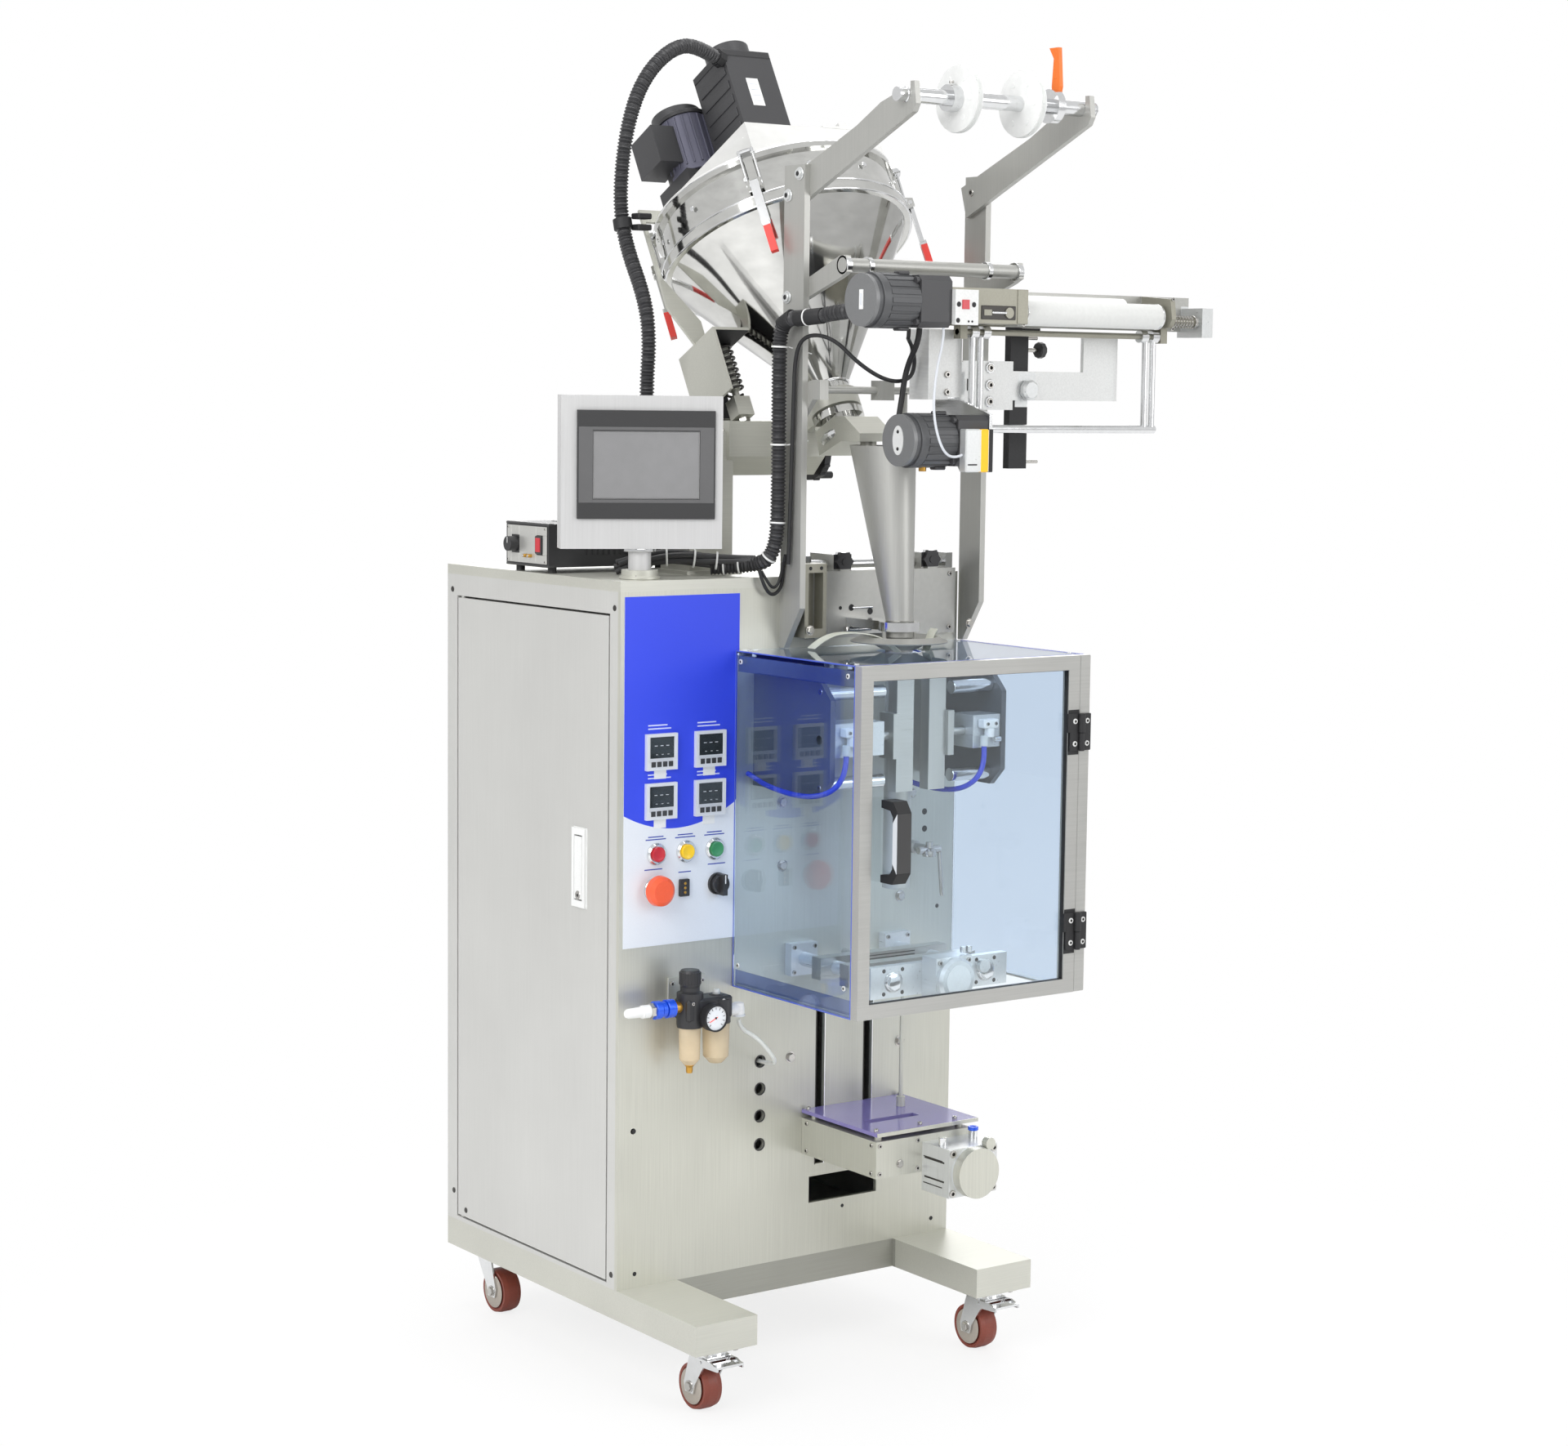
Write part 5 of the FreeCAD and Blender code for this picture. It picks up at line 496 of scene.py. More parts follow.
# CAD nodes that keep their shape and get a finish, plain ones first, then those with zones.
FINISHES = {
    "cabinet_steel": "cabinet_shell",
    "white_plastic": "door_lever pinch_roller",
    "frame_steel": "top_plate hopper_stand",
    "front_steel": "front_plate",
    "red": "red_button",
    "yellow": "yellow_button",
    "green": "green_button",
    "stop_orange": "emergency_stop",
    "black_plastic": (
        "selector_switch feeder_controller controller_knob handwheel "
        "regulator_knob"
    ),
    "housing_grey": "screen_unit",
    "post_steel": "reel_posts forming_tube",
    "orange": "reel_clamp_lever",
    "mirror_steel": "hopper_bowl",
    "hopper_white": "hopper_lid lid_hatch",
    "motor_black": "hopper_motors",
    "bright_steel": (
        "auger_screw agitator dancer_arm castor_fork_left_front "
        "castor_fork_left_rear castor_fork_right_front "
        "castor_fork_right_rear brake_pedal_left brake_pedal_right"
    ),
    "roller_white": "drive_roller",
    "brushed_steel": (
        "vertical_jaw_left vertical_jaw_right front_jaw rear_jaw "
        "cutter_blade"
    ),
    "wheel": (
        "castor_wheel_left_front castor_wheel_left_rear castor_wheel_right_front "
        "castor_wheel_right_rear"
    ),
}
for look_name, nodes in FINISHES.items():
    for node in nodes.split():
        dress(node, look_name)
# The beam between the front legs gets a darker steel zone: painted shade under the cabinet.
dress("base_frame", "frame_steel", [((96, -6, 80), (462, 46, 131.5), "shaded_beam_steel")])
dress("cabinet_door", "cabinet_steel", [((-6, 78, 631), (0.5, 112, 739), "white_plastic")])
dress("control_panel", "meter_grey", [
    ((0, 5.8, 560), (200, 200, 1060), "black_plastic"),
    ((92, -8, 650), (108, 0, 676), "black_plastic"),
    ((30, -8, 690), (180, 0, 730), "bright_steel"),
    ((30, -8, 640), (90, 0, 689), "bright_steel"),
    ((135, -8, 640), (175, 0, 689), "bright_steel"),
])
dress("film_reel_shaft", "bright_steel", [
    ((343, -300, 1600), (355, -180, 1750), "white_plastic"),
    ((448, -300, 1600), (460, -180, 1750), "white_plastic"),
])
dress("tube_carriage", "bright_steel", [
    ((335, -6, 1070), (372, 55, 1097), "post_steel"),
    ((488, -6, 1070), (522, 55, 1097), "post_steel"),
    ((330, -14, 1070), (379, -3.9, 1107), "black_plastic"),
    ((484, -14, 1070), (526, -3.9, 1107), "black_plastic"),
    ((268, -40, 980), (309, 2, 1092), "olive"),
    ((300, -13, 980), (548, -3, 1078), "post_steel"),
])
dress("guard_door", "aluminium", [
    ((515, -292, 575), (570, -277.9, 635), "soft_black"),
    ((515, -292, 842), (570, -277.9, 902), "soft_black"),
])
dress("film_motors", "motor_grey", [
    ((301.5, -240, 1395), (353, -160, 1470), "motor_black"),
    ((365.5, -240, 1215), (417, -160, 1295), "motor_black"),
])
dress("film_frame", "olive", [
    ((350, -242, 1400), (391, -233, 1453), "white_plate"),
    ((380, -151, 1307), (438, -109, 1401), "white_plate"),
    ((437.2, -145, 1314), (449, -119, 1346), "anodised"),
    ((442, -133, 1294), (541.2, -119, 1361), "white_plate"),
    ((540.8, -133, 1307), (741, -125.9, 1401), "white_plate"),
    ((540, -126.1, 1215), (573, -113, 1401), "soft_black"),
    ((540, -151, 1400), (573, -113, 1441), "soft_black"),
    ((550, -136, 1299), (580, -4, 1346), "anodised"),
    ((504, -160, 1404), (840, -149, 1453), "post_steel"),
    ((821, -205, 1390), (843, -149, 1440), "anodised"),
    ((366, -248, 1215), (413, -233, 1271), "anodised"),
    ((415, -240, 1214), (434, -119, 1311), "bright_steel"),
])
dress("seal_frame", "anodised", [
    ((214, -174, 790), (223.5, 1, 944), "bracket_grey"),
    ((496.5, -174, 790), (506, 1, 944), "bracket_grey"),
])
dress("cutter_box", "front_steel", [
    ((298, -170, 332.6), (474, 0, 338.4), "violet"),
    ((376, -228, 248), (462, -168.4, 320), "anodised"),
])
LATCHES = {"front_left": 225, "rear_left": 145, "front_right": 327, "rear_right": 38}
HOPPER = Matrix.Translation((370, 155, 1510)) @ Matrix.Rotation(math.radians(28.5), 4, Vector((-1, 0, 0)))
for place, angle in LATCHES.items():
    pivot = HOPPER @ Matrix.Rotation(math.radians(angle), 4, "Z") @ Vector((183, 0, 20))
    dress("latch_lever_" + place, "red_grip", [(tuple(pivot), 64, "bright_steel")])


# Control panel: blue and white overlay, displays, keys, tags, rings and plain marks.
def arc_level(x):
    return 0.003235 * x * x - 0.5622 * x + 767.55


METERS = [(x, z) for x in (62, 139.5) for z in (781, 846)]
steps = [5.9 + 181 * i / 36 for i in range(37)]
panel = Piece("panel_overlay", "machine", "panel_blue", "blue_sheet")


def overlay(piece, top, bottom, look):
    verts, faces = [], []
    for y in (-1.25, -0.95):
        for x in steps:
            verts += [(x, y, bottom(x)), (x, y, top(x))]
    n = 2 * len(steps)
    for i in range(len(steps) - 1):
        a = 2 * i
        faces.append((a, a + 2, a + 3, a + 1))
        faces.append((n + a, n + a + 1, n + a + 3, n + a + 2))
        faces.append((a + 1, a + 3, n + a + 3, n + a + 1))
        faces.append((a, n + a, n + a + 2, a + 2))
    faces.append((0, 1, n + 1, n))
    faces.append((n - 2, 2 * n - 2, 2 * n - 1, n - 1))
    piece.add(verts, faces, look)


overlay(panel, lambda x: 1050.0, arc_level, "panel_blue")
panel.done()
panel_low = Piece("panel_lower", "machine", "panel_white", "white_paint")
overlay(panel_low, arc_level, lambda x: 589.0, "panel_white")
panel_low.done()
displays = Piece("meter_displays", "machine", "window_black", "black_plastic")
for x, z in METERS:
    displays.box((x - 18.5, -6.5, z - 8), (x + 18.5, -5.9, z + 19.6), chamfer=0.2)
    for k in range(3):
        displays.box((x - 12 + 9 * k, -6.75, z + 8), (x - 7.5 + 9 * k, -6.4, z + 8.8), "meter_grey", 0.1)
        displays.box((x - 10 + 9 * k, -6.75, z - 3.4), (x - 7 + 9 * k, -6.4, z - 2.8), "meter_grey", 0.1)
    for k in range(4):
        displays.box((x - 17.5 + 9 * k, -7.7, z - 19.5), (x - 10.5 + 9 * k, -6.9, z - 12.5), "bezel_black", 0.4)
    displays.box((x - 20.3, -7.3, z - 9.4), (x + 20.3, -6.9, z - 8.4), "meter_grey", 0.2)
displays.done()
tags = Piece("panel_tags", "machine", "white_plastic", "white_plastic")
for x, z in METERS:
    tags.box((x - 9.5, -1.9, z - 36), (x + 9.5, -1.2, z - 24.4), chamfer=0.2)
    for row in range(2):
        tags.box((x - 19, -1.45, z + 29.5 + 4.5 * row), (x + 17 - 6 * row, -1.2, z + 31.2 + 4.5 * row),
                 "label_pale", 0.1)
for x in (57, 103.5, 150):
    tags.box((x - 17, -1.45, 729.5), (x + 15, -1.2, 731), "label_blue", 0.1)
    tags.box((x - 13, -1.45, 733), (x + 11, -1.2, 734.5), "label_blue", 0.1)
for x in (53.5, 154):
    tags.box((x - 15, -1.45, 690), (x + 13, -1.2, 691.5), "label_blue", 0.1)
tags.box((92, -1.45, 683), (112, -1.2, 684.5), "label_blue", 0.1)
tags.done()
rings = Piece("button_rings", "machine", "bright_steel", "steel")
for x in (57, 103.5, 150):
    rings.spun([(10.4, -4.6), (10.6, -5.6), (12.4, -5.8), (14.6, -3.6), (15.0, -0.9), (11.5, -0.9)][::-1],
               (x, 0, 711), "y", sides=40, loop=True)
rings.ring((53.5, -4.6, 664), "y", 15.6, 11.4, 3.6)
rings.ring((154, -5.1, 664), "y", 14.8, 12.3, 4.1, "black_plastic")
rings.done()
for body, look, slot_name, x in (
    ("red_push", "red", "red_plastic", 57),
    ("yellow_push", "yellow", "yellow_plastic", 103.5),
    ("green_push", "green", "green_plastic", 150),
):
    cap = Piece(body + "_lens", body, look, slot_name)
    lens = [(0, 0), (9.6, 0), (9.4, 0.5), (8.4, 0.75), (7.6, 0.4), (0, 0.25)]
    cap.spun(lens, (x, -7.95, 711), (0, -1, 0), sides=36)
    cap.done(50)
mark = Piece("selector_mark", "switch", "white_plastic", "white_plastic")
mark.box((153.2, -22.1, 666), (154.8, -21.4, 677.5), chamfer=0.2)
mark.box((150.6, -21.9, 652), (157.4, -13.6, 676), "black_plastic", 2.2)
mark.done()
socket = Piece("panel_socket", "machine", "black_plastic", "black_plastic")
socket.box((92.6, -6.5, 651.6), (107.4, -0.9, 674.4), chamfer=0.8)
for z in (657, 663, 669):
    socket.rod((100, -7.1, z), "y", 2.0, 1.0, "brass", 12)
    socket.rod((95.8, -6.9, z), "y", 0.9, 0.8, "soft_black", 8)
socket.done()

# Operator screen: black bezel bars, display, foot flange and back details, in the unit's own turned frame.
SCREEN = Matrix.Translation((56, 42, 0)) @ Matrix.Rotation(math.radians(-24), 4, "Z")
bezel = Piece("screen_bezel", "screen", "bezel_black", "black_plastic", SCREEN)
for x0, x1, z0, z1 in (
    (-86, 96, 1262.5, 1290), (-86, 96, 1149, 1175.5), (-86, -64.6, 1175.3, 1262.7), (74.6, 96, 1175.3, 1262.7),
):
    bezel.box((x0, -21.5, z0), (x1, -16.8, z1))
for x0, x1, z0, z1 in (
    (-84, -65.5, 1170, 1268), (75.5, 94, 1170, 1268), (-65.6, 75.6, 1264, 1268), (-65.6, 75.6, 1170, 1174),
):
    bezel.box((x0, -21.9, z0), (x1, -21.4, z1), "screen_edge", 0.2)
bezel.done()
display = Piece("screen_display", "screen", "grey_screen", "light_paint", SCREEN)
display.box((-64.4, -20.2, 1175.7), (74.4, -18.9, 1262.3), chamfer=0.2)
display.done()
housing = Piece("screen_fittings", "screen", "housing_grey", "steel", SCREEN)
housing.box((-104, 16.8, 1114), (104, 18.2, 1305), chamfer=0.5)
for x in (-98, 98):
    for z in (1120, 1299):
        housing.screw((x, 18.2, z), "y", 3.2, 1.8)
for k in range(9):
    housing.box((-60, 18.0, 1240 + 5 * k), (60, 18.5, 1242 + 5 * k), "soft_black", 0.2)
housing.ring((0, 0, 1106), "z", 22, 15.2, 4, "bright_steel")
housing.done()
foot = Piece("screen_foot", "machine", "frame_steel", "steel")
foot.ring((56, 42, 1070.2), "z", 27, 15.4, 4)
for a in around(4):
    a += math.pi / 4
    foot.screw((56 + 21.5 * math.cos(a), 42 + 21.5 * math.sin(a), 1074.2), "z", 2.6, 2)
foot.done()

# Feeder controller: silver face, red rocker, lamps, case ribs and vents.
face = Piece("feeder_face", "machine", "silver_face", "aluminium")
for y0, y1, z0, z1 in (
    (214, 257.5, 1082, 1132), (278, 289, 1082, 1132), (257.4, 278.1, 1119, 1132), (257.4, 278.1, 1082, 1095),
    (187, 214.1, 1082, 1094), (187, 214.1, 1120, 1132), (187, 197, 1094, 1120.1),
):
    face.box((1.6, y0, z0), (3.1, y1, z1))
face.box((-0.6, 197.6, 1095.5), (3, 213.6, 1119.5), "black_plastic", 0.8)
face.box((-1.4, 199.6, 1098), (0, 211.6, 1117), "red", 0.8)
for y in (226, 238):
    face.rod((-3.5, y, 1092), "x", 2.4, 5.5, "brass", 16)
    face.rod((-5.5, y, 1092), "x", 1.5, 3, "screw_steel", 12)
for y in (190, 286):
    for z in (1085, 1129):
        face.screw((1.8, y, z), "-x", 1.8, 1.2)
face.box((2.2, 182.4, 1077.6), (12, 293.6, 1081), "bezel_black", 1)
face.box((2.2, 182.4, 1133), (12, 293.6, 1136.8), "bezel_black", 1)
for k in range(12):
    face.box((60 + 9 * k, 182.2, 1094), (64 + 9 * k, 183.2, 1122), "soft_black", 0.4)
    face.box((60 + 9 * k, 205, 1135.8), (64 + 9 * k, 270, 1136.8), "bezel_black", 0.4)
face.done()
dial_mark = Piece("dial_mark", "dial", "white_plastic", "white_plastic")
dial_mark.box((-11.6, 267.2, 1108), (-11.0, 268.2, 1116), chamfer=0.1)
dial_mark.done()

# Side door: lock details.
lock = Piece("door_lock_parts", "side_door", "white_plastic", "white_plastic")
lock.rod((-4.6, 95, 648), "x", 6.2, 1.6, "screw_steel", 24)
lock.rod((-4.9, 95, 648), "x", 2.2, 0.6, "soft_black", 12)
lock.done()
shell = Piece("cabinet_fasteners", "machine", "screw_steel", "steel")
for y, z in ((432, 172), (398, 150), (14, 150), (14, 1035), (436, 1035)):
    shell.rod((-0.7, y, z), "x", 4.0, 0.9, "dark_steel", 16)
for x in (40, 280, 518):
    for z in (150, 600, 1035):
        shell.screw((x, 450, z), "y", 4, 1.6)
for y in (30, 225, 420):
    for z in (150, 1035):
        shell.screw((558, y, z), "x", 4, 1.6)
for k in range(14):
    shell.box((180, 449.8, 760 + 12 * k), (380, 451.4, 764 + 12 * k), "bezel_black", 0.6)
shell.done()

# Front plate: bolts, small holes, rims and the adjusting lever.
front = Piece("front_fasteners", "machine", "screw_steel", "steel")
for x, z in ((279.3, 413), (468, 413.7), (263.9, 766), (265.2, 679), (463.8, 620), (481, 763.7)):
    front.bolt((x, 0.1, z), "-y", 6.0, 5.0)
for x, z, r in ((25.6, 343.3, 3.2), (371.7, 191.9, 2.6), (504.9, 735.6, 4.4), (505.4, 711.4, 4.4), (25, 1040, 2.2),
                (530, 150, 3), (28, 150, 3), (530, 600, 3)):
    front.rod((x, -0.4, z), "y", r, 0.6, "soft_black", 20)
for z in (298, 337.5, 375, 413):
    front.ring((229, -0.9, z), "y", 8.9, 7.4, 1.0, "black_plastic")
for x in (323.5, 405.5):
    front.box((x - 1.2, -0.5, 257), (x + 0.2, 0.2, 481), "dark_steel", 0.2)
    front.box((x + 13.8, -0.5, 257), (x + 15.2, 0.2, 481), "bright_steel", 0.2)
front.spun([(0, 0), (9, 0), (9, 8), (6, 10), (6, 34), (0, 34)], (484, 0, 688), (0, -1, 0), "post_steel", 24)
front.rod((466, -36, 688), "x", 5.5, 38, "screw_steel")
front.spun([(0, 0), (3.0, 0), (3.0, 58), (2.2, 62), (0, 62)],
           (502, -38, 684), (0.08, -0.02, -1), "screw_steel", 14)
front.spun([(0, 0), (9, 0), (10, 3), (10, 8), (7, 11), (0, 11)],
           (484, -38, 679), (0, 0, 1), "screw_steel", 20)
front.rod((484, -38, 690), "z", 5, 9, "screw_steel", 18)
front.done()

# Reel posts: screws on the arm joints and post feet, and rounded shaft ends.
posts = Piece("reel_fasteners", "machine", "screw_steel", "steel")
for x, way in ((253, "-x"), (569, "x")):
    for y, z in ((-34, 1600), (-9, 1573), (-9, 1440)):
        posts.rod((x - (1.6 if way == "-x" else 0), y, z), "x", 8.6, 1.6, "anodised", 28)
        posts.screw((x, y, z), way, 6.4, 4.4, "anodised")
        posts.rod((x - (5.0 if way == "-x" else -4.2), y, z), "x", 3.2, 0.8, "soft_black", 6)
for x, way in ((552, "-x"), (569, "x")):
    posts.screw((x, -22, 1590), way, 5.2, 1.2)
for x in (274, 548):
    posts.bolt((x, -40, 1000), "-y", 5, 4)
for x in (262, 551.5):
    posts.ring((x, -117, 1480), "x", 12.5, 9.6, 8.5, "bright_steel")
for x in (300, 500):
    posts.ring((x, -117, 1480), "x", 11.6, 9.4, 7, "bright_steel")
posts.done()
reel = Piece("reel_details", "reel", "bright_steel", "steel")
for x in (344, 449):
    reel.ring((x + 2, -244, 1688), "x", 43, 38, 6, "clear_white", 48)
    for a in around(6):
        reel.rod((x - 0.6, -244 + 28 * math.cos(a), 1688 + 28 * math.sin(a)), "x", 4, 11.2, "white_plastic", 16)
for x in (328, 459):
    reel.rod((x + 8, -244, 1706.5), "z", 3.2, 3.5, "screw_steel", 16)
reel.spun([(0, 0), (9.6, 0), (9.6, 1.5), (7.6, 3), (0, 3)], (574, -244, 1688), "x", sides=28)
reel.done()
grip = Piece("reel_lever_grip", "reel_lever", "orange", "orange_plastic")
grip.box((508.9, -249, 1722), (515.9, -239, 1762), chamfer=2.6)
grip.done()

# Hopper: beads, clamp rings, lid screws, servo and mixer ribs, placed on the hopper's own leaning axis.
bowl = Piece("hopper_rims", "machine", "bright_steel", "polished_steel", HOPPER)


def bead(piece, radius, height, thick, look=None, sides=72):
    loop = [(radius + thick * math.cos(a), height + thick * math.sin(a))
            for a in [math.pi / 5 * k for k in range(10)]]
    piece.spun(loop, (0, 0, 0), "z", look, sides, loop=True)


bead(bowl, 176.5, 7.5, 1.6)
bead(bowl, 176.5, -7.5, 1.6)
bead(bowl, 170.5, 70, 1.8)
bead(bowl, 27.5, -214, 1.4)
for level_z, r in ((-296, 31), (-240, 30)):
    bowl.spun([(26.2, level_z), (r, level_z + 1), (r + 2, level_z + 4), (r + 2, level_z + 9), (r, level_z + 12),
               (26.2, level_z + 13)], (0, 0, 0), "z", sides=40, loop=True)
bowl.rod((33, 4, -290), (1, 0.3, 0), 3.2, 22)
bowl.box((44, 2, -296), (50, 18, -284), chamfer=2)
for k in range(12):
    a = math.pi / 6 * k + 0.2
    bowl.rod((169.4 * math.cos(a), 169.4 * math.sin(a), 38), (math.cos(a), math.sin(a), 0), 3.6, 2.4, None, 16)
bowl.done()
lid = Piece("hopper_lid_parts", "machine", "hopper_white", "white_paint", HOPPER)
for x in (-104, 104):
    for y in (-118, 102):
        lid.screw((x, y, 120), "z", 4.2, 2.6)
for x in (-34, 34):
    for y in (-34, 34):
        lid.screw((x, y, 120), "z", 3.4, 3)
lid.box((-46, -46, 119.6), (46, 46, 123), "motor_black", 0.8)
lid.done()
servo = Piece("servo_details", "machine", "motor_black", "motor_grey", HOPPER)
for k in range(7):
    z = 128 + 22 * k
    servo.box((-41.6, -34, z), (-39.6, 34, z + 13), None, 0.6)
    servo.box((39.6, -34, z), (41.6, 34, z + 13), None, 0.6)
for x in (-27, -18, -9, 0, 9, 18, 27):
    servo.box((x - 2, 39.6, 126), (x + 2, 41.4, 288), None, 0.6)
servo.box((-14, -41, 208), (6, -39.8, 252), "white_plastic", 0.3)
for k in range(4):
    servo.box((-11, -41.4, 215 + 9 * k), (1 + 2 * (k % 2), -40.8, 216.4 + 9 * k), "meter_grey", 0.1)
servo.box((-41, -41, 286), (41, 41, 298.4), "black_plastic", 2)
servo.box((-41, -41, 120.2), (41, 41, 131), "black_plastic", 2)
for x in (-34, 34):
    for y in (-34, 34):
        servo.screw((x, y, 298.2), "z", 3.4, 2)
servo.box((-20, 40, 250), (20, 62, 292), "black_plastic", 2)
servo.done()
mixer = Piece("mixer_details", "machine", "mixer_blue", "motor_grey", HOPPER)
for a in around(20):
    spot = Matrix.Translation((-46, 84, 0)) @ Matrix.Rotation(a, 4, "Z")
    mixer.box((34.5, -1.2, 172), (38.6, 1.2, 248), None, 0.5, turned=spot)
mixer.ring((-46, 84, 250), "z", 38.5, 30, 6, "black_plastic", 40)
mixer.ring((-46, 84, 162), "z", 38, 30, 6, "mixer_blue", 40)
mixer.ring((-46, 84, 168), "z", 36.4, 34, 82, "mixer_blue", 40)
mixer.done()

# Saddle spring with dark sheets of painted shade lining its hood, stand screws and the handwheel's grip.
spring = Piece("saddle_spring", "machine", "dark_steel", "steel", HOPPER)
coil = []
TURNS, COIL_LOW, COIL_HIGH = 9, -192, -112
for i in range(TURNS * 20 + 1):
    a = 2 * math.pi * i / 20
    climb = (COIL_HIGH - COIL_LOW) * i / (TURNS * 20)
    coil.append((-110 + 12 * math.cos(a), 62 + 12 * math.sin(a), COIL_LOW + climb))
spring.tube(coil, 1.9, "dark_steel", 8)
spring.bolt((-110, 62, -236), "z", 9, 6, washer=False)
# Dark sheets on the hood's inner faces: painted shade inside the hood.
spring.box((-148, 17, -207), (-147.4, 103.6, -118.4), "soft_black", 0.1)
spring.box((-147, 103.2, -207), (-93, 103.8, -118.4), "soft_black", 0.1)
spring.box((-147, 17, -118.6), (-93, 103, -118.2), "soft_black", 0.1)
spring.done()
stand = Piece("stand_fasteners", "machine", "screw_steel", "steel")
for y in (100, 150):
    for z in (1216, 1262):
        stand.screw((226.6, y, z), "-x", 4, 2)
for x in (178, 226):
    for y in (100, 150):
        stand.bolt((x, y, 1078), "z", 5, 4)
stand.done()
wheel = Piece("handwheel_rim", "height_wheel", "black_plastic", "black_plastic")
for a in around(14):
    wheel.rod((394, 127 + 34.6 * math.cos(a), 1230 + 34.6 * math.sin(a)), "x", 2.6, 10, None, 12)
wheel.rod((406, 127, 1230), "x", 6, 1.5, "screw_steel", 20)
wheel.done()


# Latches: steel bodies and bails; the levers are CAD nodes.
def latch_frame(angle):
    return HOPPER @ Matrix.Rotation(math.radians(angle), 4, "Z")


for place, angle in LATCHES.items():
    keeper = Piece("latch_body_" + place, "machine", "bright_steel", "steel", latch_frame(angle))
    for y in (-11, 7.5):
        keeper.rod((176.5, y + 1.7, 24), (0.02, 0, 1), 1.7, 52)
        keeper.box((172, y - 0.6, 68), (181, y + 4, 76), None, 1.2)
    keeper.rod((178, -11, 24), "y", 2.1, 22)
    keeper.box((168, -8, 70), (184, 8, 74.5), None, 1.4)
    keeper.done()

# Film motors: fins, end caps, labels, gland boxes and screws.
motors = Piece("film_motor_details", "machine", "motor_grey", "motor_grey")
for left, up in ((230, 1433), (294, 1255.5)):
    for a in around(20):
        spot = Matrix.Translation((0, -200, up)) @ Matrix.Rotation(a, 4, "X")
        motors.box((left + 25, -3.4, 31.0), (left + 71.4, 3.4, 35.2), None, 0.5, turned=spot)
    motors.ring((left + 12, -200, up), "x", 35.4, 30, 12, "motor_grey", 44)
    motors.spun([(0, 0), (24, 0), (31, 1.2), (33.6, 3.5), (33.6, 9), (0, 9)],
                (left + 8.6, -200, up), (-1, 0, 0), "motor_cap", 44)
    if left > 250:
        outline = [(-200 + 11 * math.cos(a), up + 19 * math.sin(a)) for a in around(24)]
        motors.prism(outline, "yz", left - 1.2, 1.2, "white_plate")
        for dz in (-11, 11):
            motors.rod((left - 2.0, -200, up + dz), "x", 2.4, 1.2, "soft_black", 14)
        motors.screw((left + 40, -200, up - 34), "-z", 5, 6, "brass")
    else:
        motors.box((left - 1.4, -206, up - 12), (left + 0.3, -198, up + 13), "white_plastic", 0.2)
        motors.box((left - 1.8, -204, up - 7), (left - 1.2, -200.6, up + 8), "meter_grey", 0.1)
    for dy, dz in ((-26, -26), (-26, 26), (26, -26), (26, 26)):
        motors.rod((left + 67, -200 + dy, up + dz), "x", 4.6, 5.4, "motor_black", 18)
    motors.box((left + 52, -213, up + 32.6), (left + 69, -199, up + 38), "motor_black", 1.5)
    motors.box((left + 52, -213, up - 38), (left + 69, -199, up - 32.6), "motor_black", 1.5)
motors.done()

# Film unit: gauge strip, red marker, screws, springs, sensors and stops.
unit = Piece("film_unit_details", "machine", "screw_steel", "steel")
unit.box((363, -241.4, 1424), (374.5, -239.9, 1436), "red", 0.3)
for x, z, r in (
    (357.5, 1430, 3.4), (382.5, 1430, 3.4), (356.5, 1409.5, 3.2), (374, 1408.5, 1.5), (380, 1408.5, 1.5),
):
    unit.rod((x, -240.8, z), "y", r, 1.2, "soft_black", 16)
unit.box((401, -233.2, 1412), (459, -231.6, 1430), "dark_steel", 1)
unit.box((405, -234.2, 1417), (418, -233, 1425), "olive", 0.6)
unit.spun([(0, 0), (7, 0), (7, 2), (0, 2)], (447, -233, 1421), (0, -1, 0), "olive", 24)
unit.rod((418, -234.2, 1421), "x", 1.6, 24, "bright_steel", 12)
unit.box((462, -233.4, 1407.5), (479.6, -231.8, 1451.5), "olive", 0.6)
for x in (484, 749):
    for z in (1407, 1447):
        unit.screw((x, -218, z), "-y", 2.6, 2)
for x, z in ((412, 1341), (412, 1318)):
    unit.screw((x, -150.2, z), "-y", 4.4, 2.6)
for z in (1351, 1328, 1306):
    unit.ring((500, -134.4, z), "y", 7.6, 4, 2.6, "bright_steel")
    unit.screw((500, -132.2, z), "-y", 5, 3.4)
for x in (456, 461):
    unit.box((x, -132.8, 1320), (x + 1.6, -132, 1336), "dark_steel", 0.2)
for k in range(9):
    turn_of_spring = [(6.4, -1.1), (8.6, 0), (6.4, 1.1)]
    unit.spun(turn_of_spring, (768 + 5.2 * k, -188, 1418), "x", "screw_steel", 20, loop=True)
for x in (758, 814):
    unit.ring((x, -188, 1418), "x", 9, 6.1, 4, "screw_steel")
unit.bolt((842, -188, 1418), "x", 6.5, 3.0, washer=False)
unit.spun([(0, 0), (12, 0), (14, 2), (14, 8), (11, 11), (0, 11)],
          (564, -134, 1322), (0, -1, 0), "anodised", 9)
unit.rod((572, -118, 1225), "x", 2.4, 26, "screw_steel", 14)
unit.ring((572, -118, 1225), "x", 5, 2.4, 4, "screw_steel")
unit.rod((572, -118, 1392), "x", 2.4, 22, "screw_steel", 14)
unit.spun([(0, 0), (9, 0), (11, 2), (11, 9), (8, 12), (0, 12)], (594, -118, 1376), "x", "black_plastic", 10)
unit.rod((572, -118, 1376), "x", 3, 24, "screw_steel", 14)
unit.box((424, -172, 1262), (437, -160, 1284), "anodised", 1)
unit.done()
sensor = Piece("film_sensor", "machine", "anodised", "steel")
sensor.box((367.4, -247.6, 1215.4), (392, -233.4, 1271), None, 1.6)
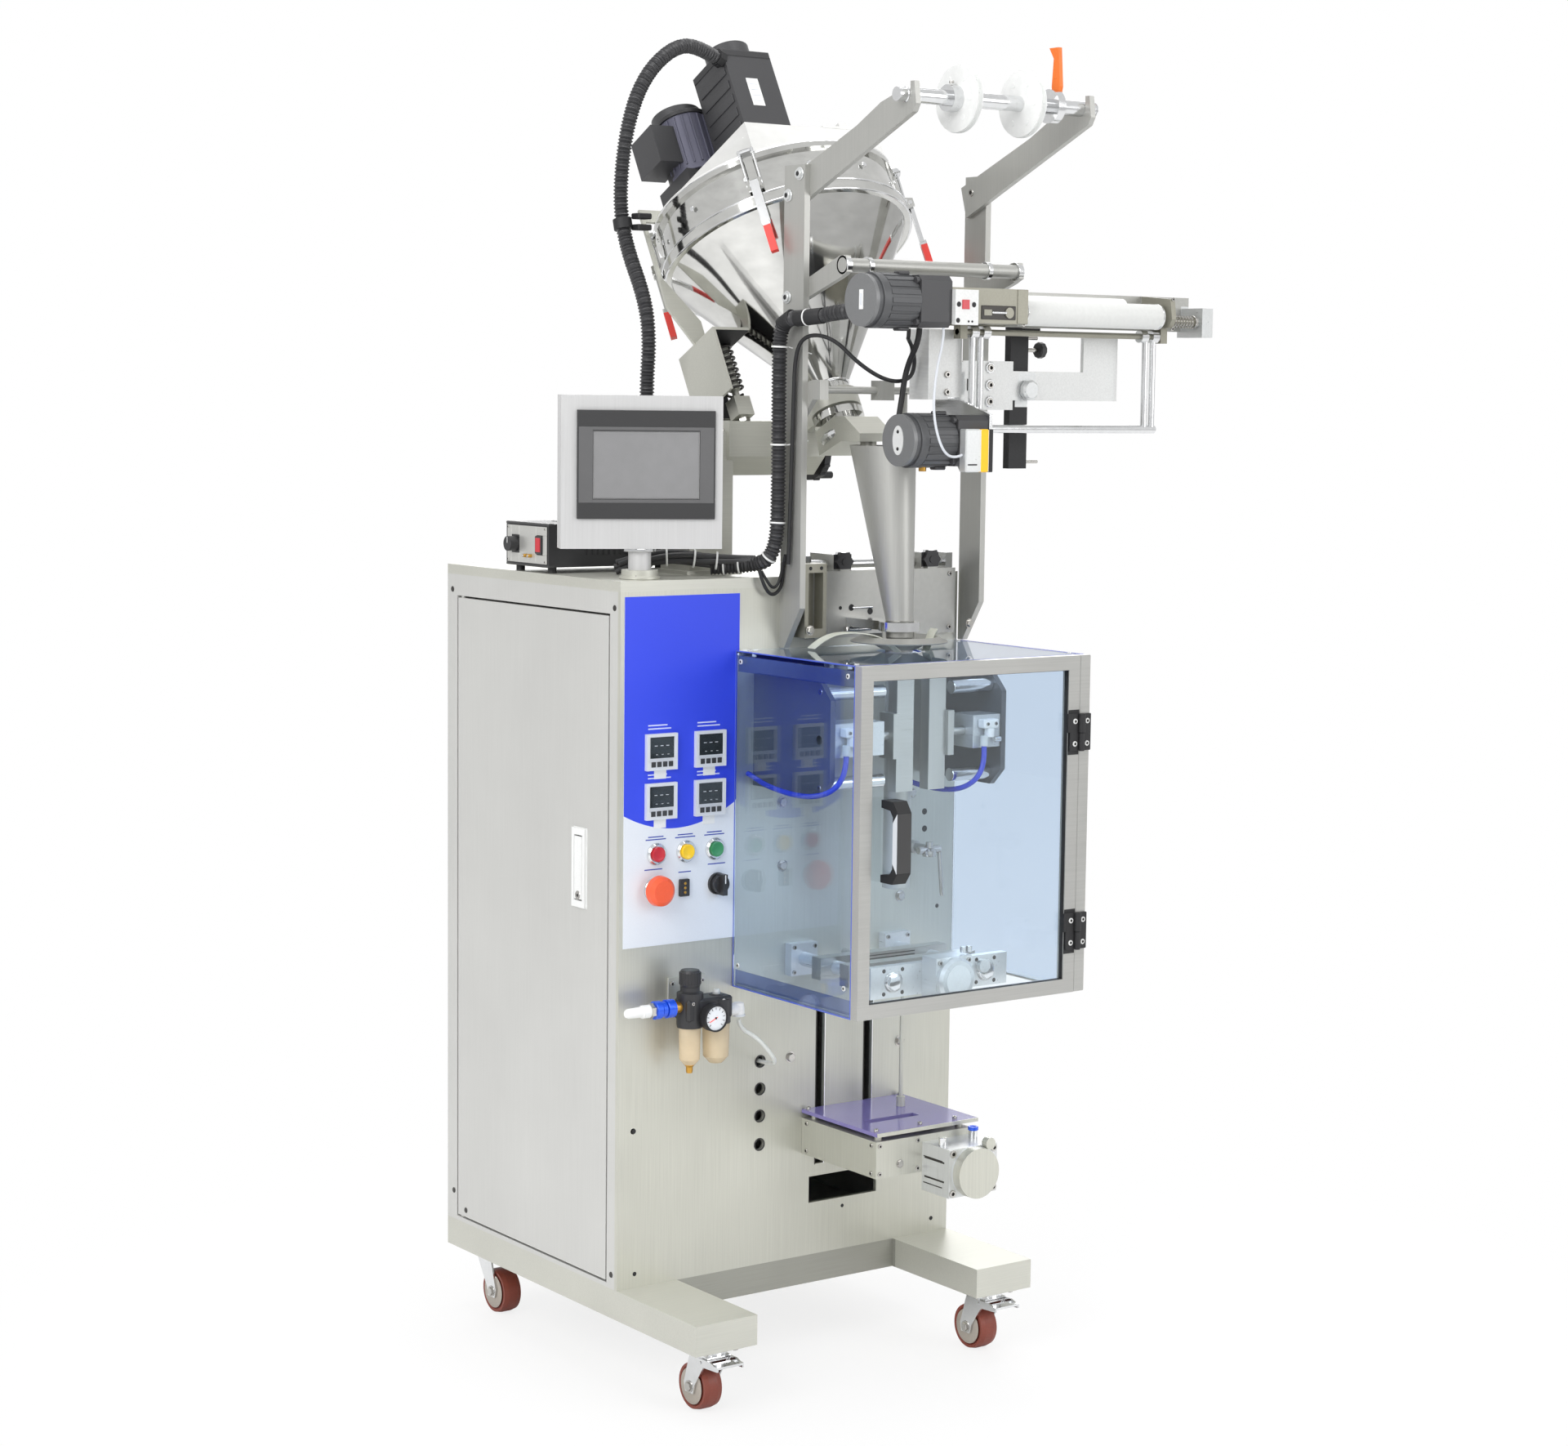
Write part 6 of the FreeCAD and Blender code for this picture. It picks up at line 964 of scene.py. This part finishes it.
sensor.box((392.6, -248.2, 1215.3), (405.6, -233, 1270.8), "sensor_yellow", 1.6)
sensor.box((405.8, -247.8, 1215.3), (412.9, -233, 1270.8), "soft_black", 1)
sensor.box((371, -248.2, 1224), (386, -247.4, 1226), "bezel_black", 0.2)
sensor.done()

# Film roller: end rings.
roll = Piece("film_roller_ends", "film_roller", "bright_steel", "steel")
for x in (493.5, 735):
    roll.ring((x, -200, 1423), "x", 17.5, 9, 2.5, "bright_steel", 40)
roll.done()

# Seal unit: rod nuts, flange screws, standoffs, air fittings and the tubes of the side cylinders.
seal = Piece("seal_fasteners", "machine", "screw_steel", "steel")
for x in (294, 450):
    for dx in (-17, 17):
        for dz in (-17, 17):
            seal.screw((x + dx, -14, 550 + dz), "-y", 3, 2)
            seal.rod((x + dx * 0.9, -205.6, 550 + dz * 0.9), "y", 2.8, 1, "dark_steel", 14)
    seal.ring((x, -208, 550), "y", 12, 9.1, 3, "bright_steel")
    seal.bolt((x, -205, 550), "-y", 11, 7, "bright_steel")
for dx, dz in ((-24, -24), (-24, 24), (24, -24), (24, 24)):
    seal.screw((372 + dx, -235, 550 + dz), "-y", 3.4, 2.4)
seal.spun([(0, 0), (20, 0), (20, 1.2), (0, 1.2)], (372, -244.8, 550), (0, -1, 0), "white_plate", 36)
for x in (395, 405):
    seal.rod((x, -225, 582), "z", 4, 8, "bright_steel", 16)
for x in (219, 501):
    for z in (804, 930):
        seal.screw((x, -150, z), "-x" if x < 300 else "x", 4, 5)
for z in (808, 926):
    seal.rod((223, -146, z), "x", 9, 92, "bright_steel", 28)
    seal.rod((430, -146, z), "x", 9, 67, "bright_steel", 28)
for x in (232, 458):
    seal.box((x, -184, 872), (x + 26, -170, 884), "white_plastic", 1.5)
    seal.rod((x + 13, -179, 860), "z", 6.5, 12, "white_plastic", 20)
    seal.rod((x + 4, -179, 848), "z", 5, 14, "clear_white", 18)
    seal.rod((x + 24, -176, 856), "x", 4, 10, "bright_steel", 16)
    for dx in (6, 20):
        seal.screw((x + dx, -184, 878), "-y", 2.4, 1.6)
seal.done()
air_lines = Piece("air_lines", "machine", "tube_blue", "clear_acrylic")
air_lines.tube(route([(236, -179, 849), (233, -183, 830), (218, -184, 808), (203, -170, 797), (198, -130, 792),
                      (198, -60, 797), (204, -14, 806), (206, -1.5, 808)]), 3.6, None, 14)
air_lines.tube(route([(462, -179, 849), (460, -184, 828), (449, -180, 802), (438, -150, 786), (438, -80, 784),
                      (446, -14, 790), (447, -1.5, 790)]), 3.6, None, 14)
air_lines.done()
jaw = Piece("front_jaw_teeth", "front_seal_jaw", "dark_steel", "steel")
rear = Piece("rear_jaw_teeth", "rear_seal_jaw", "dark_steel", "steel")
for k in range(6):
    z = 538 + 4.4 * k
    jaw.box((322, -130.4, z), (422, -129.7, z + 1.6), None, 0.2)
    rear.box((322, -88.3, z), (422, -87.6, z + 1.6), None, 0.2)
jaw.done()
rear.done()

# Cutter: clear plate screws, box screws, cylinder grooves and end cap screws.
cutter = Piece("cutter_fasteners", "cutter", "screw_steel", "steel")
for x, y in ((306, -8), (306, -160), (440, -160), (464, -8), (380, -160)):
    cutter.screw((x, y, 338), "z", 3.2, 4)
for x in (306, 370):
    for z in (282, 320):
        cutter.screw((x, -168.3, z), "-y", 3.2, 1.6)
for y in (-12, -158):
    for z in (282, 320):
        cutter.screw((300, y, z), "-x", 3.2, 1.6)
cutter.bolt((340, -168.3, 292), "-y", 4.4, 3)
for x in (384, 454):
    for z in (257, 311):
        cutter.screw((x, -226, z), "-y", 5, 2.4)
cutter.box((377.6, -216, 270), (379, -174, 272.4), "dark_steel", 0.2)
cutter.box((377.6, -216, 296), (379, -174, 298.4), "dark_steel", 0.2)
for z in (266, 302):
    cutter.box((377.4, -212, z - 4), (378.4, -172, z - 2.6), "dark_steel", 0.2)
cutter.rod((388, -200, 316), "z", 6, 12, "bright_steel", 20)
cutter.rod((448, -190, 316), "z", 6, 16, "bright_steel", 20)
cutter.ring((448, -190, 328), "z", 7.2, 4.2, 5, "coupler_blue", 20)
cutter.done()

# Guard: clear panes with bright edges, a door frame with hinges and a black handle.
# The side panes take the darker tinted acrylic: painted shade inside the guard.
guard = Piece("guard_panes", "machine", "shade_tinted_acrylic", "clear_acrylic")
guard.box((181, -264, 522), (187, -1, 967.7), chamfer=0.5)
guard.box((557, -264, 522), (563, 0, 967.7), chamfer=0.5)
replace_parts(guard.done(), "guard_panels")


def holed_plate(name, body, look, slot_name, outer, hole_centre, hole_radius, low, high):
    """A level plate with one round hole."""
    piece = Piece(name, body, look, slot_name)
    x0, y0, x1, y1 = outer
    count = 48
    inner, edge = [], []
    for i in range(count):
        a = 2 * math.pi * i / count
        c, s = math.cos(a), math.sin(a)
        inner.append((hole_centre[0] + hole_radius * c, hole_centre[1] + hole_radius * s))
        reach = []
        if abs(c) > 1e-9:
            reach.append(((x1 if c > 0 else x0) - hole_centre[0]) / c)
        if abs(s) > 1e-9:
            reach.append(((y1 if s > 0 else y0) - hole_centre[1]) / s)
        t = min(reach)
        edge.append((hole_centre[0] + t * c, hole_centre[1] + t * s))
    for corner in ((x0, y0), (x1, y0), (x1, y1), (x0, y1)):
        nearest = min(range(count), key=lambda i: math.dist(edge[i], corner))
        edge[nearest] = corner
    verts = [(x, y, z) for z in (low, high) for x, y in inner + edge]
    faces = []
    n = 2 * count
    for i in range(count):
        j = (i + 1) % count
        faces.append((i, j, count + j, count + i))
        faces.append((n + i, n + count + i, n + count + j, n + j))
        faces.append((i, n + i, n + j, j))
        faces.append((count + i, count + j, n + count + j, n + count + i))
    piece.add(verts, faces)
    return piece


# The top pane takes the darker tinted acrylic too: painted shade inside the guard.
top = holed_plate("guard_top_pane", "machine", "shade_tinted_acrylic", "clear_acrylic",
                  (181, -264, 563, -1), (372, -108), 30.5, 968, 974)
top.done()
edges = Piece("guard_edges", "machine", "shade_tinted_acrylic_edge", "clear_acrylic")
for z0, z1 in ((521.6, 523.2), (972.6, 974.3)):
    edges.box((180.8, -264.2, z0), (187.2, -1, z1), None, 0.3)
edges.box((180.7, -264.2, 522), (182.2, -262.4, 974), None, 0.3)
edges.box((180.7, -2.4, 522), (182.2, -1, 974), None, 0.3)
edges.box((181, -264.3, 968.2), (563, -262.6, 974.3), None, 0.3)
edges.box((556.8, -262, 972.8), (563.2, -1, 974.3), None, 0.3)
# Blue strips on the left pane's inner face: painted reflection of the blue panel.
edges.box((187.4, -262, 946), (188.0, -3, 967), "blue_reflection_band", 0.1)
edges.box((187.4, -262, 526), (188.0, -3, 545), "blue_reflection_band", 0.1)
for y in (-14, -250):
    for z in (960, 560 if y < -100 else 552):
        edges.screw((181, y, z), "-x", 3.4, 1.6, "white_plate")
for x, y in ((194, -250), (194, -16), (548, -250), (548, -16)):
    edges.screw((x, y, 974), "z", 3.2, 1.4, "white_plate")
edges.done()
angle_bar = Piece("guard_floor_angle", "machine", "post_steel", "steel")
angle_bar.box((187.4, -262, 522.5), (199, -3, 525.5), None, 0.6)
angle_bar.box((545, -262, 522.5), (556.6, -3, 525.5), None, 0.6)
angle_bar.done()
post = Piece("guard_post", "machine", "aluminium", "aluminium")
post.box((545, -278, 522), (563, -264.3, 974), None, 1.2)
post.done()
HINGES = ((580, 630), (847, 897))
fixed = Piece("guard_hinge_fixed", "machine", "soft_black", "black_plastic")
swing = Piece("guard_hinge_moving", "front_door", "soft_black", "black_plastic")
for low, high in HINGES:
    fixed.box((546, -281.6, low + 0.4), (562.6, -278, high - 0.4), None, 1)
    swing.box((526.4, -281.6, low + 0.4), (543.2, -278, high - 0.4), None, 1)
    for z in (low + 10, high - 10):
        fixed.screw((555, -281.5, z), "-y", 3.6, 1.4, "white_plate")
        swing.screw((534, -281.5, z), "-y", 3.6, 1.4, "white_plate")
    fixed.rod((544.5, -283.3, low + 0.3), "z", 4.2, (high - low) / 2 - 0.6, None, 20)
    swing.rod((544.5, -283.3, (low + high) / 2 + 0.3), "z", 4.2, (high - low) / 2 - 0.6, None, 20)
fixed.done()
swing.done()
pane = Piece("guard_door_pane", "front_door", "door_acrylic", "clear_acrylic")
pane.box((199.8, -273, 540.8), (525.2, -269, 955.2), None, 0.4)
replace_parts(pane.done(), "guard_window")
handle = Piece("guard_handle", "front_door", "soft_black", "black_plastic")
hb, hp, ht, h0 = -273, 34, 106, 697
handle.prism([
    (hb, h0), (hb - hp + 10, h0), (hb - hp, h0 + 14), (hb - hp, h0 + ht - 14), (hb - hp + 10, h0 + ht), (hb, h0 + ht),
    (hb, h0 + ht - 10), (hb - hp + 16, h0 + ht - 12), (hb - hp + 10, h0 + ht - 20), (hb - hp + 10, h0 + 20),
    (hb - hp + 16, h0 + 12), (hb, h0 + 10),
], "yz", 219, 22, "soft_black")
handle.prism([(-306.6, 712), (-306.6, 788), (-298, 776), (-298, 724)], "yz", 218.2, 0.9, "meter_grey")
handle.box((218.8, -307.6, 712), (241.2, -306.4, 788), "bezel_black", 0.5)
handle.done()
gasket = Piece("guard_door_gasket", "front_door", "soft_black", "rubber")
for x0, x1 in ((199.2, 200.6), (524.4, 525.8)):
    gasket.box((x0, -276.5, 540.4), (x1, -268, 955.6), None, 0.3)
for z0, z1 in ((540.2, 541.6), (954.4, 955.8)):
    gasket.box((199.6, -276.5, z0), (525.4, -268, z1), None, 0.3)
gasket.done()

# Tube carriage details: screws, slots with rods and the white film guides at the shoulder.
carriage = Piece("carriage_details", "machine", "screw_steel", "steel")
for x, z, r in ((345.3, 1026, 2.6), (364, 1026, 4.6), (396, 1020, 4.6)):
    carriage.rod((x, -12.5, z), "y", r, 0.7, "soft_black", 18)
carriage.rod((364, -15, 1026), "x", 1.6, 34, "bright_steel", 12)
carriage.rod((352, -20, 997), "x", 2.4, 40, "bright_steel", 12)
carriage.bolt((352, -20, 997), "-x", 5, 4, washer=False)
for x in (312, 534):
    for z in (994, 1068):
        carriage.screw((x, -12, z), "-y", 3.6, 2)
for x in (280, 298):
    carriage.rod((x, -32.6, 1082), "y", 2.6, 0.8, "soft_black", 14)
carriage.done()
guides = Piece("film_guides", "machine", "milky_film", "white_plastic")
for side in (-1, 1):
    path = route([(372 + side * 24, -136, 975.5), (372 + side * 40, -124, 994), (372 + side * 70, -96, 1001),
                  (372 + side * 92, -66, 994), (372 + side * 98, -44, 976)])
    fold = []
    for width in (-9, 9):
        fold.append([p + Vector((0, width * 0.9, 0)) for p in path])
    verts, faces = [], []
    for a, b in zip(*fold):
        verts += [a, b, b + Vector((0, 0, 1.4)), a + Vector((0, 0, 1.4))]
    for i in range(len(path) - 1):
        o = 4 * i
        for k in range(4):
            m = (k + 1) % 4
            face = (o + k, o + m, o + 4 + m, o + 4 + k)
            faces.append(face if side > 0 else face[::-1])
    ends = [(3, 2, 1, 0), tuple(4 * (len(path) - 1) + k for k in range(4))]
    faces += [e if side > 0 else e[::-1] for e in ends]
    guides.add(verts, faces)
guides.done()
seam = Piece("forming_tube_seams", "machine", "brushed_steel", "polished_steel")
for z in (1014, 992):
    seam.spun([(18.6, z - 1), (19.6, z), (18.6, z + 1)], (372, -108, 0), "z", None, 48, loop=True)
seam.done()

# Air unit: black body, gauge, amber bowls, blue coupler, white plug and elbow.
air = Piece("air_unit_body", "machine", "black_plastic", "black_plastic")
air.box((72, -57, 493), (144, -23, 523), None, 3)
air.spun([(17, 484), (17.6, 488), (17.6, 530), (13, 532), (13, 538), (8, 538), (4.2, 538), (4.2, 484)],
         (86, -40, 0), "z", None, 36, loop=True)
air.spun([(0, 486), (19.4, 486), (19.4, 518), (14, 520), (9, 524), (0, 524)], (128, -40, 0), "z", None, 36)
air.spun([(0, 524), (5, 524), (5.4, 527), (4, 530), (0, 530.5)], (128, -40, 0), "z", "clear_white", 24)
air.box((76, -23, 508), (136, -3, 512), "front_steel", 0.6)
air.box((76, -3.2, 498), (136, -0.2, 544), "front_steel", 0.6)
for x in (82, 130):
    air.screw((x, -3.2, 536), "-y", 3, 2)
    air.screw((x - 2, -57, 518), "-y", 2.4, 1.2)
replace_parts(air.done(), "air_unit")
bowls = Piece("air_unit_bowls", "machine", "amber", "clear_acrylic")
bowls.spun([(0, 434), (8, 434), (13.6, 441), (14.6, 486), (0, 486)], (86, -40, 0), "z", None, 36)
bowls.spun([(0, 432), (9, 432), (17.2, 441), (18.4, 486), (0, 486)], (128, -40, 0), "z", None, 36)
bowls.done()
fittings = Piece("air_unit_fittings", "machine", "white_plastic", "white_plastic")
fittings.spun([(0, 0), (5, 0), (6.4, 3), (7.0, 20), (7.0, 24), (0, 24)], (-14, -40, 512), "x", None, 24)
fittings.rod((10, -40, 512), "x", 8.6, 12, "white_plastic", 28)
fittings.ring((22, -40, 512), "x", 10.4, 3, 7, "screw_steel", 6)
for x, r, long in ((29, 12.2, 9), (39, 10.6, 7), (47, 12.4, 12)):
    fittings.ring((x, -40, 512), "x", r, 3, long, "coupler_blue", 36)
fittings.rod((58, -40, 512), "x", 7.4, 15, "brass", 24)
fittings.rod((144, -40, 500), "x", 8.4, 18, "white_plastic", 28)
fittings.spun([(0, 489.8), (8.4, 489.8), (8.4, 500), (7, 508), (0, 509)],
              (164, -40, 0), "z", "white_plastic", 28)
fittings.ring((164, -40, 489.9), "z", 9.2, 3.1, 3, "meter_grey", 28)
fittings.spun([(0, 0), (4, 0), (4.6, 3), (4.6, 8), (6.4, 10), (6.4, 13), (0, 13)],
              (86, -40, 422.5), "z", "brass", 20)
fittings.done()
dial_face = Piece("air_gauge", "machine", "black_plastic", "black_plastic")
dial_face.ring((108, -71, 498), "y", 18.2, 16, 14, "soft_black", 48)
dial_face.spun([(0, 0), (16.2, 0), (16.2, 1), (0, 1)], (108, -68, 498), (0, -1, 0), "gauge_face", 40)
dial_face.rod((108, -69.9, 498), "y", 1.6, 1.4, "soft_black", 16)
for k in range(11):
    a = math.radians(225 - 27 * k)
    spot = Matrix.Translation((108, -69.2, 498)) @ Matrix.Rotation(-a, 4, "Y")
    dial_face.box((11.2, -0.2, -0.35), (14.4, 0.2, 0.35), "soft_black", 0.1, turned=spot)
# The red needle glows: painted light.
spot = Matrix.Translation((108, -69.4, 498)) @ Matrix.Rotation(math.radians(-205), 4, "Y")
dial_face.box((-3, -0.2, -0.5), (11, 0.2, 0.5), "glowing_needle_red", 0.1, turned=spot)
dial_face.done()
knob = Piece("regulator_knob_ribs", "air_knob", "black_plastic", "black_plastic")
for a in around(24):
    knob.rod((86 + 13.8 * math.cos(a), -40 + 13.8 * math.sin(a), 541.5), "z", 0.9, 16, None, 8)
knob.done()

# Castors: hub, fork bolts and swivel rings.
for place, x, y, trail in (
    ("left_front", 48, -150, 22), ("right_front", 510, -150, 22),
    ("left_rear", 48, 400, -22), ("right_rear", 510, 400, -22),
):
    hub = Piece("wheel_hub_" + place, "wheel_" + place, "hub", "steel")
    wy = y + trail
    for sx, side_x in ((-1, x - 14), (1, x + 14)):
        hub.spun([(6, 0), (22, 0), (24, 0.8), (22.5, 1.6), (9, 1.0), (6, 1.4)],
                 (side_x - 0.2 * sx, wy, 31.5), (sx, 0, 0), "hub", 36, loop=True)
    hub.done()
    fork = Piece("fork_bolts_" + place, "fork_" + place, "screw_steel", "steel")
    for sx in (-1, 1):
        fork.bolt((x + 18 * sx, wy, 31.5), "-x" if sx < 0 else "x", 6, 3.4)
    fork.ring((x, y, 76), "z", 20, 6, 9, "bright_steel", 36)
    fork.done()
    bolts = Piece("castor_bolts_" + place, "machine", "screw_steel", "steel")
    for dx in (-23, 23):
        for dy in (-23, 23):
            bolts.bolt((x + dx, y + dy, 88), "-z", 4, 3)
    bolts.done()

# Hoses and tubes that the machine holds: ribbed cable hoses, cable loops, ties and air tubes.
hoses = Piece("cable_hoses", "machine", "hose_black", "rubber")
SERVO_HOSE = [
    (325, 262, 1775), (283, 254, 1792), (236, 246, 1784), (186, 240, 1740), (154, 232, 1672), (148, 240, 1580),
    (150, 228, 1515), (150, 178, 1440), (150, 165, 1385), (150, 172, 1320), (147, 165, 1200), (145, 165, 1070.3),
]
MOTOR_HOSE = [
    (262, -165.8, 1422), (262, -130, 1421), (240, -75, 1412), (238, -16, 1412), (237, -14, 1350),
    (240, -12, 1200), (238, -12, 1096), (220, 30, 1082.8), (180, 60, 1080.8),
]
CABLES = (
    ([(345, -175, 1399.7), (345, -175, 1384), (352, -140, 1350), (346, -138, 1305), (335, -142, 1262),
      (335, -165.9, 1262)], 3.9, "soft_black"),
    ([(246.5, -27, 1088), (247, -30, 1180), (247.5, -33, 1300), (246, -38, 1372), (249, -62, 1392),
      (263, -100, 1386), (290, -120, 1352), (330, -130, 1330), (366, -130, 1333), (373, -132, 1354),
      (360, -142, 1376), (341, -156, 1387), (330, -172, 1388), (330, -172, 1399.7)], 2.7, "soft_black"),
    ([(345, -225, 1399.7), (345, -226, 1385), (322, -240, 1345), (312, -247, 1290), (326, -248, 1245),
      (350, -243, 1232), (367.2, -241, 1238)], 1.7, "meter_grey"),
    ([(229, 30, 413), (229, -20, 413), (215, -60, 425), (188, -52, 460), (164, -40, 474),
      (164, -40, 489.7)], 2.9, "clear_white"),
)


def ribs(distance):
    return 9.2 + 1.25 * math.sin(2 * math.pi * distance / 4.8)


lines = [even(route(line, 20), 1.1) for line in (SERVO_HOSE, MOTOR_HOSE)]
for line in lines:
    hoses.tube(line, 10, "hose_black", 18, ribs)
for points, radius, look in CABLES:
    hoses.tube(even(route(points), 5), radius, look, 10)


def wrap(piece, line, spot, radius, long, look):
    """A band round the hose at the point of the line that lies nearest the spot."""
    spot = Vector(spot)
    near = min(range(1, len(line) - 1), key=lambda i: (line[i] - spot).length)
    way = (line[near + 1] - line[near - 1]).normalized()
    piece.ring(tuple(line[near] - way * long / 2), way, radius, 8.6, long, look, 28)


wrap(hoses, lines[1], (240, -75, 1412), 10.6, 46, "soft_black")
wrap(hoses, lines[1], (238, -30, 1408), 10.4, 26, "soft_black")
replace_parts(hoses.done(60), "hoses")
bands = Piece("cable_ties", "machine", "white_plastic", "white_plastic")
for spot in ((240, -70, 1412), (237, -15, 1375), (239, -12, 1246), (238, -12, 1143), (234, -2, 1096),
             (214, 38, 1082), (196, 50, 1081)):
    wrap(bands, lines[1], spot, 11.3, 2.4, "white_plastic")
bands.tube(route([(248, -18, 1375), (262, -28, 1370), (276, -34, 1366)]), 0.9, None, 6)
bands.tube(route([(246, -22, 1246), (256, -30, 1248), (268, -40, 1252)]), 0.9, None, 6)
BUNDLE = [(226, 18, 1088), (200, 44, 1088), (168, 62, 1092), (134, 80, 1096), (100, 104, 1092), (78, 130, 1080)]
bundle_line = route(BUNDLE, 20)
for spot in ((186, 52, 1090), (160, 66, 1093), (128, 84, 1096), (104, 100, 1093)):
    near = min(range(1, len(bundle_line) - 1), key=lambda i: (bundle_line[i] - Vector(spot)).length)
    way = (bundle_line[near + 1] - bundle_line[near - 1]).normalized()
    bands.ring(tuple(bundle_line[near]), way, 12.6, 11.6, 2.6, None, 28)
bands.done()
grips = Piece("hose_clamps", "machine", "soft_black", "black_plastic")
wrap(grips, lines[0], (150, 216, 1544), 13, 15, "soft_black")
grips.box((158, 206, 1532), (180, 226, 1540), None, 1.5)
grips.box((158, 206, 1547), (180, 226, 1555), None, 1.5)
grips.ring((330, 262, 1775), (-1, -0.2, 0.4), 12.6, 8, 12, "soft_black", 8)
for k in range(5):
    twist = []
    for i, spot in enumerate(BUNDLE):
        a = 1.26 * k + 0.5 * i
        twist.append(Vector(spot) + Vector((0, 6.4 * math.cos(a), 6.4 * math.sin(a))))
    grips.tube(route(twist), 4.2, "hose_black", 10)
grips.done()
loop = Piece("cable_loops", "machine", "soft_black", "rubber")
loop.tube(route([(214, -6.5, 1080), (216, -12, 1062), (232, -10, 1044), (250, -9, 1056), (250, -9.5, 1082),
                 (247, -20, 1100)]), 2.4, None, 10)
loop.tube(route([(218, -6, 1079), (222, -12, 1066), (234, -12, 1054), (245, -12, 1066), (246, -16, 1090)]),
          2.0, None, 10)
loop.done()

# World, lamps and floor.
world = bpy.data.worlds.new("studio")
bpy.context.scene.world = world
world.use_nodes = True
wt = world.node_tree
background = wt.nodes["Background"]
rays = nd(wt, "ShaderNodeLightPath").outputs
seen = nd(wt, "ShaderNodeMath", {0: rays["Is Camera Ray"], 1: rays["Is Transmission Ray"]}, operation="MAXIMUM")
height = nd(wt, "ShaderNodeSeparateXYZ", {0: nd(wt, "ShaderNodeTexCoord").outputs["Generated"]}).outputs["Z"]
climb = nd(wt, "ShaderNodeMapRange", {
    "Value": height, "From Min": -0.3, "From Max": 0.9, "To Min": 0.42, "To Max": 0.72,
})
gloss = nd(wt, "ShaderNodeMix", {0: rays["Is Glossy Ray"], 2: climb.outputs[0], 3: 0.82})
strength = nd(wt, "ShaderNodeMix", {0: seen.outputs[0], 2: gloss.outputs[0], 3: 1.0})
feed(wt, background.inputs["Strength"], strength.outputs[0])
background.inputs["Color"].default_value = (1, 1, 1, 1)


def lamp(name, place, target, size, power):
    data = bpy.data.lights.new(name, "AREA")
    data.shape = "RECTANGLE"
    data.size, data.size_y = size
    data.energy = power
    item = bpy.data.objects.new(name, data)
    bpy.context.scene.collection.objects.link(item)
    item.location = place
    item.rotation_mode = "QUATERNION"
    item.rotation_quaternion = (Vector(target) - Vector(place)).to_track_quat("-Z", "Y")


lamp("key", (-3.6, -1.6, 3.0), (0, 0, 0.9), (2.4, 2.4), 95)
lamp("fill", (1.8, -4.2, 2.4), (0, 0, 0.9), (2.4, 2.4), 60)
lamp("top", (0.2, 0.2, 4.4), (0, 0, 0.9), (2.6, 2.6), 60)
lamp("back", (2.6, 3.6, 2.6), (0, 0, 1.0), (2.0, 2.0), 40)

floor_mesh = bpy.data.meshes.new("floor")
REACH = 40
corners = [(x * REACH, y * REACH, 0) for x, y in ((-1, -1), (1, -1), (1, 1), (-1, 1))]
floor_mesh.from_pydata(corners, [], [(0, 1, 2, 3)])
floor = bpy.data.objects.new("floor", floor_mesh)
bpy.context.scene.collection.objects.link(floor)
floor.location = (0, 0, -0.0005)
floor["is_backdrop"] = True
pale = bpy.data.materials.new("pale_floor")
pale.use_nodes = True
ft = pale.node_tree
paint = ft.nodes["Principled BSDF"]
paint.inputs["Base Color"].default_value = (0.9, 0.9, 0.9, 1)
paint.inputs["Roughness"].default_value = 0.7
paint.inputs["Specular IOR Level"].default_value = 0.1
glow = nd(ft, "ShaderNodeEmission", {"Color": (1, 1, 1, 1)})
place = nd(ft, "ShaderNodeTexCoord").outputs["Object"]
reach = nd(ft, "ShaderNodeVectorMath", {0: place}, operation="LENGTH").outputs["Value"]
fade = nd(ft, "ShaderNodeMapRange", {
    "Value": reach, "From Min": 0.4, "From Max": 1.2, "To Min": 0.8, "To Max": 1.0,
})
rays = nd(ft, "ShaderNodeLightPath").outputs
shown = nd(ft, "ShaderNodeMath", {0: rays["Is Camera Ray"], 1: rays["Is Transmission Ray"]}, operation="MAXIMUM")
amount = nd(ft, "ShaderNodeMath", {0: fade.outputs[0], 1: shown.outputs[0]}, operation="MULTIPLY")
either = nd(ft, "ShaderNodeMixShader", {0: amount.outputs[0], 1: paint.outputs[0], 2: glow.outputs[0]})
feed(ft, ft.nodes["Material Output"].inputs["Surface"], either.outputs[0])
floor_mesh.materials.append(pale)

bpy.context.scene.view_settings.view_transform = "Standard"

low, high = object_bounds()
